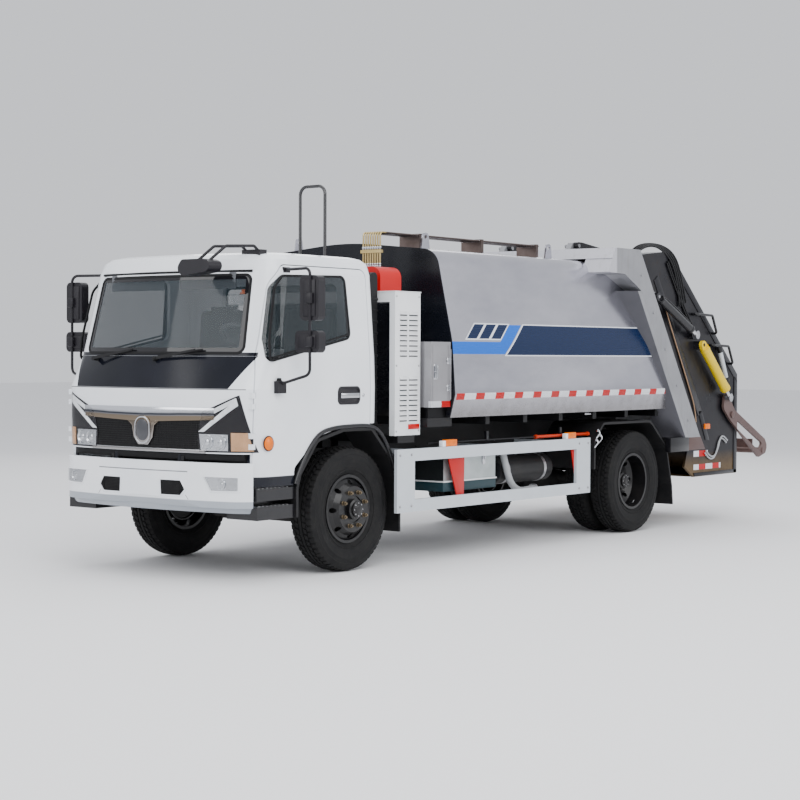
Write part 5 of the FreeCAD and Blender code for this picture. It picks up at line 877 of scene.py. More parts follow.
def portal_paint():
    """White posts and a black tube on top."""
    paint = Paint("portal_paint", Coat_Weight=0.5, Coat_Roughness=0.06)
    z = paint.axes()[2]
    broad = paint.noise(2.0, 4.0, 0.55)
    white = paint.mottle(broad, rgb(0.78, 0.80, 0.82), rgb(0.85, 0.865, 0.88), 0.35, 0.65)
    grime = (1 - z.ramp(1.0, 1.5)) * paint.noise(7.0, 5.0, 0.6).ramp(0.42, 0.75) * 0.2
    white = paint.blend(grime, white, DUST)
    tube = paint.mottle(broad, rgb(0.012, 0.012, 0.014), rgb(0.028, 0.028, 0.03))
    paint.set(Base_Color=paint.blend(z > 2.2, white, tube), Roughness=broad * 0.08 + 0.22 + grime * 0.3,
              Normal=paint.orange_peel(0.04))
    return paint


def make_finishes():
    """Every finish of the truck, by the name its pieces use."""
    return {
        "cab": cab_paint(),
        "white": body_paint("panel_white", rgb(0.80, 0.815, 0.83), 0.3, 0.5, 0.12),
        "portal": portal_paint(),
        "bumper": bumper_paint(),
        "step": body_paint("step_black", GLOSS_BLACK, 0.3, 0.3, 0.06, 0.9),
        "steel": container_steel(),
        "ring": ring_paint(),
        "gate": gate_steel(),
        "gate_black": body_paint("gate_black", GLOSS_BLACK, 0.3, 0.25, 0.12, 1.0),
        "chassis": body_paint("chassis_black", rgb(0.007, 0.007, 0.008), 0.5, 0.05, 0.22, 1.1),
        "rim": body_paint("rim_black", DEEP_BLACK, 0.32, 0.2, 0.08, 1.0),
        "tyre": tyre_rubber(),
        "plain_steel": worn_metal("plain_steel", rgb(0.52, 0.52, 0.53), 0.34, 1.0),
        "nut": worn_metal("nut_steel", rgb(0.20, 0.155, 0.10), 0.4, 0.9),
        "polished": worn_metal("polished_rod", rgb(0.72, 0.73, 0.75), 0.20, 1.0, strength=0.03),
        "bar_chrome": bar_chrome(),
        "chrome": worn_metal("bright_chrome", rgb(0.62, 0.63, 0.66), 0.17, 1.0, strength=0.02),
        "worn": worn_metal("worn_plate", rgb(0.20, 0.185, 0.165), 0.5, 0.8, stain=rgb(0.13, 0.075, 0.04)),
        "arm": worn_metal("arm_brown", rgb(0.15, 0.095, 0.085), 0.42, 0.35, stain=rgb(0.075, 0.05, 0.05)),
        "yellow": body_paint("cylinder_yellow", rgb(0.80, 0.56, 0.0), 0.3, 0.3, 0.10, 1.2),
        "black": body_paint("cylinder_black", GLOSS_BLACK, 0.28, 0.3, 0.1, 1.2),
        "guard": body_paint("guard_grey", rgb(0.56, 0.60, 0.64), 0.34, 0.35, 0.08, 1.0),
        "cabinet": cabinet_sheet(),
        "red": body_paint("signal_red", rgb(0.50, 0.001, 0.001), 0.35, 0.15, 0.05),
        "orange": body_paint("pipe_orange", rgb(0.62, 0.035, 0.003), 0.4, 0.15, 0.1, 1.1),
        "aluminium": box_sheet(),
        "teal": body_paint("box_teal", rgb(0.008, 0.035, 0.045), 0.45, 0.1, 0.12, 1.1),
        "plastic": moulded("black_plastic", DEEP_BLACK),
        "mirror_plastic": moulded("mirror_plastic", rgb(0.011, 0.010, 0.013), 0.38),
        "rubber": moulded("seal_rubber", rgb(0.004, 0.004, 0.005), 0.7, 700.0, 0.2),
        "mesh": moulded("grille_mesh_black", DEEP_BLACK, 0.4, 300.0, 0.1),
        "trim": moulded("cabin_trim", rgb(0.10, 0.105, 0.115), 0.6),
        "cloth": seat_cloth(),
        "glass": window_glass(),
        "side_glass": side_glass(),
        "mirror": worn_metal("mirror_glass", rgb(0.55, 0.58, 0.60), 0.16, 1.0, strength=0.0),
        "clear": lens("lens_clear", rgb(0.03, 0.032, 0.034), 0.04, 0.06),
        "light": lens("lens_white", rgb(0.85, 0.88, 0.92), 0.12, 1.0, 0.25),
        "badge": body_paint("badge_grey", rgb(0.06, 0.062, 0.07), 0.3, 0.3, 0.02, metallic=0.3),
        "turn": lens("lens_turn", rgb(0.62, 0.36, 0.20), 0.10, 1.0, 0.05),
        "copper": worn_metal("pipe_tan", rgb(0.42, 0.27, 0.17), 0.38, 0.85),
        "grey_hose": moulded("hose_grey", rgb(0.33, 0.34, 0.35), 0.5, 600.0, 0.1),
        "light_strip": body_paint("edge_white", rgb(0.74, 0.76, 0.77), 0.35, 0.4, 0.25),
        # Painted shade: a darker copy of the ring's steel for the ring's forward-facing flank.
        "flank": worn_metal("ring_flank_dark", rgb(0.10, 0.10, 0.115), 0.36, 0.6),
        "gate_trim": worn_metal("gate_trim", rgb(0.035, 0.035, 0.04), 0.3, 0.75),
        "reflector": worn_metal("lamp_reflector", rgb(0.70, 0.72, 0.75), 0.17, 1.0, strength=0.02),
        "amber": lens("lens_amber", rgb(0.85, 0.17, 0.0), 0.12, 1.0, 0.12),
        "lamp_red": lens("lens_red", rgb(0.50, 0.002, 0.002), 0.12, 1.0, 0.08),
        "hose": moulded("hose_rubber", DEEP_BLACK, 0.45, 600.0, 0.15),
        "roof_pipes": pipe_paint(),
    }


NODE_FINISHES = {
    "cab": ["cab_shell", "door_left", "door_right", "headlamps"],
    "step": ["steps"],
    "portal": ["louvre_portal"],
    "bumper": ["front_bumper"],
    "steel": ["container_shell"],
    "ring": ["rear_ring"],
    "gate": ["tailgate_shell"],
    "chassis": ["frame_rails", "sub_frame", "engine_block", "front_axle_beam", "rear_axle", "leaf_springs",
                "knuckle_left", "knuckle_right", "track_rod", "tanks"],
    "rim": ["front_rim_left", "front_rim_right", "rear_rims_left", "rear_rims_right"],
    "tyre": ["front_tyre_left", "front_tyre_right", "rear_tyres_left", "rear_tyres_right"],
    "polished": ["lift_rods", "bin_rods"],
    "roof_pipes": ["roof_pipes"],
    "worn": ["ejector_plate", "slide_plate", "packer_blade"],
    "arm": ["lifter_frame"],
    "yellow": ["bin_barrels"],
    "black": ["lift_barrels"],
    "guard": ["side_guards"],
    "gate_black": ["grab_rails"],
    "cabinet": ["cabinet_box", "cabinet_door"],
    "red": ["valve_cover"],
    "aluminium": ["battery_box", "radiator"],
    "plastic": ["mudguards", "air_intake", "wipers", "front_grille"],
    "mirror_plastic": ["mirrors_left", "mirrors_right", "front_mirror"],
    "trim": ["dashboard"],
    "cloth": ["seats"],
    "glass": ["cab_glass"],
    "side_glass": ["door_glass_left", "door_glass_right"],
}


FINISH = make_finishes()


def material(name):
    return FINISH[name].material


# Settings that a user would change

class TruckSettings(bpy.types.PropertyGroup):
    tread_depth: bpy.props.FloatProperty(
        name="Tread depth", description="Depth of the grooves between the tread blocks",
        default=0.013, min=0.004, max=0.02, unit="LENGTH")
    tread_pitch: bpy.props.IntProperty(
        name="Tread blocks", description="Number of tread blocks round a tyre", default=60, min=30, max=90)
    mesh_pitch: bpy.props.FloatProperty(
        name="Grille mesh pitch", description="Distance between the bars of the grille's mesh",
        default=0.016, min=0.01, max=0.06, unit="LENGTH")
    louvre_pitch: bpy.props.FloatProperty(name="Louvre pitch",
                                          description="Height from one louvre to the next", default=0.041,
                                          min=0.03, max=0.09, unit="LENGTH")
    floor_colour: bpy.props.FloatVectorProperty(
        name="Floor colour", description="Colour of the studio floor", default=(0.86, 0.86, 0.87), size=3,
        subtype="COLOR", min=0.0, max=1.0)
    soft_light: bpy.props.FloatProperty(name="Sky light",
                                        description="Strength of the even light from all sides",
                                        default=0.95, min=0.0, max=3.0)


def settings():
    return bpy.context.scene.truck_settings


class TRUCK_OT_finishes(bpy.types.Operator):
    """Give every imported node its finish"""

    bl_idname = "truck.finishes"
    bl_label = "Finishes of the packed nodes"

    def execute(self, context):
        for finish_name, names in NODE_FINISHES.items():
            for name in names:
                slots = NODES[name].data.materials
                slots.clear()
                slots.append(material(finish_name))
        return {"FINISHED"}


# Pieces of the wheels

RUBBER_PROFILE = (
    (0.0787, 0.254), (0.0787, 0.270), (0.086, 0.281), (0.098, 0.300), (0.1035, 0.302), (0.1045, 0.308),
    (0.101, 0.313), (0.112, 0.342), (0.1165, 0.362), (0.1165, 0.380), (0.1178, 0.383), (0.1178, 0.390),
    (0.116, 0.393), (0.1125, 0.424), (0.1145, 0.428), (0.1125, 0.434), (0.107, 0.452), (0.099, 0.467),
    (0.088, 0.4735), (0.060, 0.4745),
)
HUB_DISC_X = {"front": 1.010, "rear": 0.834}
NUT_CIRCLE = 0.1375
NUTS = 8
VALVE_LINE = ((0.030, 0.216), (0.066, 0.214), (0.092, 0.202), (0.104, 0.180))


def turn_about(axis, centre, angle):
    """The move that turns a piece about an axis through a point."""
    shift = Matrix.Translation(centre)
    return shift @ Matrix.Rotation(angle, 4, axis) @ shift.inverted()


def round_the_axle(item, count, centre):
    return copies(item, [turn_about("X", centre, math.tau * step / count) for step in range(1, count)])


def tread_block(name, inner, outer, low, length, twist=0.0):
    """One tread block: (place across, radius) at its inner and outer edge, standing at the tyre's top."""
    item = block(name, (0, 0, 0), (1, 1, 1), 0)
    half = length / 2
    for vertex in item.data.vertices:
        across, out = inner if vertex.co.x < 0.5 else outer
        far = vertex.co.y > 0.5
        lean = twist if vertex.co.x < 0.5 else -twist
        height = out if vertex.co.z > 0.5 else low
        vertex.co = (across, (half if far else -half) + lean, height)
    outward(item)
    return round_edges(item, 0.0022, 1)


def make_tyre():
    """A tyre at the origin: ringed side walls, a centre rib and two rows of blocks on each side."""
    across = [(-a, radius) for a, radius in reversed(RUBBER_PROFILE)]
    carcass = turned("tyre_carcass", "X", (0, 0, 0), list(RUBBER_PROFILE) + across, 72)
    profile = [(-0.013, 0.470), (-0.013, 0.486), (-0.010, TYRE_RADIUS), (0.010, TYRE_RADIUS), (0.013, 0.486),
                (0.013, 0.470)]
    rib = turned("tyre_rib", "X", (0, 0, 0), profile, 72)
    count = settings().tread_pitch
    pitch = math.tau * TYRE_RADIUS / count
    floor = TYRE_RADIUS - settings().tread_depth - 0.004
    rows = []
    for side in (1, -1):
        middle = tread_block("tyre_middle_block", (0.022 * side, TYRE_RADIUS),
                             (0.051 * side, TYRE_RADIUS - 0.0005), floor, pitch * 0.80, 0.007 * side)
        shoulder = tread_block("tyre_shoulder_block", (0.059 * side, TYRE_RADIUS - 0.001),
                               (0.100 * side, TYRE_RADIUS - 0.013), floor - 0.006, pitch * 0.70)
        shoulder.data.transform(Matrix.Rotation(math.pi / count, 4, "X"))
        rows += [round_the_axle(middle, count, (0, 0, 0)), round_the_axle(shoulder, count, (0, 0, 0))]
    return joined("tyre", [carcass, rib] + rows)


class TRUCK_OT_tyres(bpy.types.Operator):
    """Put tyres with tread blocks and ringed side walls in place of the plain ones"""

    bl_idname = "truck.tyres"
    bl_label = "Tyres with tread"

    def execute(self, context):
        pattern = make_tyre()
        groups = {}
        for name, body, y, x in WHEELS:
            twin = pattern.copy()
            twin.data = pattern.data.copy()
            twin.data.transform(Matrix.Translation((x, y, AXLE_Z)))
            bpy.context.collection.objects.link(twin)
            groups.setdefault(body, []).append(twin)
        bpy.data.objects.remove(pattern)
        for body, tyres in groups.items():
            node = body.replace("front_wheel", "front_tyre").replace("rear_wheels", "rear_tyres")
            piece = joined(body + "_rubber", tyres)
            finish(piece, body, "tyre", angle=30)
            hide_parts(node)
        return {"FINISHED"}


class TRUCK_OT_wheel_fittings(bpy.types.Operator):
    """Add wheel nuts, hub caps with their screws, and valves"""

    bl_idname = "truck.wheel_fittings"
    bl_label = "Wheel nuts and hubs"

    def execute(self, context):
        for place, y, cap_x in (("front", FRONT_AXLE_Y, 1.063), ("rear", REAR_AXLE_Y, 0.981)):
            face = HUB_DISC_X[place]
            centre = (0, y, AXLE_Z)
            foot = Vector((face, y, AXLE_Z + NUT_CIRCLE))
            profile = [(-0.001, 0.004), (-0.001, 0.0185), (0.003, 0.0185), (0.005, 0.0165), (0.005, 0.004)]
            washer = turned("washer", "X", foot, profile, 20)
            nut = rod("nut", foot + Vector((0.004, 0, 0)), foot + Vector((0.026, 0, 0)), 0.0165, 6, 0.002)
            stud = rod("stud", foot + Vector((0.020, 0, 0)), foot + Vector((0.038, 0, 0)), 0.0095, 14, 0.002)
            nuts = round_the_axle(joined("nuts", [washer, nut, stud]), NUTS, centre)
            nuts.data.transform(turn_about("X", centre, math.pi / NUTS))
            profile = [(-0.022, 0.0), (-0.022, 0.062), (-0.006, 0.062), (-0.004, 0.058), (-0.004, 0.040),
                       (0.003, 0.036), (0.006, 0.028), (0.007, 0.0)]
            cap = turned("hub_cap", "X", (cap_x, y, AXLE_Z), profile, 32)
            screw = rod("hub_screw", (cap_x - 0.008, y, AXLE_Z + 0.050), (cap_x + 0.001, y, AXLE_Z + 0.050),
                        0.0055, 6, 0.0012)
            screws = round_the_axle(screw, NUTS, centre)
            for name, side in SIDES:
                body = ("front_wheel_" if place == "front" else "rear_wheels_") + name
                for label, source, key in (("nuts", nuts, "nut"), ("hub_cap", cap, "rim"),
                                           ("hub_screws", screws, "plain_steel")):
                    title = "%s_%s_%s" % (place, label, name)
                    if side > 0:
                        piece = source.copy()
                        piece.data = source.data.copy()
                        piece.name = title
                        bpy.context.collection.objects.link(piece)
                    else:
                        piece = mirrored(source, title)
                    finish(piece, body, key)
            for source in (nuts, cap, screws):
                bpy.data.objects.remove(source)
        for name, body, y, x in WHEELS:
            if "inner" in name:
                continue
            side = 1 if x > 0 else -1
            line = [(x + side * out, y, AXLE_Z - down) for out, down in VALVE_LINE]
            finish(pipe("valve_" + name, line, 0.004, 8), body, "polished")
        return {"FINISHED"}


# Pieces of the cab

SCREEN_OUTLINE = ((-0.840, 1.685, 0.06), (0.840, 1.685, 0.06), (0.795, 2.288, 0.06), (-0.795, 2.288, 0.06))
DOOR_WINDOW_OUTLINE = ((-0.987, 1.625, 0.04), (-0.987, 1.800, 0.3), (-0.895, 2.190, 0.12),
                       (-0.797, 2.280, 0.06), (-0.060, 2.298, 0.06), (-0.030, 1.810, 0.06))
DOOR_SIDE_LEVELS = ((0.712, 1.002), (0.955, 1.012), (1.430, 1.020), (1.670, 1.012), (2.310, 0.962),
                    (2.40, 0.945))
HEADLAMP_OUTLINE = ((0.548, 0.964), (0.983, 0.967), (0.890, 1.387), (0.578, 1.261), (0.531, 1.075))
RUNNING_LIGHT = ((0.590, 1.244), (0.868, 1.366), (0.882, 1.310), (0.590, 1.114), (0.542, 1.114),
                 (0.812, 1.308), (0.587, 1.206))
MAIN_LAMP = ((0.560, 0.977), (0.800, 0.977), (0.800, 1.098), (0.548, 1.098))
TURN_LAMP = ((0.828, 0.977), (0.966, 0.977), (0.938, 1.112), (0.828, 1.112))
VENT_OUTLINE = ((0.213, 0.750), (0.400, 0.750), (0.450, 0.695), (0.400, 0.642), (0.220, 0.642))
GRILLE_OUTLINE = ((-0.544, 0.981), (0.544, 0.981), (0.653, 1.261), (-0.653, 1.261))
GRILLE_BAR = ((-0.685, 1.203), (-0.160, 1.183), (0.160, 1.183), (0.685, 1.203), (0.690, 1.290),
              (-0.690, 1.290))
# Places of the net's ends below and above, its heights, columns, rows and the width of its bars
VENT_NETS = (
    ((0.224, 0.396), (0.216, 0.398), 0.646, 0.746, 16, 9, 0.0030),
    ((0.398, 0.404), (0.398, 0.443), 0.646, 0.695, 4, 5, 0.0035),
    ((0.398, 0.443), (0.398, 0.404), 0.697, 0.746, 4, 5, 0.0035),
)
FOG_OUTLINE = ((0.620, 0.785), (0.900, 0.785), (0.900, 0.690), (0.690, 0.685))


# Name, outline, how far proud of the face, thickness, rounding and finish of a headlamp's plates
LAMP_PLATES = (
    ("headlamp_housing_", HEADLAMP_OUTLINE, 0.002, 0.012, 0.0, "mirror_plastic"),
    ("running_light_", RUNNING_LIGHT, 0.008, 0.008, 0.001, "light"),
    ("main_lamp_bed_", MAIN_LAMP, 0.0035, 0.003, 0.0, "reflector"),
    ("turn_lamp_", TURN_LAMP, 0.008, 0.008, 0.001, "turn"),
    ("headlamp_cover_", HEADLAMP_OUTLINE, 0.0125, 0.002, 0.0, "clear"),
)


def rounded(outline, steps=5):
    """An outline of (u, v, radius) points with its corners rounded."""
    points = []
    count = len(outline)
    for index, (u, v, radius) in enumerate(outline):
        here = Vector((u, v))
        back = (Vector(outline[index - 1][:2]) - here).normalized()
        ahead = (Vector(outline[(index + 1) % count][:2]) - here).normalized()
        half = back.angle(ahead) / 2
        setback = radius / math.tan(half)
        centre = here + (back + ahead).normalized() * (radius / math.sin(half))
        first = here + back * setback - centre
        last = here + ahead * setback - centre
        for step in range(steps + 1):
            direction = first.lerp(last, step / steps).normalized()
            points.append(tuple(centre + direction * radius))
    return points


def rounded_box(us, vs, radius, steps=5):
    """A rectangle's outline with rounded corners."""
    corners = ((us[0], vs[0]), (us[1], vs[0]), (us[1], vs[1]), (us[0], vs[1]))
    return rounded([(u, v, radius) for u, v in corners], steps)


def side_of_cab(z):
    """How far the cab's side stands from the middle at a height."""
    for (low, first), (high, second) in zip(DOOR_SIDE_LEVELS, DOOR_SIDE_LEVELS[1:]):
        if z <= high:
            return first + (second - first) * (z - low) / (high - low)
    return DOOR_SIDE_LEVELS[-1][1]


def frame_shape(name, axis, outline, width):
    """A flat frame along an outline: the outline's face inset, and its middle taken out."""
    item = sheet_plate(name, axis, 0, outline, 0)
    activate(item)
    bpy.ops.object.mode_set(mode="EDIT")
    bpy.ops.mesh.select_all(action="SELECT")
    bpy.ops.mesh.inset(thickness=width, depth=0)
    bpy.ops.mesh.delete(type="FACE")
    bpy.ops.object.mode_set(mode="OBJECT")
    return item


def front_frame(name, face, outline, width, proud, thickness, edge=0.0015):
    """A frame that follows a bowed front, such as a window's seal."""
    return follow(frame_shape(name, "Y", outline, width), face, proud, thickness, 0.06, edge)


def side_shape(item, proud, thickness, edge=0.0015):
    """Bends a flat side piece (made at X 0) to the cab's side and gives it a thickness."""
    vs = [vertex.co.z for vertex in item.data.vertices]
    cut_across(item, "Z", min(vs), max(vs), 0.12)
    thicken(item, (-thickness, 0, 0))
    for vertex in item.data.vertices:
        vertex.co.x = side_of_cab(vertex.co.z) + proud + vertex.co.x
    outward(item)
    return round_edges(item, edge, 1)


def lattice(name, face, corners, columns, rows, proud, bar):
    """A mesh of thin bars over a four-cornered field of a bowed front."""
    deselect()
    bpy.ops.mesh.primitive_grid_add(x_subdivisions=columns, y_subdivisions=rows, size=1)
    item = named(name)
    (low_left, low_right), (high_left, high_right), low, high = corners
    for vertex in item.data.vertices:
        u, v = vertex.co.x + 0.5, vertex.co.y + 0.5
        left = low_left + (high_left - low_left) * v
        right = low_right + (high_right - low_right) * v
        x, z = left + (right - left) * u, low + (high - low) * v
        vertex.co = (x, face(x, z, proud), z)
    return modify(item, "WIREFRAME", thickness=bar, use_replace=True, use_even_offset=False)


def ride_cab(item, key, angle=35):
    return finish(item, "cab", key, angle=angle)


def on_door(item, name, side, key):
    """Puts a piece made for the left door on its own side."""
    if side < 0:
        twin = mirrored(item, item.name + "_placed")
        bpy.data.objects.remove(item)
        item = twin
    return finish(item, "door_%s_body" % name, key)


class TRUCK_OT_grille(bpy.types.Operator):
    """Add the grille's mesh, bars and badge, a dark strip of painted shade below, and the bumper's apron,
    vents and fog lamps
    """

    bl_idname = "truck.grille"
    bl_label = "Grille, vents and fog lamps"

    def execute(self, context):
        back = front_plate("grille_back", cab_front, GRILLE_OUTLINE, -0.004, 0.012)
        ride_cab(back, "mesh")
        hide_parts("front_grille")
        bar = front_plate("grille_bar", cab_front, GRILLE_BAR, 0.010, 0.012, 0.003)
        corners = [(-0.60, 0.957), (0.60, 0.957), (0.60, 0.978), (-0.60, 0.978)]
        strip = front_plate("grille_strip", cab_front, corners, 0.008, 0.012, 0.002)
        oval = rounded_box((-0.085, 0.085), (1.005, 1.225), 0.075, 8)
        boss = front_plate("badge_boss", cab_front, oval, 0.016, 0.018, 0.004)
        ride_cab(joined("grille_bars", [bar, strip, boss]), "bar_chrome")
        pitch = settings().mesh_pitch
        mesh = lattice("grille_mesh", cab_front, ((-0.522, 0.522), (-0.545, 0.545), 0.984, 1.200),
                       round(1.05 / pitch), round(0.21 / pitch), 0.0015, 0.0042)
        ride_cab(mesh, "mesh", angle=60)
        oval = rounded_box((-0.080, 0.080), (1.012, 1.218), 0.072, 8)
        ride_cab(front_frame("badge_rim", cab_front, oval, 0.010, 0.0205, 0.006, 0.0025), "chrome")
        blank = rounded_box((-0.062, 0.062), (1.034, 1.196), 0.058, 8)
        ride_cab(front_plate("badge_blank", cab_front, blank, 0.0185, 0.004, 0.0025), "badge")
        keel = ((-0.170, 1.186), (-0.118, 1.150), (-0.100, 1.060), (-0.052, 1.003), (0.052, 1.003),
                (0.100, 1.060), (0.118, 1.150), (0.170, 1.186))
        ride_cab(front_plate("badge_keel", cab_front, keel, 0.011, 0.010, 0.004), "bar_chrome")
        # Painted shade: a dark rubber strip fills the gap between the cab and the bumper.
        corners = [(-0.90, 0.905), (0.90, 0.905), (0.90, 0.958), (-0.90, 0.958)]
        ride_cab(front_plate("under_panel", cab_front, corners, -0.022, 0.006), "rubber")
        corners = [(-0.985, 0.518), (0.985, 0.518), (0.985, 0.572), (-0.985, 0.572)]
        apron = front_plate("bumper_apron", bumper_front, corners, -0.004, 0.012, 0.002)
        finish(apron, "chassis", "bumper")
        for name, side in SIDES:
            vent, fog = flipped(VENT_OUTLINE, side), flipped(FOG_OUTLINE, side)
            floor = front_plate("vent_floor_" + name, bumper_front, vent, 0.0035, 0.003)
            for label, outline in (("vent", vent), ("fog", fog)):
                title = "%s_rim_%s" % (label, name)
                rim = front_frame(title, bumper_front, widened(outline, 0.012), 0.012, 0.0065, 0.010, 0.003)
                finish(rim, "chassis", "bumper")
            finish(floor, "chassis", "mesh")
            nets = []
            for lows, highs, low, high, columns, rows, bar in VENT_NETS:
                field = ([u * side for u in lows], [u * side for u in highs], low, high)
                nets.append(lattice("vent_net_" + name, bumper_front, field, columns, rows, 0.0055, bar))
            finish(joined("vent_mesh_" + name, nets), "chassis", "mesh", angle=60)
            bowl = front_plate("fog_bowl_" + name, bumper_front, fog, 0.0045, 0.003)
            finish(bowl, "chassis", "reflector")
            centre = Vector((0.775 * side, bumper_front(0.775, 0.736, 0.002), 0.736))
            profile = [(-0.008, 0.0), (-0.006, 0.010), (-0.001, 0.014), (-0.001, 0.032), (-0.009, 0.036),
                       (-0.009, 0.040), (0.004, 0.040), (0.004, 0.0)]
            finish(turned("fog_bulb_" + name, "Y", centre, profile, 28), "chassis", "reflector")
            finish(front_plate("fog_lens_" + name, bumper_front, fog, 0.0135, 0.002), "chassis", "clear")
        return {"FINISHED"}


def flipped(outline, side):
    """An outline drawn for the left side, on its own side."""
    return [(u * side, v) for u, v in outline]


def widened(outline, distance):
    """An outline moved outwards from its middle."""
    middle_u = sum(u for u, v in outline) / len(outline)
    middle_v = sum(v for u, v in outline) / len(outline)
    moved = []
    for u, v in outline:
        way = Vector((u - middle_u, v - middle_v))
        moved.append((u + math.copysign(distance, way.x), v + math.copysign(distance, way.y)))
    return moved


class TRUCK_OT_headlamps(bpy.types.Operator):
    """Add the lamp housings with their bowls, running lights, turn lamps and clear covers"""

    bl_idname = "truck.headlamps"
    bl_label = "Headlamps"

    def execute(self, context):
        for name, side in SIDES:
            for label, outline, proud, thickness, edge, key in LAMP_PLATES:
                own = flipped(outline, side)
                ride_cab(front_plate(label + name, cab_front, own, proud, thickness, edge, 0.025), key)
                if outline is MAIN_LAMP:
                    self.add_bowls(name, side)
        return {"FINISHED"}

    def add_bowls(self, name, side):
        """The two round reflectors that stand on the main lamp's bed."""
        profile = [(-0.004, 0.054), (-0.004, 0.050), (0.006, 0.042), (0.010, 0.028), (0.000, 0.024),
                   (-0.005, 0.014), (-0.006, 0.0), (0.014, 0.0), (0.014, 0.054)]
        bowls = []
        for x in (0.618, 0.734):
            centre = Vector((x * side, cab_front(x, 1.038, 0.005), 1.038))
            bowls.append(turned("lamp_bowl", "Y", centre, profile, 32))
        ride_cab(joined("lamp_bowls_" + name, bowls), "reflector")


class TRUCK_OT_windows(bpy.types.Operator):
    """Add the rubber seals of the windows and the strips below the door windows"""

    bl_idname = "truck.windows"
    bl_label = "Window seals"

    def execute(self, context):
        screen = rounded(SCREEN_OUTLINE)
        ride_cab(front_frame("windscreen_seal", cab_front, screen, 0.020, 0.0035, 0.010), "rubber")
        back = rounded_box((-0.620, 0.620), (1.730, 2.250), 0.06)
        seal = frame_shape("rear_window_seal", "Y", back, 0.022)
        thicken(seal, (0, 0.012, 0))
        seal.data.transform(Matrix.Translation((0, behind(0.292), 0)))
        outward(seal)
        ride_cab(round_edges(seal, 0.002, 1), "rubber")
        for name, side in SIDES:
            outline = side_view(rounded(DOOR_WINDOW_OUTLINE))
            seal = side_shape(frame_shape("door_seal_" + name, "X", outline, 0.018), 0.004, 0.012)
            on_door(seal, name, side, "rubber")
            belt = side_view(((-0.955, 1.655), (-0.05, 1.838), (-0.05, 1.852), (-0.955, 1.669)))
            strip = side_shape(sheet_plate("door_strip_" + name, "X", 0, belt, 0), 0.008, 0.006)
            on_door(strip, name, side, "rubber")
        return {"FINISHED"}


SIDE_LAMP_Z = 1.033
MIRRORS = (
    ("main", (1.165, 1.345), (1.935, 2.265)),
    ("wide", (1.120, 1.350), (1.700, 1.862)),
)


class TRUCK_OT_doors(bpy.types.Operator):
    """Add door handles and locks, side lamps, and the mirrors' glasses, clamps and boots"""

    bl_idname = "truck.doors"
    bl_label = "Doors and mirrors"

    def execute(self, context):
        for name, side in SIDES:
            cup = side_view(rounded_box((-0.208, 0.063), (1.302, 1.443), 0.04))
            on_door(side_shape(frame_shape("handle_rim_" + name, "X", cup, 0.020), 0.007, 0.012, 0.003),
                    name, side, "mirror_plastic")
            floor = slab("handle_floor_" + name, (1.0150, 1.0205), (-0.194, 0.049), (1.316, 1.429), 0.001)
            on_door(floor, name, side, "mirror_plastic")
            grip = slab("handle_grip_" + name, (1.0190, 1.0400), (-0.185, 0.040), (1.352, 1.392), 0.007, 3)
            on_door(grip, name, side, "chrome")
            profile = [(-0.004, 0.0), (-0.004, 0.014), (0.002, 0.014), (0.004, 0.011), (0.004, 0.0)]
            key = turned("door_lock_" + name, "X", (1.0195, behind(0.105), 1.372), profile, 24)
            on_door(key, name, side, "chrome")
            profile = [(-0.002, 0.0), (-0.002, 0.050), (0.007, 0.050), (0.011, 0.044), (0.016, 0.032),
                       (0.020, 0.016), (0.021, 0.0)]
            spot = (side_of_cab(SIDE_LAMP_Z), behind(-0.998), SIDE_LAMP_Z)
            on_door(turned("side_lamp_" + name, "X", spot, profile, 32), name, side, "amber")
            profile = [(-0.001, 0.048), (-0.001, 0.057), (0.005, 0.057), (0.006, 0.052), (0.006, 0.048)]
            on_door(turned("side_lamp_base_" + name, "X", spot, profile, 32), name, side, "rubber")
            for label, (x0, x1), (z0, z1) in MIRRORS:
                rim = 0.012
                outline = rounded_box((x0 + rim, x1 - rim), (z0 + rim, z1 - rim), 0.03)
                title = "mirror_glass_%s_%s" % (label, name)
                on_door(sheet_plate(title, "Y", behind(-0.7512), outline, 0.002), name, side, "mirror")
                z = (z0 + z1) / 2
                clamp = slab("mirror_clamp_%s_%s" % (label, name), (1.240, 1.302), (-0.862, -0.826),
                             (z - 0.040, z + 0.040), 0.008, 3)
                rib = slab("mirror_back_%s_%s" % (label, name), (x0 + 0.030, x1 - 0.030), (-0.834, -0.826),
                           (z0 + 0.030, z1 - 0.030), 0.007, 3)
                on_door(joined(clamp.name, [clamp, rib]), name, side, "mirror_plastic")
            profile = [(0.0, 0.0), (0.0, 0.026), (0.012, 0.026), (0.020, 0.018), (0.034, 0.016), (0.036, 0.0)]
            boot = turned("mirror_boot_" + name, "Z", (1.030, behind(-0.900), 1.478), profile, 24)
            on_door(boot, name, side, "rubber")
        return {"FINISHED"}


class TRUCK_OT_wiper_blades(bpy.types.Operator):
    """Add the rubber blades and caps of the wipers, and the roof's front lip"""

    bl_idname = "truck.wiper_blades"
    bl_label = "Wiper blades"

    def execute(self, context):
        blades = []
        for x in (-0.640, 0.060):
            points = [(x + 0.02 + 0.14 * step, cab_front(x + 0.02 + 0.14 * step, 1.700, 0.016),
                       1.672 + 0.016 * step) for step in range(4)]
            blades.append(pipe("blade", points, 0.007, 8))
            profile = [(-0.010, 0.0), (-0.009, 0.012), (0.0, 0.018), (0.016, 0.019), (0.016, 0.0)]
            cap = turned("wiper_cap", "Y", (x, cab_front(x, 1.650, 0.030), 1.650), profile, 20)
            blades.append(cap)
        ride_cab(joined("wiper_blades", blades), "rubber")
        route = [(x, cab_front(x, 2.306, 0.004), 2.306) for x in (-0.79, -0.4, 0.0, 0.4, 0.79)]
        ride_cab(pipe("roof_lip", route, 0.010, 8), "rubber")
        return {"FINISHED"}


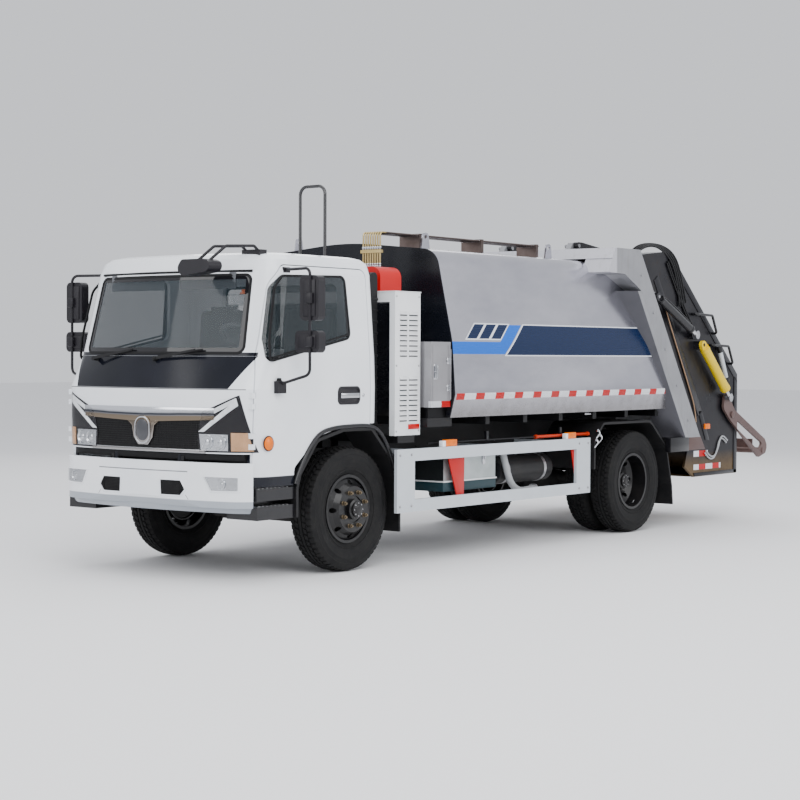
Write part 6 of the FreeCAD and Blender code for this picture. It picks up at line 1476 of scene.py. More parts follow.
class TRUCK_OT_cab_inside(bpy.types.Operator):
    """Add the instruments, the wheel's hub, the gear lever, the sun visors and the padded seats"""

    bl_idname = "truck.cab_inside"
    bl_label = "Inside of the cab"

    def execute(self, context):
        hood = slab("instrument_hood", (0.250, 0.650), (-0.985, -0.800), (1.580, 1.690), 0.035, 4)
        ride_cab(hood, "trim")
        profile = [(-0.010, 0.0), (-0.010, 0.045), (0.004, 0.045), (0.004, 0.040), (-0.002, 0.038),
                   (-0.002, 0.0)]
        dial = turned("dial", "Y", (0.370, behind(-0.797), 1.640), profile, 28)
        ride_cab(in_row(dial, (0.155, 0, 0), 2), "polished")
        profile = [(-0.030, 0.0), (-0.030, 0.060), (0.010, 0.072), (0.020, 0.060), (0.024, 0.0)]
        hub = turned("wheel_hub", "Z", (0, 0, 0), profile, 32)
        tilt = Matrix.Rotation(math.radians(-34.7), 4, "X")
        hub.data.transform(Matrix.Translation((0.450, behind(-0.620), 1.795)) @ tilt)
        ride_cab(hub, "trim")
        line = along_truck(((0.0, -0.62, 1.19), (0.0, -0.60, 1.42), (0.02, -0.66, 1.52), (0.02, -0.66, 1.60)))
        lever = pipe("gear_lever", line, 0.010, 8)
        profile = [(-0.02, 0.0), (-0.02, 0.018), (0.0, 0.028), (0.02, 0.026), (0.03, 0.012), (0.032, 0.0)]
        knob = turned("gear_knob", "Z", (0.02, behind(-0.66), 1.60), profile, 20)
        ride_cab(joined("gear_lever", [lever, knob]), "mirror_plastic")
        visors = [slab("sun_visor", (x, x + 0.58), (-0.975, -0.955), (2.175, 2.300), 0.009, 3)
                  for x in (-0.66, 0.08)]
        ride_cab(joined("sun_visors", visors), "trim")
        pads = []
        for x in (0.470, -0.470):
            pads.append(self.pad("cushion", (x, behind(-0.215), 1.460), (0.245, 0.225, 0.055), 3))
            pads.append(self.pad("backrest", (x, behind(0.075), 1.765), (0.235, 0.048, 0.290), -7))
            pads.append(self.pad("headrest", (x, behind(0.108), 2.020), (0.130, 0.040, 0.060), -7))
            base = slab("seat_base", (x - 0.200, x + 0.200), (-0.340, 0.040), (1.192, 1.402), 0.025, 3)
            pads.append(base)
        seats = joined("seat_pads", pads)
        finish(seats, "cab", "cloth", angle=60)
        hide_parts("seats")
        return {"FINISHED"}

    def pad(self, name, centre, half, lean):
        """A crowned cushion: a block drawn in along its edges, with a sewn groove round its face."""
        deselect()
        bpy.ops.mesh.primitive_cube_add(size=2, location=(0, 0, 0))
        item = named(name)
        bpy.ops.object.mode_set(mode="EDIT")
        bpy.ops.mesh.select_all(action="SELECT")
        bpy.ops.mesh.subdivide(number_cuts=5)
        bpy.ops.object.mode_set(mode="OBJECT")
        thin = half.index(min(half))
        for vertex in item.data.vertices:
            u, v = [vertex.co[axis] for axis in range(3) if axis != thin]
            crown = (1 - u ** 4) * (1 - v ** 4)
            pull = 1 - 0.05 * (u * u * (1 - v * v) + v * v * (1 - u * u))
            groove = 0.10 * math.exp(-((max(abs(u), abs(v)) - 0.66) / 0.10) ** 2)
            for axis in range(3):
                scale = (0.62 + 0.38 * crown - groove) if axis == thin else pull
                vertex.co[axis] = vertex.co[axis] * scale * half[axis]
        item.data.transform(Matrix.Translation(centre) @ Matrix.Rotation(math.radians(lean), 4, "X"))
        return modify(item, "SUBSURF", levels=2, render_levels=2)


# Pieces behind the cab

CABINET_X = 1.1180
POST_X = 1.0255
ROOF_PIPES_X = [0.470 + 0.025 * index for index in range(8)]


class TRUCK_OT_portal(bpy.types.Operator):
    """Add the portal's louvres, screws and reflectors, the cabinet's fittings, the valves and the hoses"""

    bl_idname = "truck.portal"
    bl_label = "Portal, cabinet and valves"

    def execute(self, context):
        self.add_louvres()
        places = [(POST_X, behind(y), z) for z in (1.075, 1.60, 2.155) for y in (0.520, 0.815)]
        pair(bolts("portal_screws", places, (1, 0, 0), 0.006, 0.005), "chassis", "plain_steel")
        red = slab("portal_reflector", (1.0252, 1.0300), (0.675, 0.822), (1.088, 1.130), 0.0015)
        pair(red, "chassis", "lamp_red")
        lid = slab("portal_cap", (-1.030, 1.030), (0.494, 0.841), (2.1905, 2.198), 0.002)
        finish(lid, "chassis", "white")
        hinges = []
        for z in (1.417, 1.639):
            profile = [(-0.030, 0.0), (-0.030, 0.006), (-0.011, 0.006), (-0.010, 0.0045), (-0.009, 0.006),
                       (0.009, 0.006), (0.010, 0.0045), (0.011, 0.006), (0.030, 0.006), (0.030, 0.0)]
            barrel = turned("hinge_barrel", "Z", (1.1210, behind(1.114), z), profile, 16)
            leaf = slab("hinge_leaf", (1.1182, 1.1225), (1.070, 1.112), (z - 0.026, z + 0.026), 0.001)
            hinges += [barrel, leaf]
        finish(joined("cabinet_hinges", hinges), "cabinet_leaf", "chrome")
        stem = rod("cabinet_stem", (1.117, behind(0.916), 1.550), (1.141, behind(0.916), 1.550), 0.008, 14)
        plate = slab("cabinet_lock_plate", (1.1182, 1.1215), (0.892, 0.940), (1.488, 1.612), 0.0012)
        line = along_truck(((1.139, 0.916, 1.496), (1.140, 0.916, 1.52), (1.140, 0.916, 1.58),
                            (1.139, 0.916, 1.604)))
        grip = pipe("cabinet_grip", line, 0.0105, 10)
        finish(joined("cabinet_handle", [stem, plate, grip]), "cabinet_leaf", "chrome")
        outline = side_view(((0.880, 1.282), (1.105, 1.282), (1.105, 1.776), (0.880, 1.776)))
        frame_piece = frame_shape("cabinet_door_frame", "X", outline, 0.012)
        thicken(frame_piece, (0.003, 0, 0))
        frame_piece.data.transform(Matrix.Translation((CABINET_X, 0, 0)))
        outward(frame_piece)
        finish(frame_piece, "cabinet_leaf", "cabinet")
        nuts = []
        y = behind(0.785)
        for x in ROOF_PIPES_X:
            nuts.append(rod("pipe_nut", (x, y, 2.402), (x, y, 2.424), 0.0115, 6, 0.0015))
            nuts.append(rod("pipe_neck", (x, y, 2.424), (x, y, 2.440), 0.0095, 12, 0.0015))
            nuts.append(rod("pipe_joint", (x, y, 2.556), (x, y, 2.578), 0.0115, 6, 0.0015))
        finish(joined("pipe_nuts", nuts), "chassis", "chrome")
        places = [(x, behind(0.5295), z) for x in (0.47, 0.64, 0.81) for z in (2.215, 2.30)]
        cover_screws = bolts("valve_cover_screws", places, (0, -1, 0), 0.006, 0.005)
        finish(cover_screws, "chassis", "plain_steel")
        profile = [(-0.004, 0.0), (-0.004, 0.040), (0.010, 0.040), (0.016, 0.030), (0.020, 0.012),
                   (0.040, 0.012), (0.044, 0.006), (0.044, 0.0)]
        finish(turned("valve_knob", "Z", (0.545, behind(0.640), 2.402), profile, 24), "chassis", "red")
        self.add_hoses()
        return {"FINISHED"}

    def add_louvres(self):
        """Two columns of louvres on each post with dark strips of painted shade under them, and the ribs of
        the air intake.
        """
        pitch = settings().louvre_pitch
        slats, slots = [], []
        for first, last in ((0.560, 0.660), (0.680, 0.800)):
            for foot in (1.158, 1.678):
                corners = [(1.0235, foot + 0.002), (1.0370, foot + 0.005), (1.0370, foot + 0.008),
                           (1.0255, foot + 0.030), (1.0235, foot + 0.030)]
                slat = sheet_plate("louvre", "Y", behind(first), corners, last - first, 0.0012, 1)
                # Painted shade: a dark strip under each louvre stands for the shadow in the slot beneath it.
                slot = slab("louvre_slot", (1.0240, 1.0262), (first + 0.003, last - 0.003),
                            (foot - 0.006, foot + 0.004), 0)
                rows = int(0.375 / pitch)
                slats.append(in_row(slat, (0, 0, pitch), rows))
                slots.append(in_row(slot, (0, 0, pitch), rows))
        pair(joined("louvres", slats), "chassis", "white")
        pair(joined("louvre_slots", slots), "chassis", "rubber")
        rib = slab("intake_rib", (0.719, 0.881), (0.334, 0.466), (1.130, 1.150), 0.004)
        finish(in_row(rib, (0, 0, 0.09), 12), "chassis", "plastic")

    def add_hoses(self):
        """The dark hoses and the oil tank that show between the cab and the portal."""
        lines = []
        for x in (0.56, 0.62, 0.68, 0.74):
            line = along_truck(((x, 0.60, 2.105), (x, 0.59, 1.90), (x - 0.05, 0.62, 1.60),
                                (x - 0.02, 0.60, 1.30), (x, 0.62, 1.045)))
            lines.append(pipe("portal_hose", line, 0.012, 8))
        profile = [(0.0, 0.0), (0.0, 0.140), (0.020, 0.150), (0.600, 0.150), (0.640, 0.135), (0.650, 0.060),
                   (0.670, 0.055), (0.672, 0.0)]
        tank = turned("oil_tank", "Z", (0.30, behind(0.665), 1.045), profile, 40)
        finish(joined("portal_hoses", lines), "chassis", "hose")
        finish(tank, "chassis", "gate_black")


# Pieces along the sides

GUARD_LAMPS = ((1.05, 1.25), (2.93, 3.10))
SIDE_PIPE = (1.020, 0.965)
ARCH_LIP = ((-0.700, 0.720), (-0.672, 0.790), (-0.560, 0.960), (-0.430, 1.090), (-0.250, 1.128),
            (0.020, 1.136), (0.230, 1.130), (0.350, 1.060), (0.460, 0.900), (0.540, 0.740), (0.580, 0.560))


class TRUCK_OT_side_fittings(bpy.types.Operator):
    """Add the guards' lamps, bolts and brackets, the box and tank trims, the hoses and the arch lips"""

    bl_idname = "truck.side_fittings"
    bl_label = "Fittings along the sides"

    def execute(self, context):
        amber, white = [], []
        for front, rear in GUARD_LAMPS:
            split = front + (rear - front) * 0.22
            white.append(slab("lamp_end", (1.060, 1.100), (front, split), (0.9355, 0.984), 0.004, 3))
            body = slab("lamp_body", (1.058, 1.102), (split - 0.004, rear), (0.9355, 0.992), 0.006, 3)
            amber.append(body)
        pair(joined("guard_lamps", amber), "chassis", "amber")
        pair(joined("guard_lamp_ends", white), "chassis", "light")
        places = [(1.1055, behind(y), z) for y in (0.47, 0.62, 3.15, 3.30) for z in (0.478, 0.887)]
        pair(bolts("guard_bolts", places, (1, 0, 0), 0.008, 0.006), "chassis", "plain_steel")
        teal = slab("battery_tray", (0.516, 1.0335), (1.146, 1.914), (0.556, 0.632), 0.004)
        finish(teal, "chassis", "teal")
        strip = slab("battery_strip", (0.514, 1.0420), (1.142, 1.918), (0.632, 0.645), 0.003)
        finish(strip, "chassis", "light_strip")
        latches = []
        for y in (1.33, 1.73):
            latches.append(slab("latch", (1.0300, 1.0380), (y - 0.02, y + 0.02), (0.760, 0.850), 0.002))
            loop = along_truck(((1.040, y - 0.012, 0.80), (1.044, y - 0.012, 0.868),
                                (1.044, y + 0.012, 0.868), (1.040, y + 0.012, 0.80)))
            latches.append(pipe("latch_loop", loop, 0.003, 6))
        finish(joined("battery_latches", latches), "chassis", "chrome")
        self.add_tanks()
        self.add_hoses()
        self.add_brackets()
        self.add_arch_lips()
        return {"FINISHED"}

    def add_arch_lips(self):
        """The rounded lips round the front arches."""
        route = [(1.014, behind(y), z) for y, z in ARCH_LIP]
        pair(pipe("arch_lip", route, 0.017, 12, 8), "chassis", "gate_black", slot="black_plastic", angle=60)

    def add_brackets(self):
        """The red plates behind the guards' rails, and the orange pipe with its hangers."""
        plates = [sheet_plate("guard_bracket", "X", 1.0660, side_view(outline), 0.011, 0.002)
                  for outline in (((1.150, 0.868), (1.390, 0.868), (1.382, 0.500), (1.290, 0.500)),
                                  ((3.050, 0.868), (3.240, 0.868), (3.190, 0.500), (3.150, 0.500)))]
        pair(joined("guard_brackets", plates), "chassis", "red")
        x, z = SIDE_PIPE
        thin = rod("side_pipe_thin", (x, behind(0.950), z), (x, behind(2.552), z), 0.006, 12)
        thick = rod("side_pipe", (x, behind(2.550), z), (x, behind(3.425), z), 0.014, 20, 0.003)
        hangers = [slab("side_pipe_hanger", (1.004, 1.028), (y, y + 0.030), (0.962, 1.040), 0.002)
                   for y in (1.780, 2.940)]
        finish(joined("side_pipe_line", [thin] + hangers), "chassis", "gate_black")
        finish(thick, "chassis", "orange")

    def add_tanks(self):
        bands, seams = [], []
        for x in (0.590, 0.850):
            for y in (2.21, 2.79):
                profile = [(-0.018, 0.1178), (-0.018, 0.1235), (0.018, 0.1235), (0.018, 0.1178)]
                bands.append(turned("tank_band", "Y", (x, behind(y), 0.680), profile, 40))
            for y, way in ((2.090, -1), (2.910, 1)):
                profile = [(0.0, 0.0), (0.0, 0.118), (0.006 * way, 0.117), (0.016 * way, 0.090),
                           (0.020 * way, 0.045), (0.021 * way, 0.0)]
                seams.append(turned("tank_end", "Y", (x, behind(y), 0.680), profile, 40))
        finish(joined("tank_bands", bands), "chassis", "plain_steel")
        finish(joined("tank_ends", seams), "chassis", "gate_black")
        straps = []
        for y in (1.40, 2.06):
            straps.append(slab("fuel_strap", (-1.0345, -1.0295), (y, y + 0.05), (0.600, 0.780), 0.001))
            straps.append(slab("fuel_strap_top", (-0.950, -0.600), (y, y + 0.05), (0.8595, 0.8645), 0.001))
        finish(joined("fuel_straps", straps), "chassis", "plain_steel")
        profile = [(-0.002, 0.0), (-0.002, 0.044), (0.012, 0.044), (0.014, 0.052), (0.034, 0.052),
                   (0.040, 0.046), (0.042, 0.0)]
        finish(turned("fuel_cap", "Z", (-0.80, behind(1.75), 0.860), profile, 28), "chassis", "plastic")

    def add_hoses(self):
        spine = along_truck(((0.99, 2.06, 0.90), (0.99, 2.10, 0.80), (1.00, 2.13, 0.68), (1.00, 2.20, 0.56),
                             (0.98, 2.34, 0.50), (0.94, 2.52, 0.49), (0.90, 2.70, 0.50)))
        finish(pipe("drain_hose", spine, 0.030, 14, 12), "chassis", "grey_hose", angle=50)
        collars = []
        for place in (spine[0], spine[-1]):
            profile = [(-0.025, 0.028), (-0.025, 0.036), (0.025, 0.036), (0.025, 0.028)]
            collars.append(turned("hose_collar", "Z" if place is spine[0] else "Y", place, profile, 24))
        finish(joined("hose_collars", collars), "chassis", "plain_steel")
        sleeves = []
        for low, high in ((3.405, 3.440), (2.545, 2.575)):
            profile = [(-0.016, 0.0), (-0.016, 0.019), (-0.004, 0.019), (-0.002, 0.016), (0.002, 0.016),
                       (0.004, 0.019), (0.016, 0.019), (0.016, 0.0)]
            middle = (SIDE_PIPE[0], behind((low + high) / 2), SIDE_PIPE[1])
            sleeves.append(turned("pipe_sleeve", "Y", middle, profile, 6))
        finish(joined("pipe_sleeves", sleeves), "chassis", "orange")
        fittings = []
        for y, z in ((3.46, 0.995), (3.50, 0.950), (3.43, 0.910)):
            fittings.append(rod("fender_fitting", (1.100, behind(y), z), (1.118, behind(y), z), 0.016, 6,
                                0.002))
            line = along_truck(((1.120, y, z), (1.132, y + 0.01, z - 0.02), (1.122, y - 0.01, z - 0.05),
                                (1.112, y - 0.03, z - 0.07)))
            fittings.append(pipe("fender_line", line, 0.006, 8))
        finish(joined("fender_fittings", fittings), "chassis", "chrome")


RING_X = 1.1905
FLANK_FOOT = 0.882
FLANK_TOP = 2.300


def ring_edge(z):
    """How far behind the front axle the ring's slanted rear edge lies at a height."""
    top_y, top_z, run, fall = 4.100, 2.660, 1.180, 1.760
    return top_y + (top_z - z) * (run / fall)


class TRUCK_OT_container_trims(bpy.types.Operator):
    """Add the roof pipes' clips, the beacon, the drain stubs and the ring's bolts, toe and flank"""

    bl_idname = "truck.container_trims"
    bl_label = "Container trims"

    def execute(self, context):
        clips = []
        for y in (1.30, 2.20, 3.08):
            for x in ROOF_PIPES_X:
                profile = [(-0.024, 0.0072), (-0.024, 0.0100), (0.024, 0.0100), (0.024, 0.0072)]
                clips.append(turned("clip", "Y", (x, behind(y + 0.020), 2.695), profile, 10))
        finish(joined("roof_pipe_clips", clips), "chassis", "chrome")
        profile = [(0.0, 0.0), (0.0, 0.070), (0.020, 0.070), (0.024, 0.058), (0.110, 0.050), (0.130, 0.030),
                   (0.134, 0.0)]
        finish(turned("roof_beacon", "Z", (-0.70, behind(0.66), 2.198), profile, 32), "chassis", "amber")
        places = [(RING_X, behind(ring_edge(z) - 0.14), z) for z in (1.05, 1.40, 1.75, 2.10, 2.45)]
        pair(bolts("ring_bolts", places, (1, 0, 0), 0.011, 0.007), "chassis", "ring")
        toe = slab("ring_toe", (1.116, 1.176), (4.720, 5.090), (0.745, 0.886), 0.004)
        pair(toe, "chassis", "gate_black")
        self.add_flank()
        drain = rod("drain_stub", (1.06, behind(3.30), 1.155), (1.06, behind(3.40), 1.150), 0.014, 16, 0.003)
        pair(drain, "chassis", "chrome")
        return {"FINISHED"}

    def add_flank(self):
        """The ring's slanted front, from its outer face in to the container's skin, in a darker finish that
        is painted shade.
        """
        item = block("ring_flank", (0, 0, 0), (1, 1, 1), 0)
        for vertex in item.data.vertices:
            inner, ahead, top = vertex.co.x < 0.5, vertex.co.y < 0.5, vertex.co.z > 0.5
            z = FLANK_TOP if top else FLANK_FOOT
            reach = 0.450 if inner and ahead else 0.305 if ahead else 0.300
            vertex.co = (0.955 if inner else 1.189, behind(ring_edge(z) - reach), z)
        outward(item)
        pair(item, "chassis", "flank")
        edge_outline = [(behind(ring_edge(z) - reach), z) for z, reach in (
            (FLANK_FOOT, 0.301), (FLANK_TOP, 0.301), (FLANK_TOP, 0.236), (FLANK_FOOT, 0.236))]
        pair(sheet_plate("ring_edge", "X", 0.955, edge_outline, 0.2345, 0.002), "chassis", "ring")


# Pieces of the tailgate

GATE_EDGES = (
    ("front", ((4.145, 2.640), (5.285, 0.905), (5.355, 0.905), (4.215, 2.640))),
    ("slope", ((4.945, 2.660), (6.325, 1.500), (6.325, 1.410), (4.905, 2.600))),
    ("rear", ((6.258, 1.480), (6.328, 1.430), (6.328, 0.470), (6.258, 0.470))),
    ("foot", ((5.410, 0.470), (6.320, 0.470), (6.320, 0.505), (5.395, 0.505))),
    ("spar", ((4.560, 2.420), (4.640, 2.470), (5.560, 1.130), (5.480, 1.080))),
    ("brace", ((5.480, 1.130), (5.560, 1.130), (5.720, 0.830), (5.640, 0.830))),
)


GATE_X = 1.0600
GATE_HOSE = ((4.80, 2.60), (5.235, 1.995), (5.45, 1.865))
GATE_LOOP = ((5.62, 0.700), (5.68, 0.645), (5.80, 0.630), (5.88, 0.720), (5.92, 0.820), (5.99, 0.850),
             (6.08, 0.790))
GATE_PIPE = ((4.76, 2.20), (4.82, 2.08), (5.05, 1.72), (5.28, 1.36), (5.40, 1.16), (5.42, 1.02))
HOSE_STEP = 0.028
APRON_Y = 6.3302


def on_gate(item, key, angle=35):
    return finish(item, "tailgate", key, angle=angle)


class TRUCK_OT_tailgate_trims(bpy.types.Operator):
    """Add the flanges, hoses, pipes, lamps and plates of the tailgate"""

    bl_idname = "truck.tailgate_trims"
    bl_label = "Tailgate trims"

    def execute(self, context):
        strips = [sheet_plate("gate_" + label, "X", GATE_X, side_view(outline), 0.007, 0.0015)
                  for label, outline in GATE_EDGES]
        pair(joined("gate_flanges", strips), "tailgate", "gate_trim")
        corners = side_view(((5.300, 0.880), (5.530, 0.880), (5.640, 0.740), (5.280, 0.740)))
        heel = sheet_plate("gate_heel", "X", GATE_X, corners, 0.004, 0.001)
        pair(heel, "tailgate", "arm", slot="stainless")
        lines = []
        for index in range(4):
            shift = HOSE_STEP * index
            line = along_truck(((0.98 - shift, 4.40, 2.690), (1.00 - shift, 4.46, 2.745 + shift * 0.3),
                                (1.04 - shift * 0.3, 4.66 + shift, 2.765 + shift * 0.3),
                                (1.075, 4.88 + shift, 2.640 + shift * 0.6),
                                (1.078, 5.00 + shift * 1.3, 2.420),
                                (1.074, 5.06 + shift * 1.5, 2.180 + shift * 0.5)))
            lines.append(pipe("arch_hose", line, 0.010, 8, 8))
        on_gate(joined("arch_hoses", lines), "hose", angle=50)
        twins = [pipe("gate_hose", [(1.070, behind(y + shift), z + shift * 0.7) for y, z in GATE_HOSE],
                      0.009, 8, 8) for shift in (0.0, 0.024)]
        loops = [pipe("gate_loop", [(1.072, behind(y + shift), z + shift) for y, z in GATE_LOOP], 0.009, 8, 8)
                 for shift in (0.0, 0.022)]
        on_gate(joined("gate_hoses", twins), "hose", angle=50)
        on_gate(joined("gate_loops", loops), "grey_hose", angle=50)
        profile = [(-0.020, 0.0), (-0.020, 0.013), (0.012, 0.013), (0.016, 0.011), (0.020, 0.0)]
        nuts = [turned("hose_end", "Y", (0.98 - HOSE_STEP * index, behind(4.395), 2.688), profile, 6)
                for index in range(4)]
        on_gate(joined("hose_ends", nuts), "chrome")
        tan = pipe("gate_pipe", [(1.071, behind(y), z) for y, z in GATE_PIPE], 0.008, 8)
        on_gate(tan, "copper", angle=50)
        self.add_small_cylinder()
        self.add_lamps()
        self.add_back()
        return {"FINISHED"}

    def add_small_cylinder(self):
        """The light grey cylinder near the gate's rear edge with its black ends."""
        start, end = Vector((1.095, behind(5.88), 1.74)), Vector((1.095, behind(6.02), 1.46))
        along = (end - start).normalized()
        pair(rod("lock_barrel", start, end, 0.024, 24, 0.004), "tailgate", "guard")
        ends = [rod("lock_top", start - along * 0.05, start + along * 0.012, 0.028, 20, 0.004),
                rod("lock_foot", end - along * 0.012, end + along * 0.04, 0.028, 20, 0.004),
                slab("lock_bracket_top", (GATE_X, 1.092), (5.835, 5.885), (1.755, 1.805), 0.004),
                slab("lock_bracket_foot", (GATE_X, 1.092), (6.010, 6.055), (1.400, 1.445), 0.004)]
        pair(joined("lock_ends", ends), "tailgate", "gate_black")

    def add_lamps(self):
        lamp = slab("marker_lamp", (1.0605, 1.0860), (5.60, 5.70), (0.945, 0.998), 0.005, 3)
        pair(lamp, "tailgate", "amber")
        back = behind(6.355)
        case = block("rear_lamp_case", (0.780, behind(6.328), 0.600), (0.960, back, 0.750), 0.004)
        pair(case, "tailgate", "plastic")
        for label, (z0, z1), key in (("upper", (0.704, 0.746), "lamp_red"),
                                     ("middle", (0.654, 0.696), "amber"),
                                     ("lower", (0.604, 0.646), "light")):
            lens_piece = block("rear_lens_" + label, (0.785, back - 0.002, z0), (0.955, back + 0.010, z1),
                               0.005, 3)
            pair(lens_piece, "tailgate", key)
        red = slab("rear_reflector", (0.60, 0.70), (APRON_Y, 6.336), (0.640, 0.690), 0.002)
        pair(red, "tailgate", "lamp_red")

    def add_back(self):
        plate = slab("number_plate_blank", (-0.22, 0.22), (APRON_Y, 6.3345), (0.700, 0.840), 0.002)
        on_gate(plate, "light_strip")
        on_gate(slab("sill_edge", (-1.034, 1.034), (6.262, 6.336), (1.1205, 1.130), 0.003), "worn")
        ribs = [slab("apron_rib", (x - 0.02, x + 0.02), (APRON_Y, 6.342), (0.475, 1.055), 0.003)
                for x in (-0.99, -0.42, 0.42, 0.99)]
        on_gate(joined("apron_ribs", ribs), "gate_trim")
        on_gate(slab("step_plate", (-0.38, 0.38), (6.331, 6.420), (0.500, 0.512), 0.003), "gate_trim")


# Name, base pin and rod pin (behind the front axle, height), bore, the barrel's share of the length, finish
CYLINDERS = (
    ("bin", (5.420, 1.800), (6.020, 1.260), 0.050, 0.84, "yellow"),
    ("lift", (4.500, 2.260), (5.290, 1.900), 0.040, 0.86, "black"),
)
CYLINDER_X = 1.140


class TRUCK_OT_lifter_trims(bpy.types.Operator):
    """Add the comb's hooks, the caps on the lifter's pins and the cylinders' glands and ports"""

    bl_idname = "truck.lifter_trims"
    bl_label = "Lifter and cylinder trims"

    def execute(self, context):
        corners = side_view(((6.872, 0.79), (6.900, 0.80), (6.906, 0.772), (6.888, 0.690), (6.871, 0.690)))
        hook = sheet_plate("hook", "X", -0.92, corners, 0.020, 0.002)
        finish(in_row(hook, (0.1525, 0, 0), 13), "bin_lifter", "arm")
        profile = [(-0.006, 0.0), (-0.006, 0.034), (0.003, 0.034), (0.007, 0.026), (0.007, 0.0)]
        cap = turned("lifter_cap", "X", (1.1105, behind(6.150), 1.080), profile, 28)
        profile = [(-0.002, 0.0), (-0.002, 0.030), (0.006, 0.030), (0.009, 0.024), (0.009, 0.0)]
        tube_cap = turned("tube_cap", "X", (1.1002, behind(6.860), 0.680), profile, 28)
        pair(joined("lifter_caps", [cap, tube_cap]), "bin_lifter", "arm")
        for entry in CYLINDERS:
            self.cylinder(*entry)
        return {"FINISHED"}

    def cylinder(self, label, base, eye, bore, share, key):
        """Gland, end ring, ports and feed pipe of one pair of cylinders."""
        start = Vector((CYLINDER_X, behind(base[0]), base[1]))
        end = Vector((CYLINDER_X, behind(eye[0]), eye[1]))
        along = (end - start).normalized()
        mouth = start + along * ((end - start).length * share)
        up = Vector((1, 0, 0)).cross(along).normalized()
        if up.z < 0:
            up = -up
        ring = rod("gland", mouth - along * 0.035, mouth - along * 0.001, bore + 0.004, 32, 0.003)
        tail_ring = rod("tail_ring", start + along * 0.062, start + along * 0.085, bore + 0.003, 32, 0.003)
        near, far = start + along * 0.105, mouth - along * 0.060
        ports = [rod("port", spot + up * (bore - 0.004), spot + up * (bore + 0.016), 0.012, 6, 0.002)
                 for spot in (near, far)]
        route = [near + up * (bore + 0.010), near + up * (bore + 0.022) + along * 0.02,
                 far + up * (bore + 0.022) - along * 0.02, far + up * (bore + 0.010)]
        line = pipe("feed_line", route, 0.0055, 8)
        group = joined(label + "_cylinder_trims", [ring, tail_ring, line] + ports)
        pair(group, label + "_cylinder_barrels", key)


# Pieces under the truck

class TRUCK_OT_underside(bpy.types.Operator):
    """Add the springs' U-bolts, brake chambers, rail bolts, step treads and the exhaust"""

    bl_idname = "truck.underside"
    bl_label = "Fittings under the truck"

    def execute(self, context):
        bows = []
        for y, low, high in ((FRONT_AXLE_Y, 0.395, 0.525), (REAR_AXLE_Y, 0.410, 0.640)):
            for shift in (-0.045, 0.045):
                for side in (1, -1):
                    x = 0.376 * side
                    route = [(x - 0.046, y + shift, low), (x - 0.046, y + shift, high),
                             (x - 0.046, y + shift, high + 0.02), (x + 0.046, y + shift, high + 0.02),
                             (x + 0.046, y + shift, high), (x + 0.046, y + shift, low)]
                    bows.append(pipe("u_bolt", route, 0.008, 8))
        finish(joined("u_bolts", bows), "chassis", "chassis")
        chambers = []
        for side in (1, -1):
            profile = [(-0.080, 0.0), (-0.080, 0.050), (-0.030, 0.075), (-0.004, 0.078), (-0.004, 0.086),
                       (0.004, 0.086), (0.004, 0.078), (0.060, 0.074), (0.085, 0.050), (0.085, 0.0)]
            chambers.append(turned("brake_chamber", "Y", (0.46 * side, REAR_AXLE_Y + 0.20, 0.560), profile,
                                   32))
        finish(joined("brake_chambers", chambers), "chassis", "gate_black")
        rivet_places = [(0.4102, behind(y), z) for y in (-0.90, -0.50, 1.0, 1.6, 2.2, 2.8, 3.4, 4.0, 4.6)
                        for z in (0.735, 0.895)]
        pair(bolts("rail_bolts", rivet_places, (1, 0, 0), 0.009, 0.008), "chassis", "chassis")
        treads = []
        for z in (0.5702, 0.7002):
            bar = slab("tread_bar", (0.875, 0.992), (-1.085, -1.065), (z, z + 0.004), 0.0012)
            treads.append(in_row(bar, (0, 0.045, 0), 8))
        pair(joined("step_treads", treads), "chassis", "plain_steel")
        profile = [(-0.24, 0.0), (-0.24, 0.060), (-0.22, 0.110), (-0.21, 0.116), (0.21, 0.116),
                   (0.22, 0.110), (0.24, 0.060), (0.24, 0.0)]
        muffler = turned("muffler", "Y", (-0.62, behind(0.86), 0.60), profile, 40)
        route = [(-0.62, behind(0.64), 0.60), (-0.62, behind(0.60), 0.595), (-0.62, behind(0.575), 0.55),
                 (-0.62, behind(0.575), 0.45)]
        outlet = pipe("tail_pipe", route, 0.032, 14)
        finish(joined("exhaust", [muffler, outlet]), "chassis", "worn", slot="chassis_paint")
        return {"FINISHED"}


# The studio

# Name, place, aim, width, height and power of each light
PANELS = (
    ("key_panel", (9, -9, 10), (0, -1, 1.2), 9, 9, 1250),
    ("side_panel", (13, 3, 6), (0, 1, 1.4), 10, 7, 600),
    ("top_panel", (0, 0, 12), (0, 0, 0), 9, 12, 700),
    ("back_panel", (-8, 9, 7), (0, 0, 1.5), 7, 6, 300),
    ("front_panel", (-4, -14, 6), (0, -3, 1.5), 8, 6, 450),
)
CAMERA_PLACE = (9.8845, -13.800, 1.6893)
CAMERA_ANGLES = (37.507, 1.430, 0.249)
CAMERA_LENS = 81.85


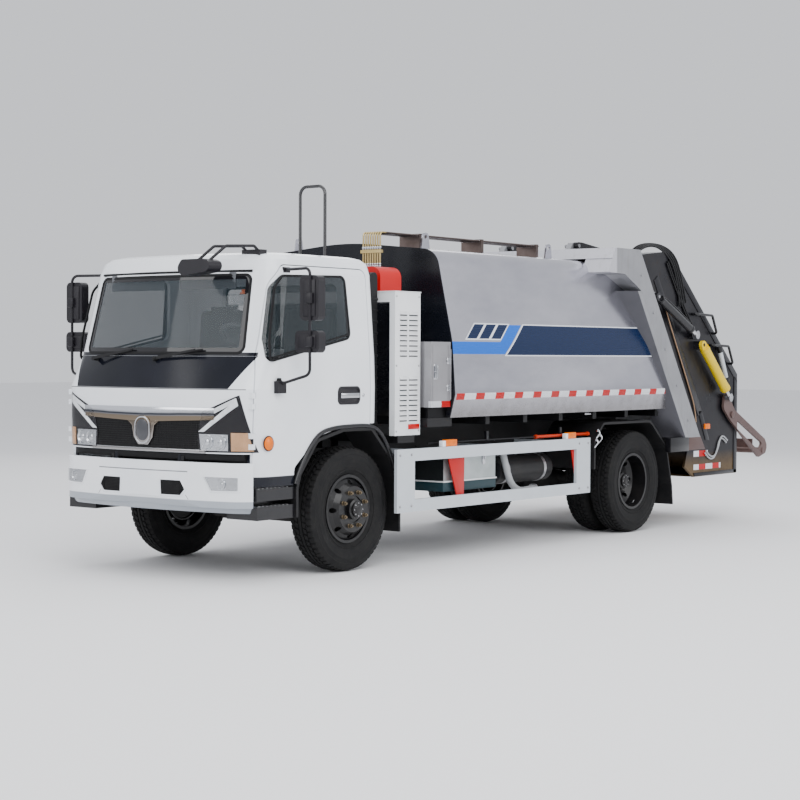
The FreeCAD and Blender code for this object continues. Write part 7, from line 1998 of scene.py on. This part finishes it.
class TRUCK_OT_stage(bpy.types.Operator):
    """Add the floor, the soft lights and the camera at the photograph's angle"""

    bl_idname = "truck.stage"
    bl_label = "Studio and camera"

    def execute(self, context):
        self.add_floor()
        self.add_lights()
        self.add_camera()
        return {"FINISHED"}

    def add_floor(self):
        deselect()
        bpy.ops.mesh.primitive_plane_add(size=140, location=(0, 0, -0.002))
        floor = named("studio_floor")
        paint = Paint("studio_floor", Roughness=0.9)
        tone = paint.noise(0.3)
        colour = rgb(*settings().floor_colour)
        paint.set(Base_Color=paint.blend(tone.ramp(0.3, 0.7) * 0.5, colour, rgb(0.84, 0.84, 0.85)),
                  Roughness=tone * 0.1 + 0.85)
        floor.data.materials.append(paint.material)

    def add_lights(self):
        world = bpy.data.worlds.new("studio_sky")
        world.use_nodes = True
        background = world.node_tree.nodes["Background"]
        background.inputs["Color"].default_value = rgb(0.93, 0.95, 1.0)
        background.inputs["Strength"].default_value = settings().soft_light
        bpy.context.scene.world = world
        for name, place, aim, width, height, power in PANELS:
            light = bpy.data.lights.new(name, "AREA")
            light.shape = "RECTANGLE"
            light.size = width
            light.size_y = height
            light.energy = power
            lamp = bpy.data.objects.new(name, light)
            lamp.location = place
            lamp.rotation_euler = (Vector(aim) - Vector(place)).to_track_quat("-Z", "Y").to_euler()
            bpy.context.collection.objects.link(lamp)

    def add_camera(self):
        yaw, pitch, roll = (math.radians(angle) for angle in CAMERA_ANGLES)
        ahead = Vector((-math.sin(yaw) * math.cos(pitch), math.cos(yaw) * math.cos(pitch), -math.sin(pitch)))
        level = ahead.cross(Vector((0, 0, 1))).normalized()
        upright = level.cross(ahead)
        right = level * math.cos(roll) + upright * math.sin(roll)
        up = upright * math.cos(roll) - level * math.sin(roll)
        view = bpy.data.cameras.new("photo_camera")
        view.lens = CAMERA_LENS
        view.sensor_width = 36
        view.clip_end = 200
        camera = bpy.data.objects.new("photo_camera", view)
        turn = Matrix((right, up, -ahead)).transposed()
        camera.matrix_world = Matrix.Translation(CAMERA_PLACE) @ turn.to_4x4()
        bpy.context.collection.objects.link(camera)
        bpy.context.scene.camera = camera


CLASSES = [
    TruckSettings,
    TRUCK_OT_finishes,
    TRUCK_OT_tyres,
    TRUCK_OT_wheel_fittings,
    TRUCK_OT_grille,
    TRUCK_OT_headlamps,
    TRUCK_OT_windows,
    TRUCK_OT_doors,
    TRUCK_OT_wiper_blades,
    TRUCK_OT_cab_inside,
    TRUCK_OT_portal,
    TRUCK_OT_side_fittings,
    TRUCK_OT_container_trims,
    TRUCK_OT_tailgate_trims,
    TRUCK_OT_lifter_trims,
    TRUCK_OT_underside,
    TRUCK_OT_stage,
]


class TRUCK_PT_panel(bpy.types.Panel):
    """Lists the truck's settings and its pieces"""

    bl_idname = "TRUCK_PT_panel"
    bl_label = "Truck"
    bl_space_type = "VIEW_3D"
    bl_region_type = "UI"
    bl_category = "Truck"

    def draw(self, context):
        for key in TruckSettings.__annotations__:
            self.layout.prop(context.scene.truck_settings, key)
        for operator in CLASSES[1:]:
            self.layout.operator(operator.bl_idname)


def register():
    for entry in CLASSES + [TRUCK_PT_panel]:
        bpy.utils.register_class(entry)
    bpy.types.Scene.truck_settings = bpy.props.PointerProperty(type=TruckSettings)


def unregister():
    del bpy.types.Scene.truck_settings
    for entry in reversed(CLASSES + [TRUCK_PT_panel]):
        bpy.utils.unregister_class(entry)


def main():
    register()
    for operator in CLASSES[1:]:
        group, word = operator.bl_idname.split(".")
        getattr(getattr(bpy.ops, group), word)()


if __name__ == "__main__":
    main()
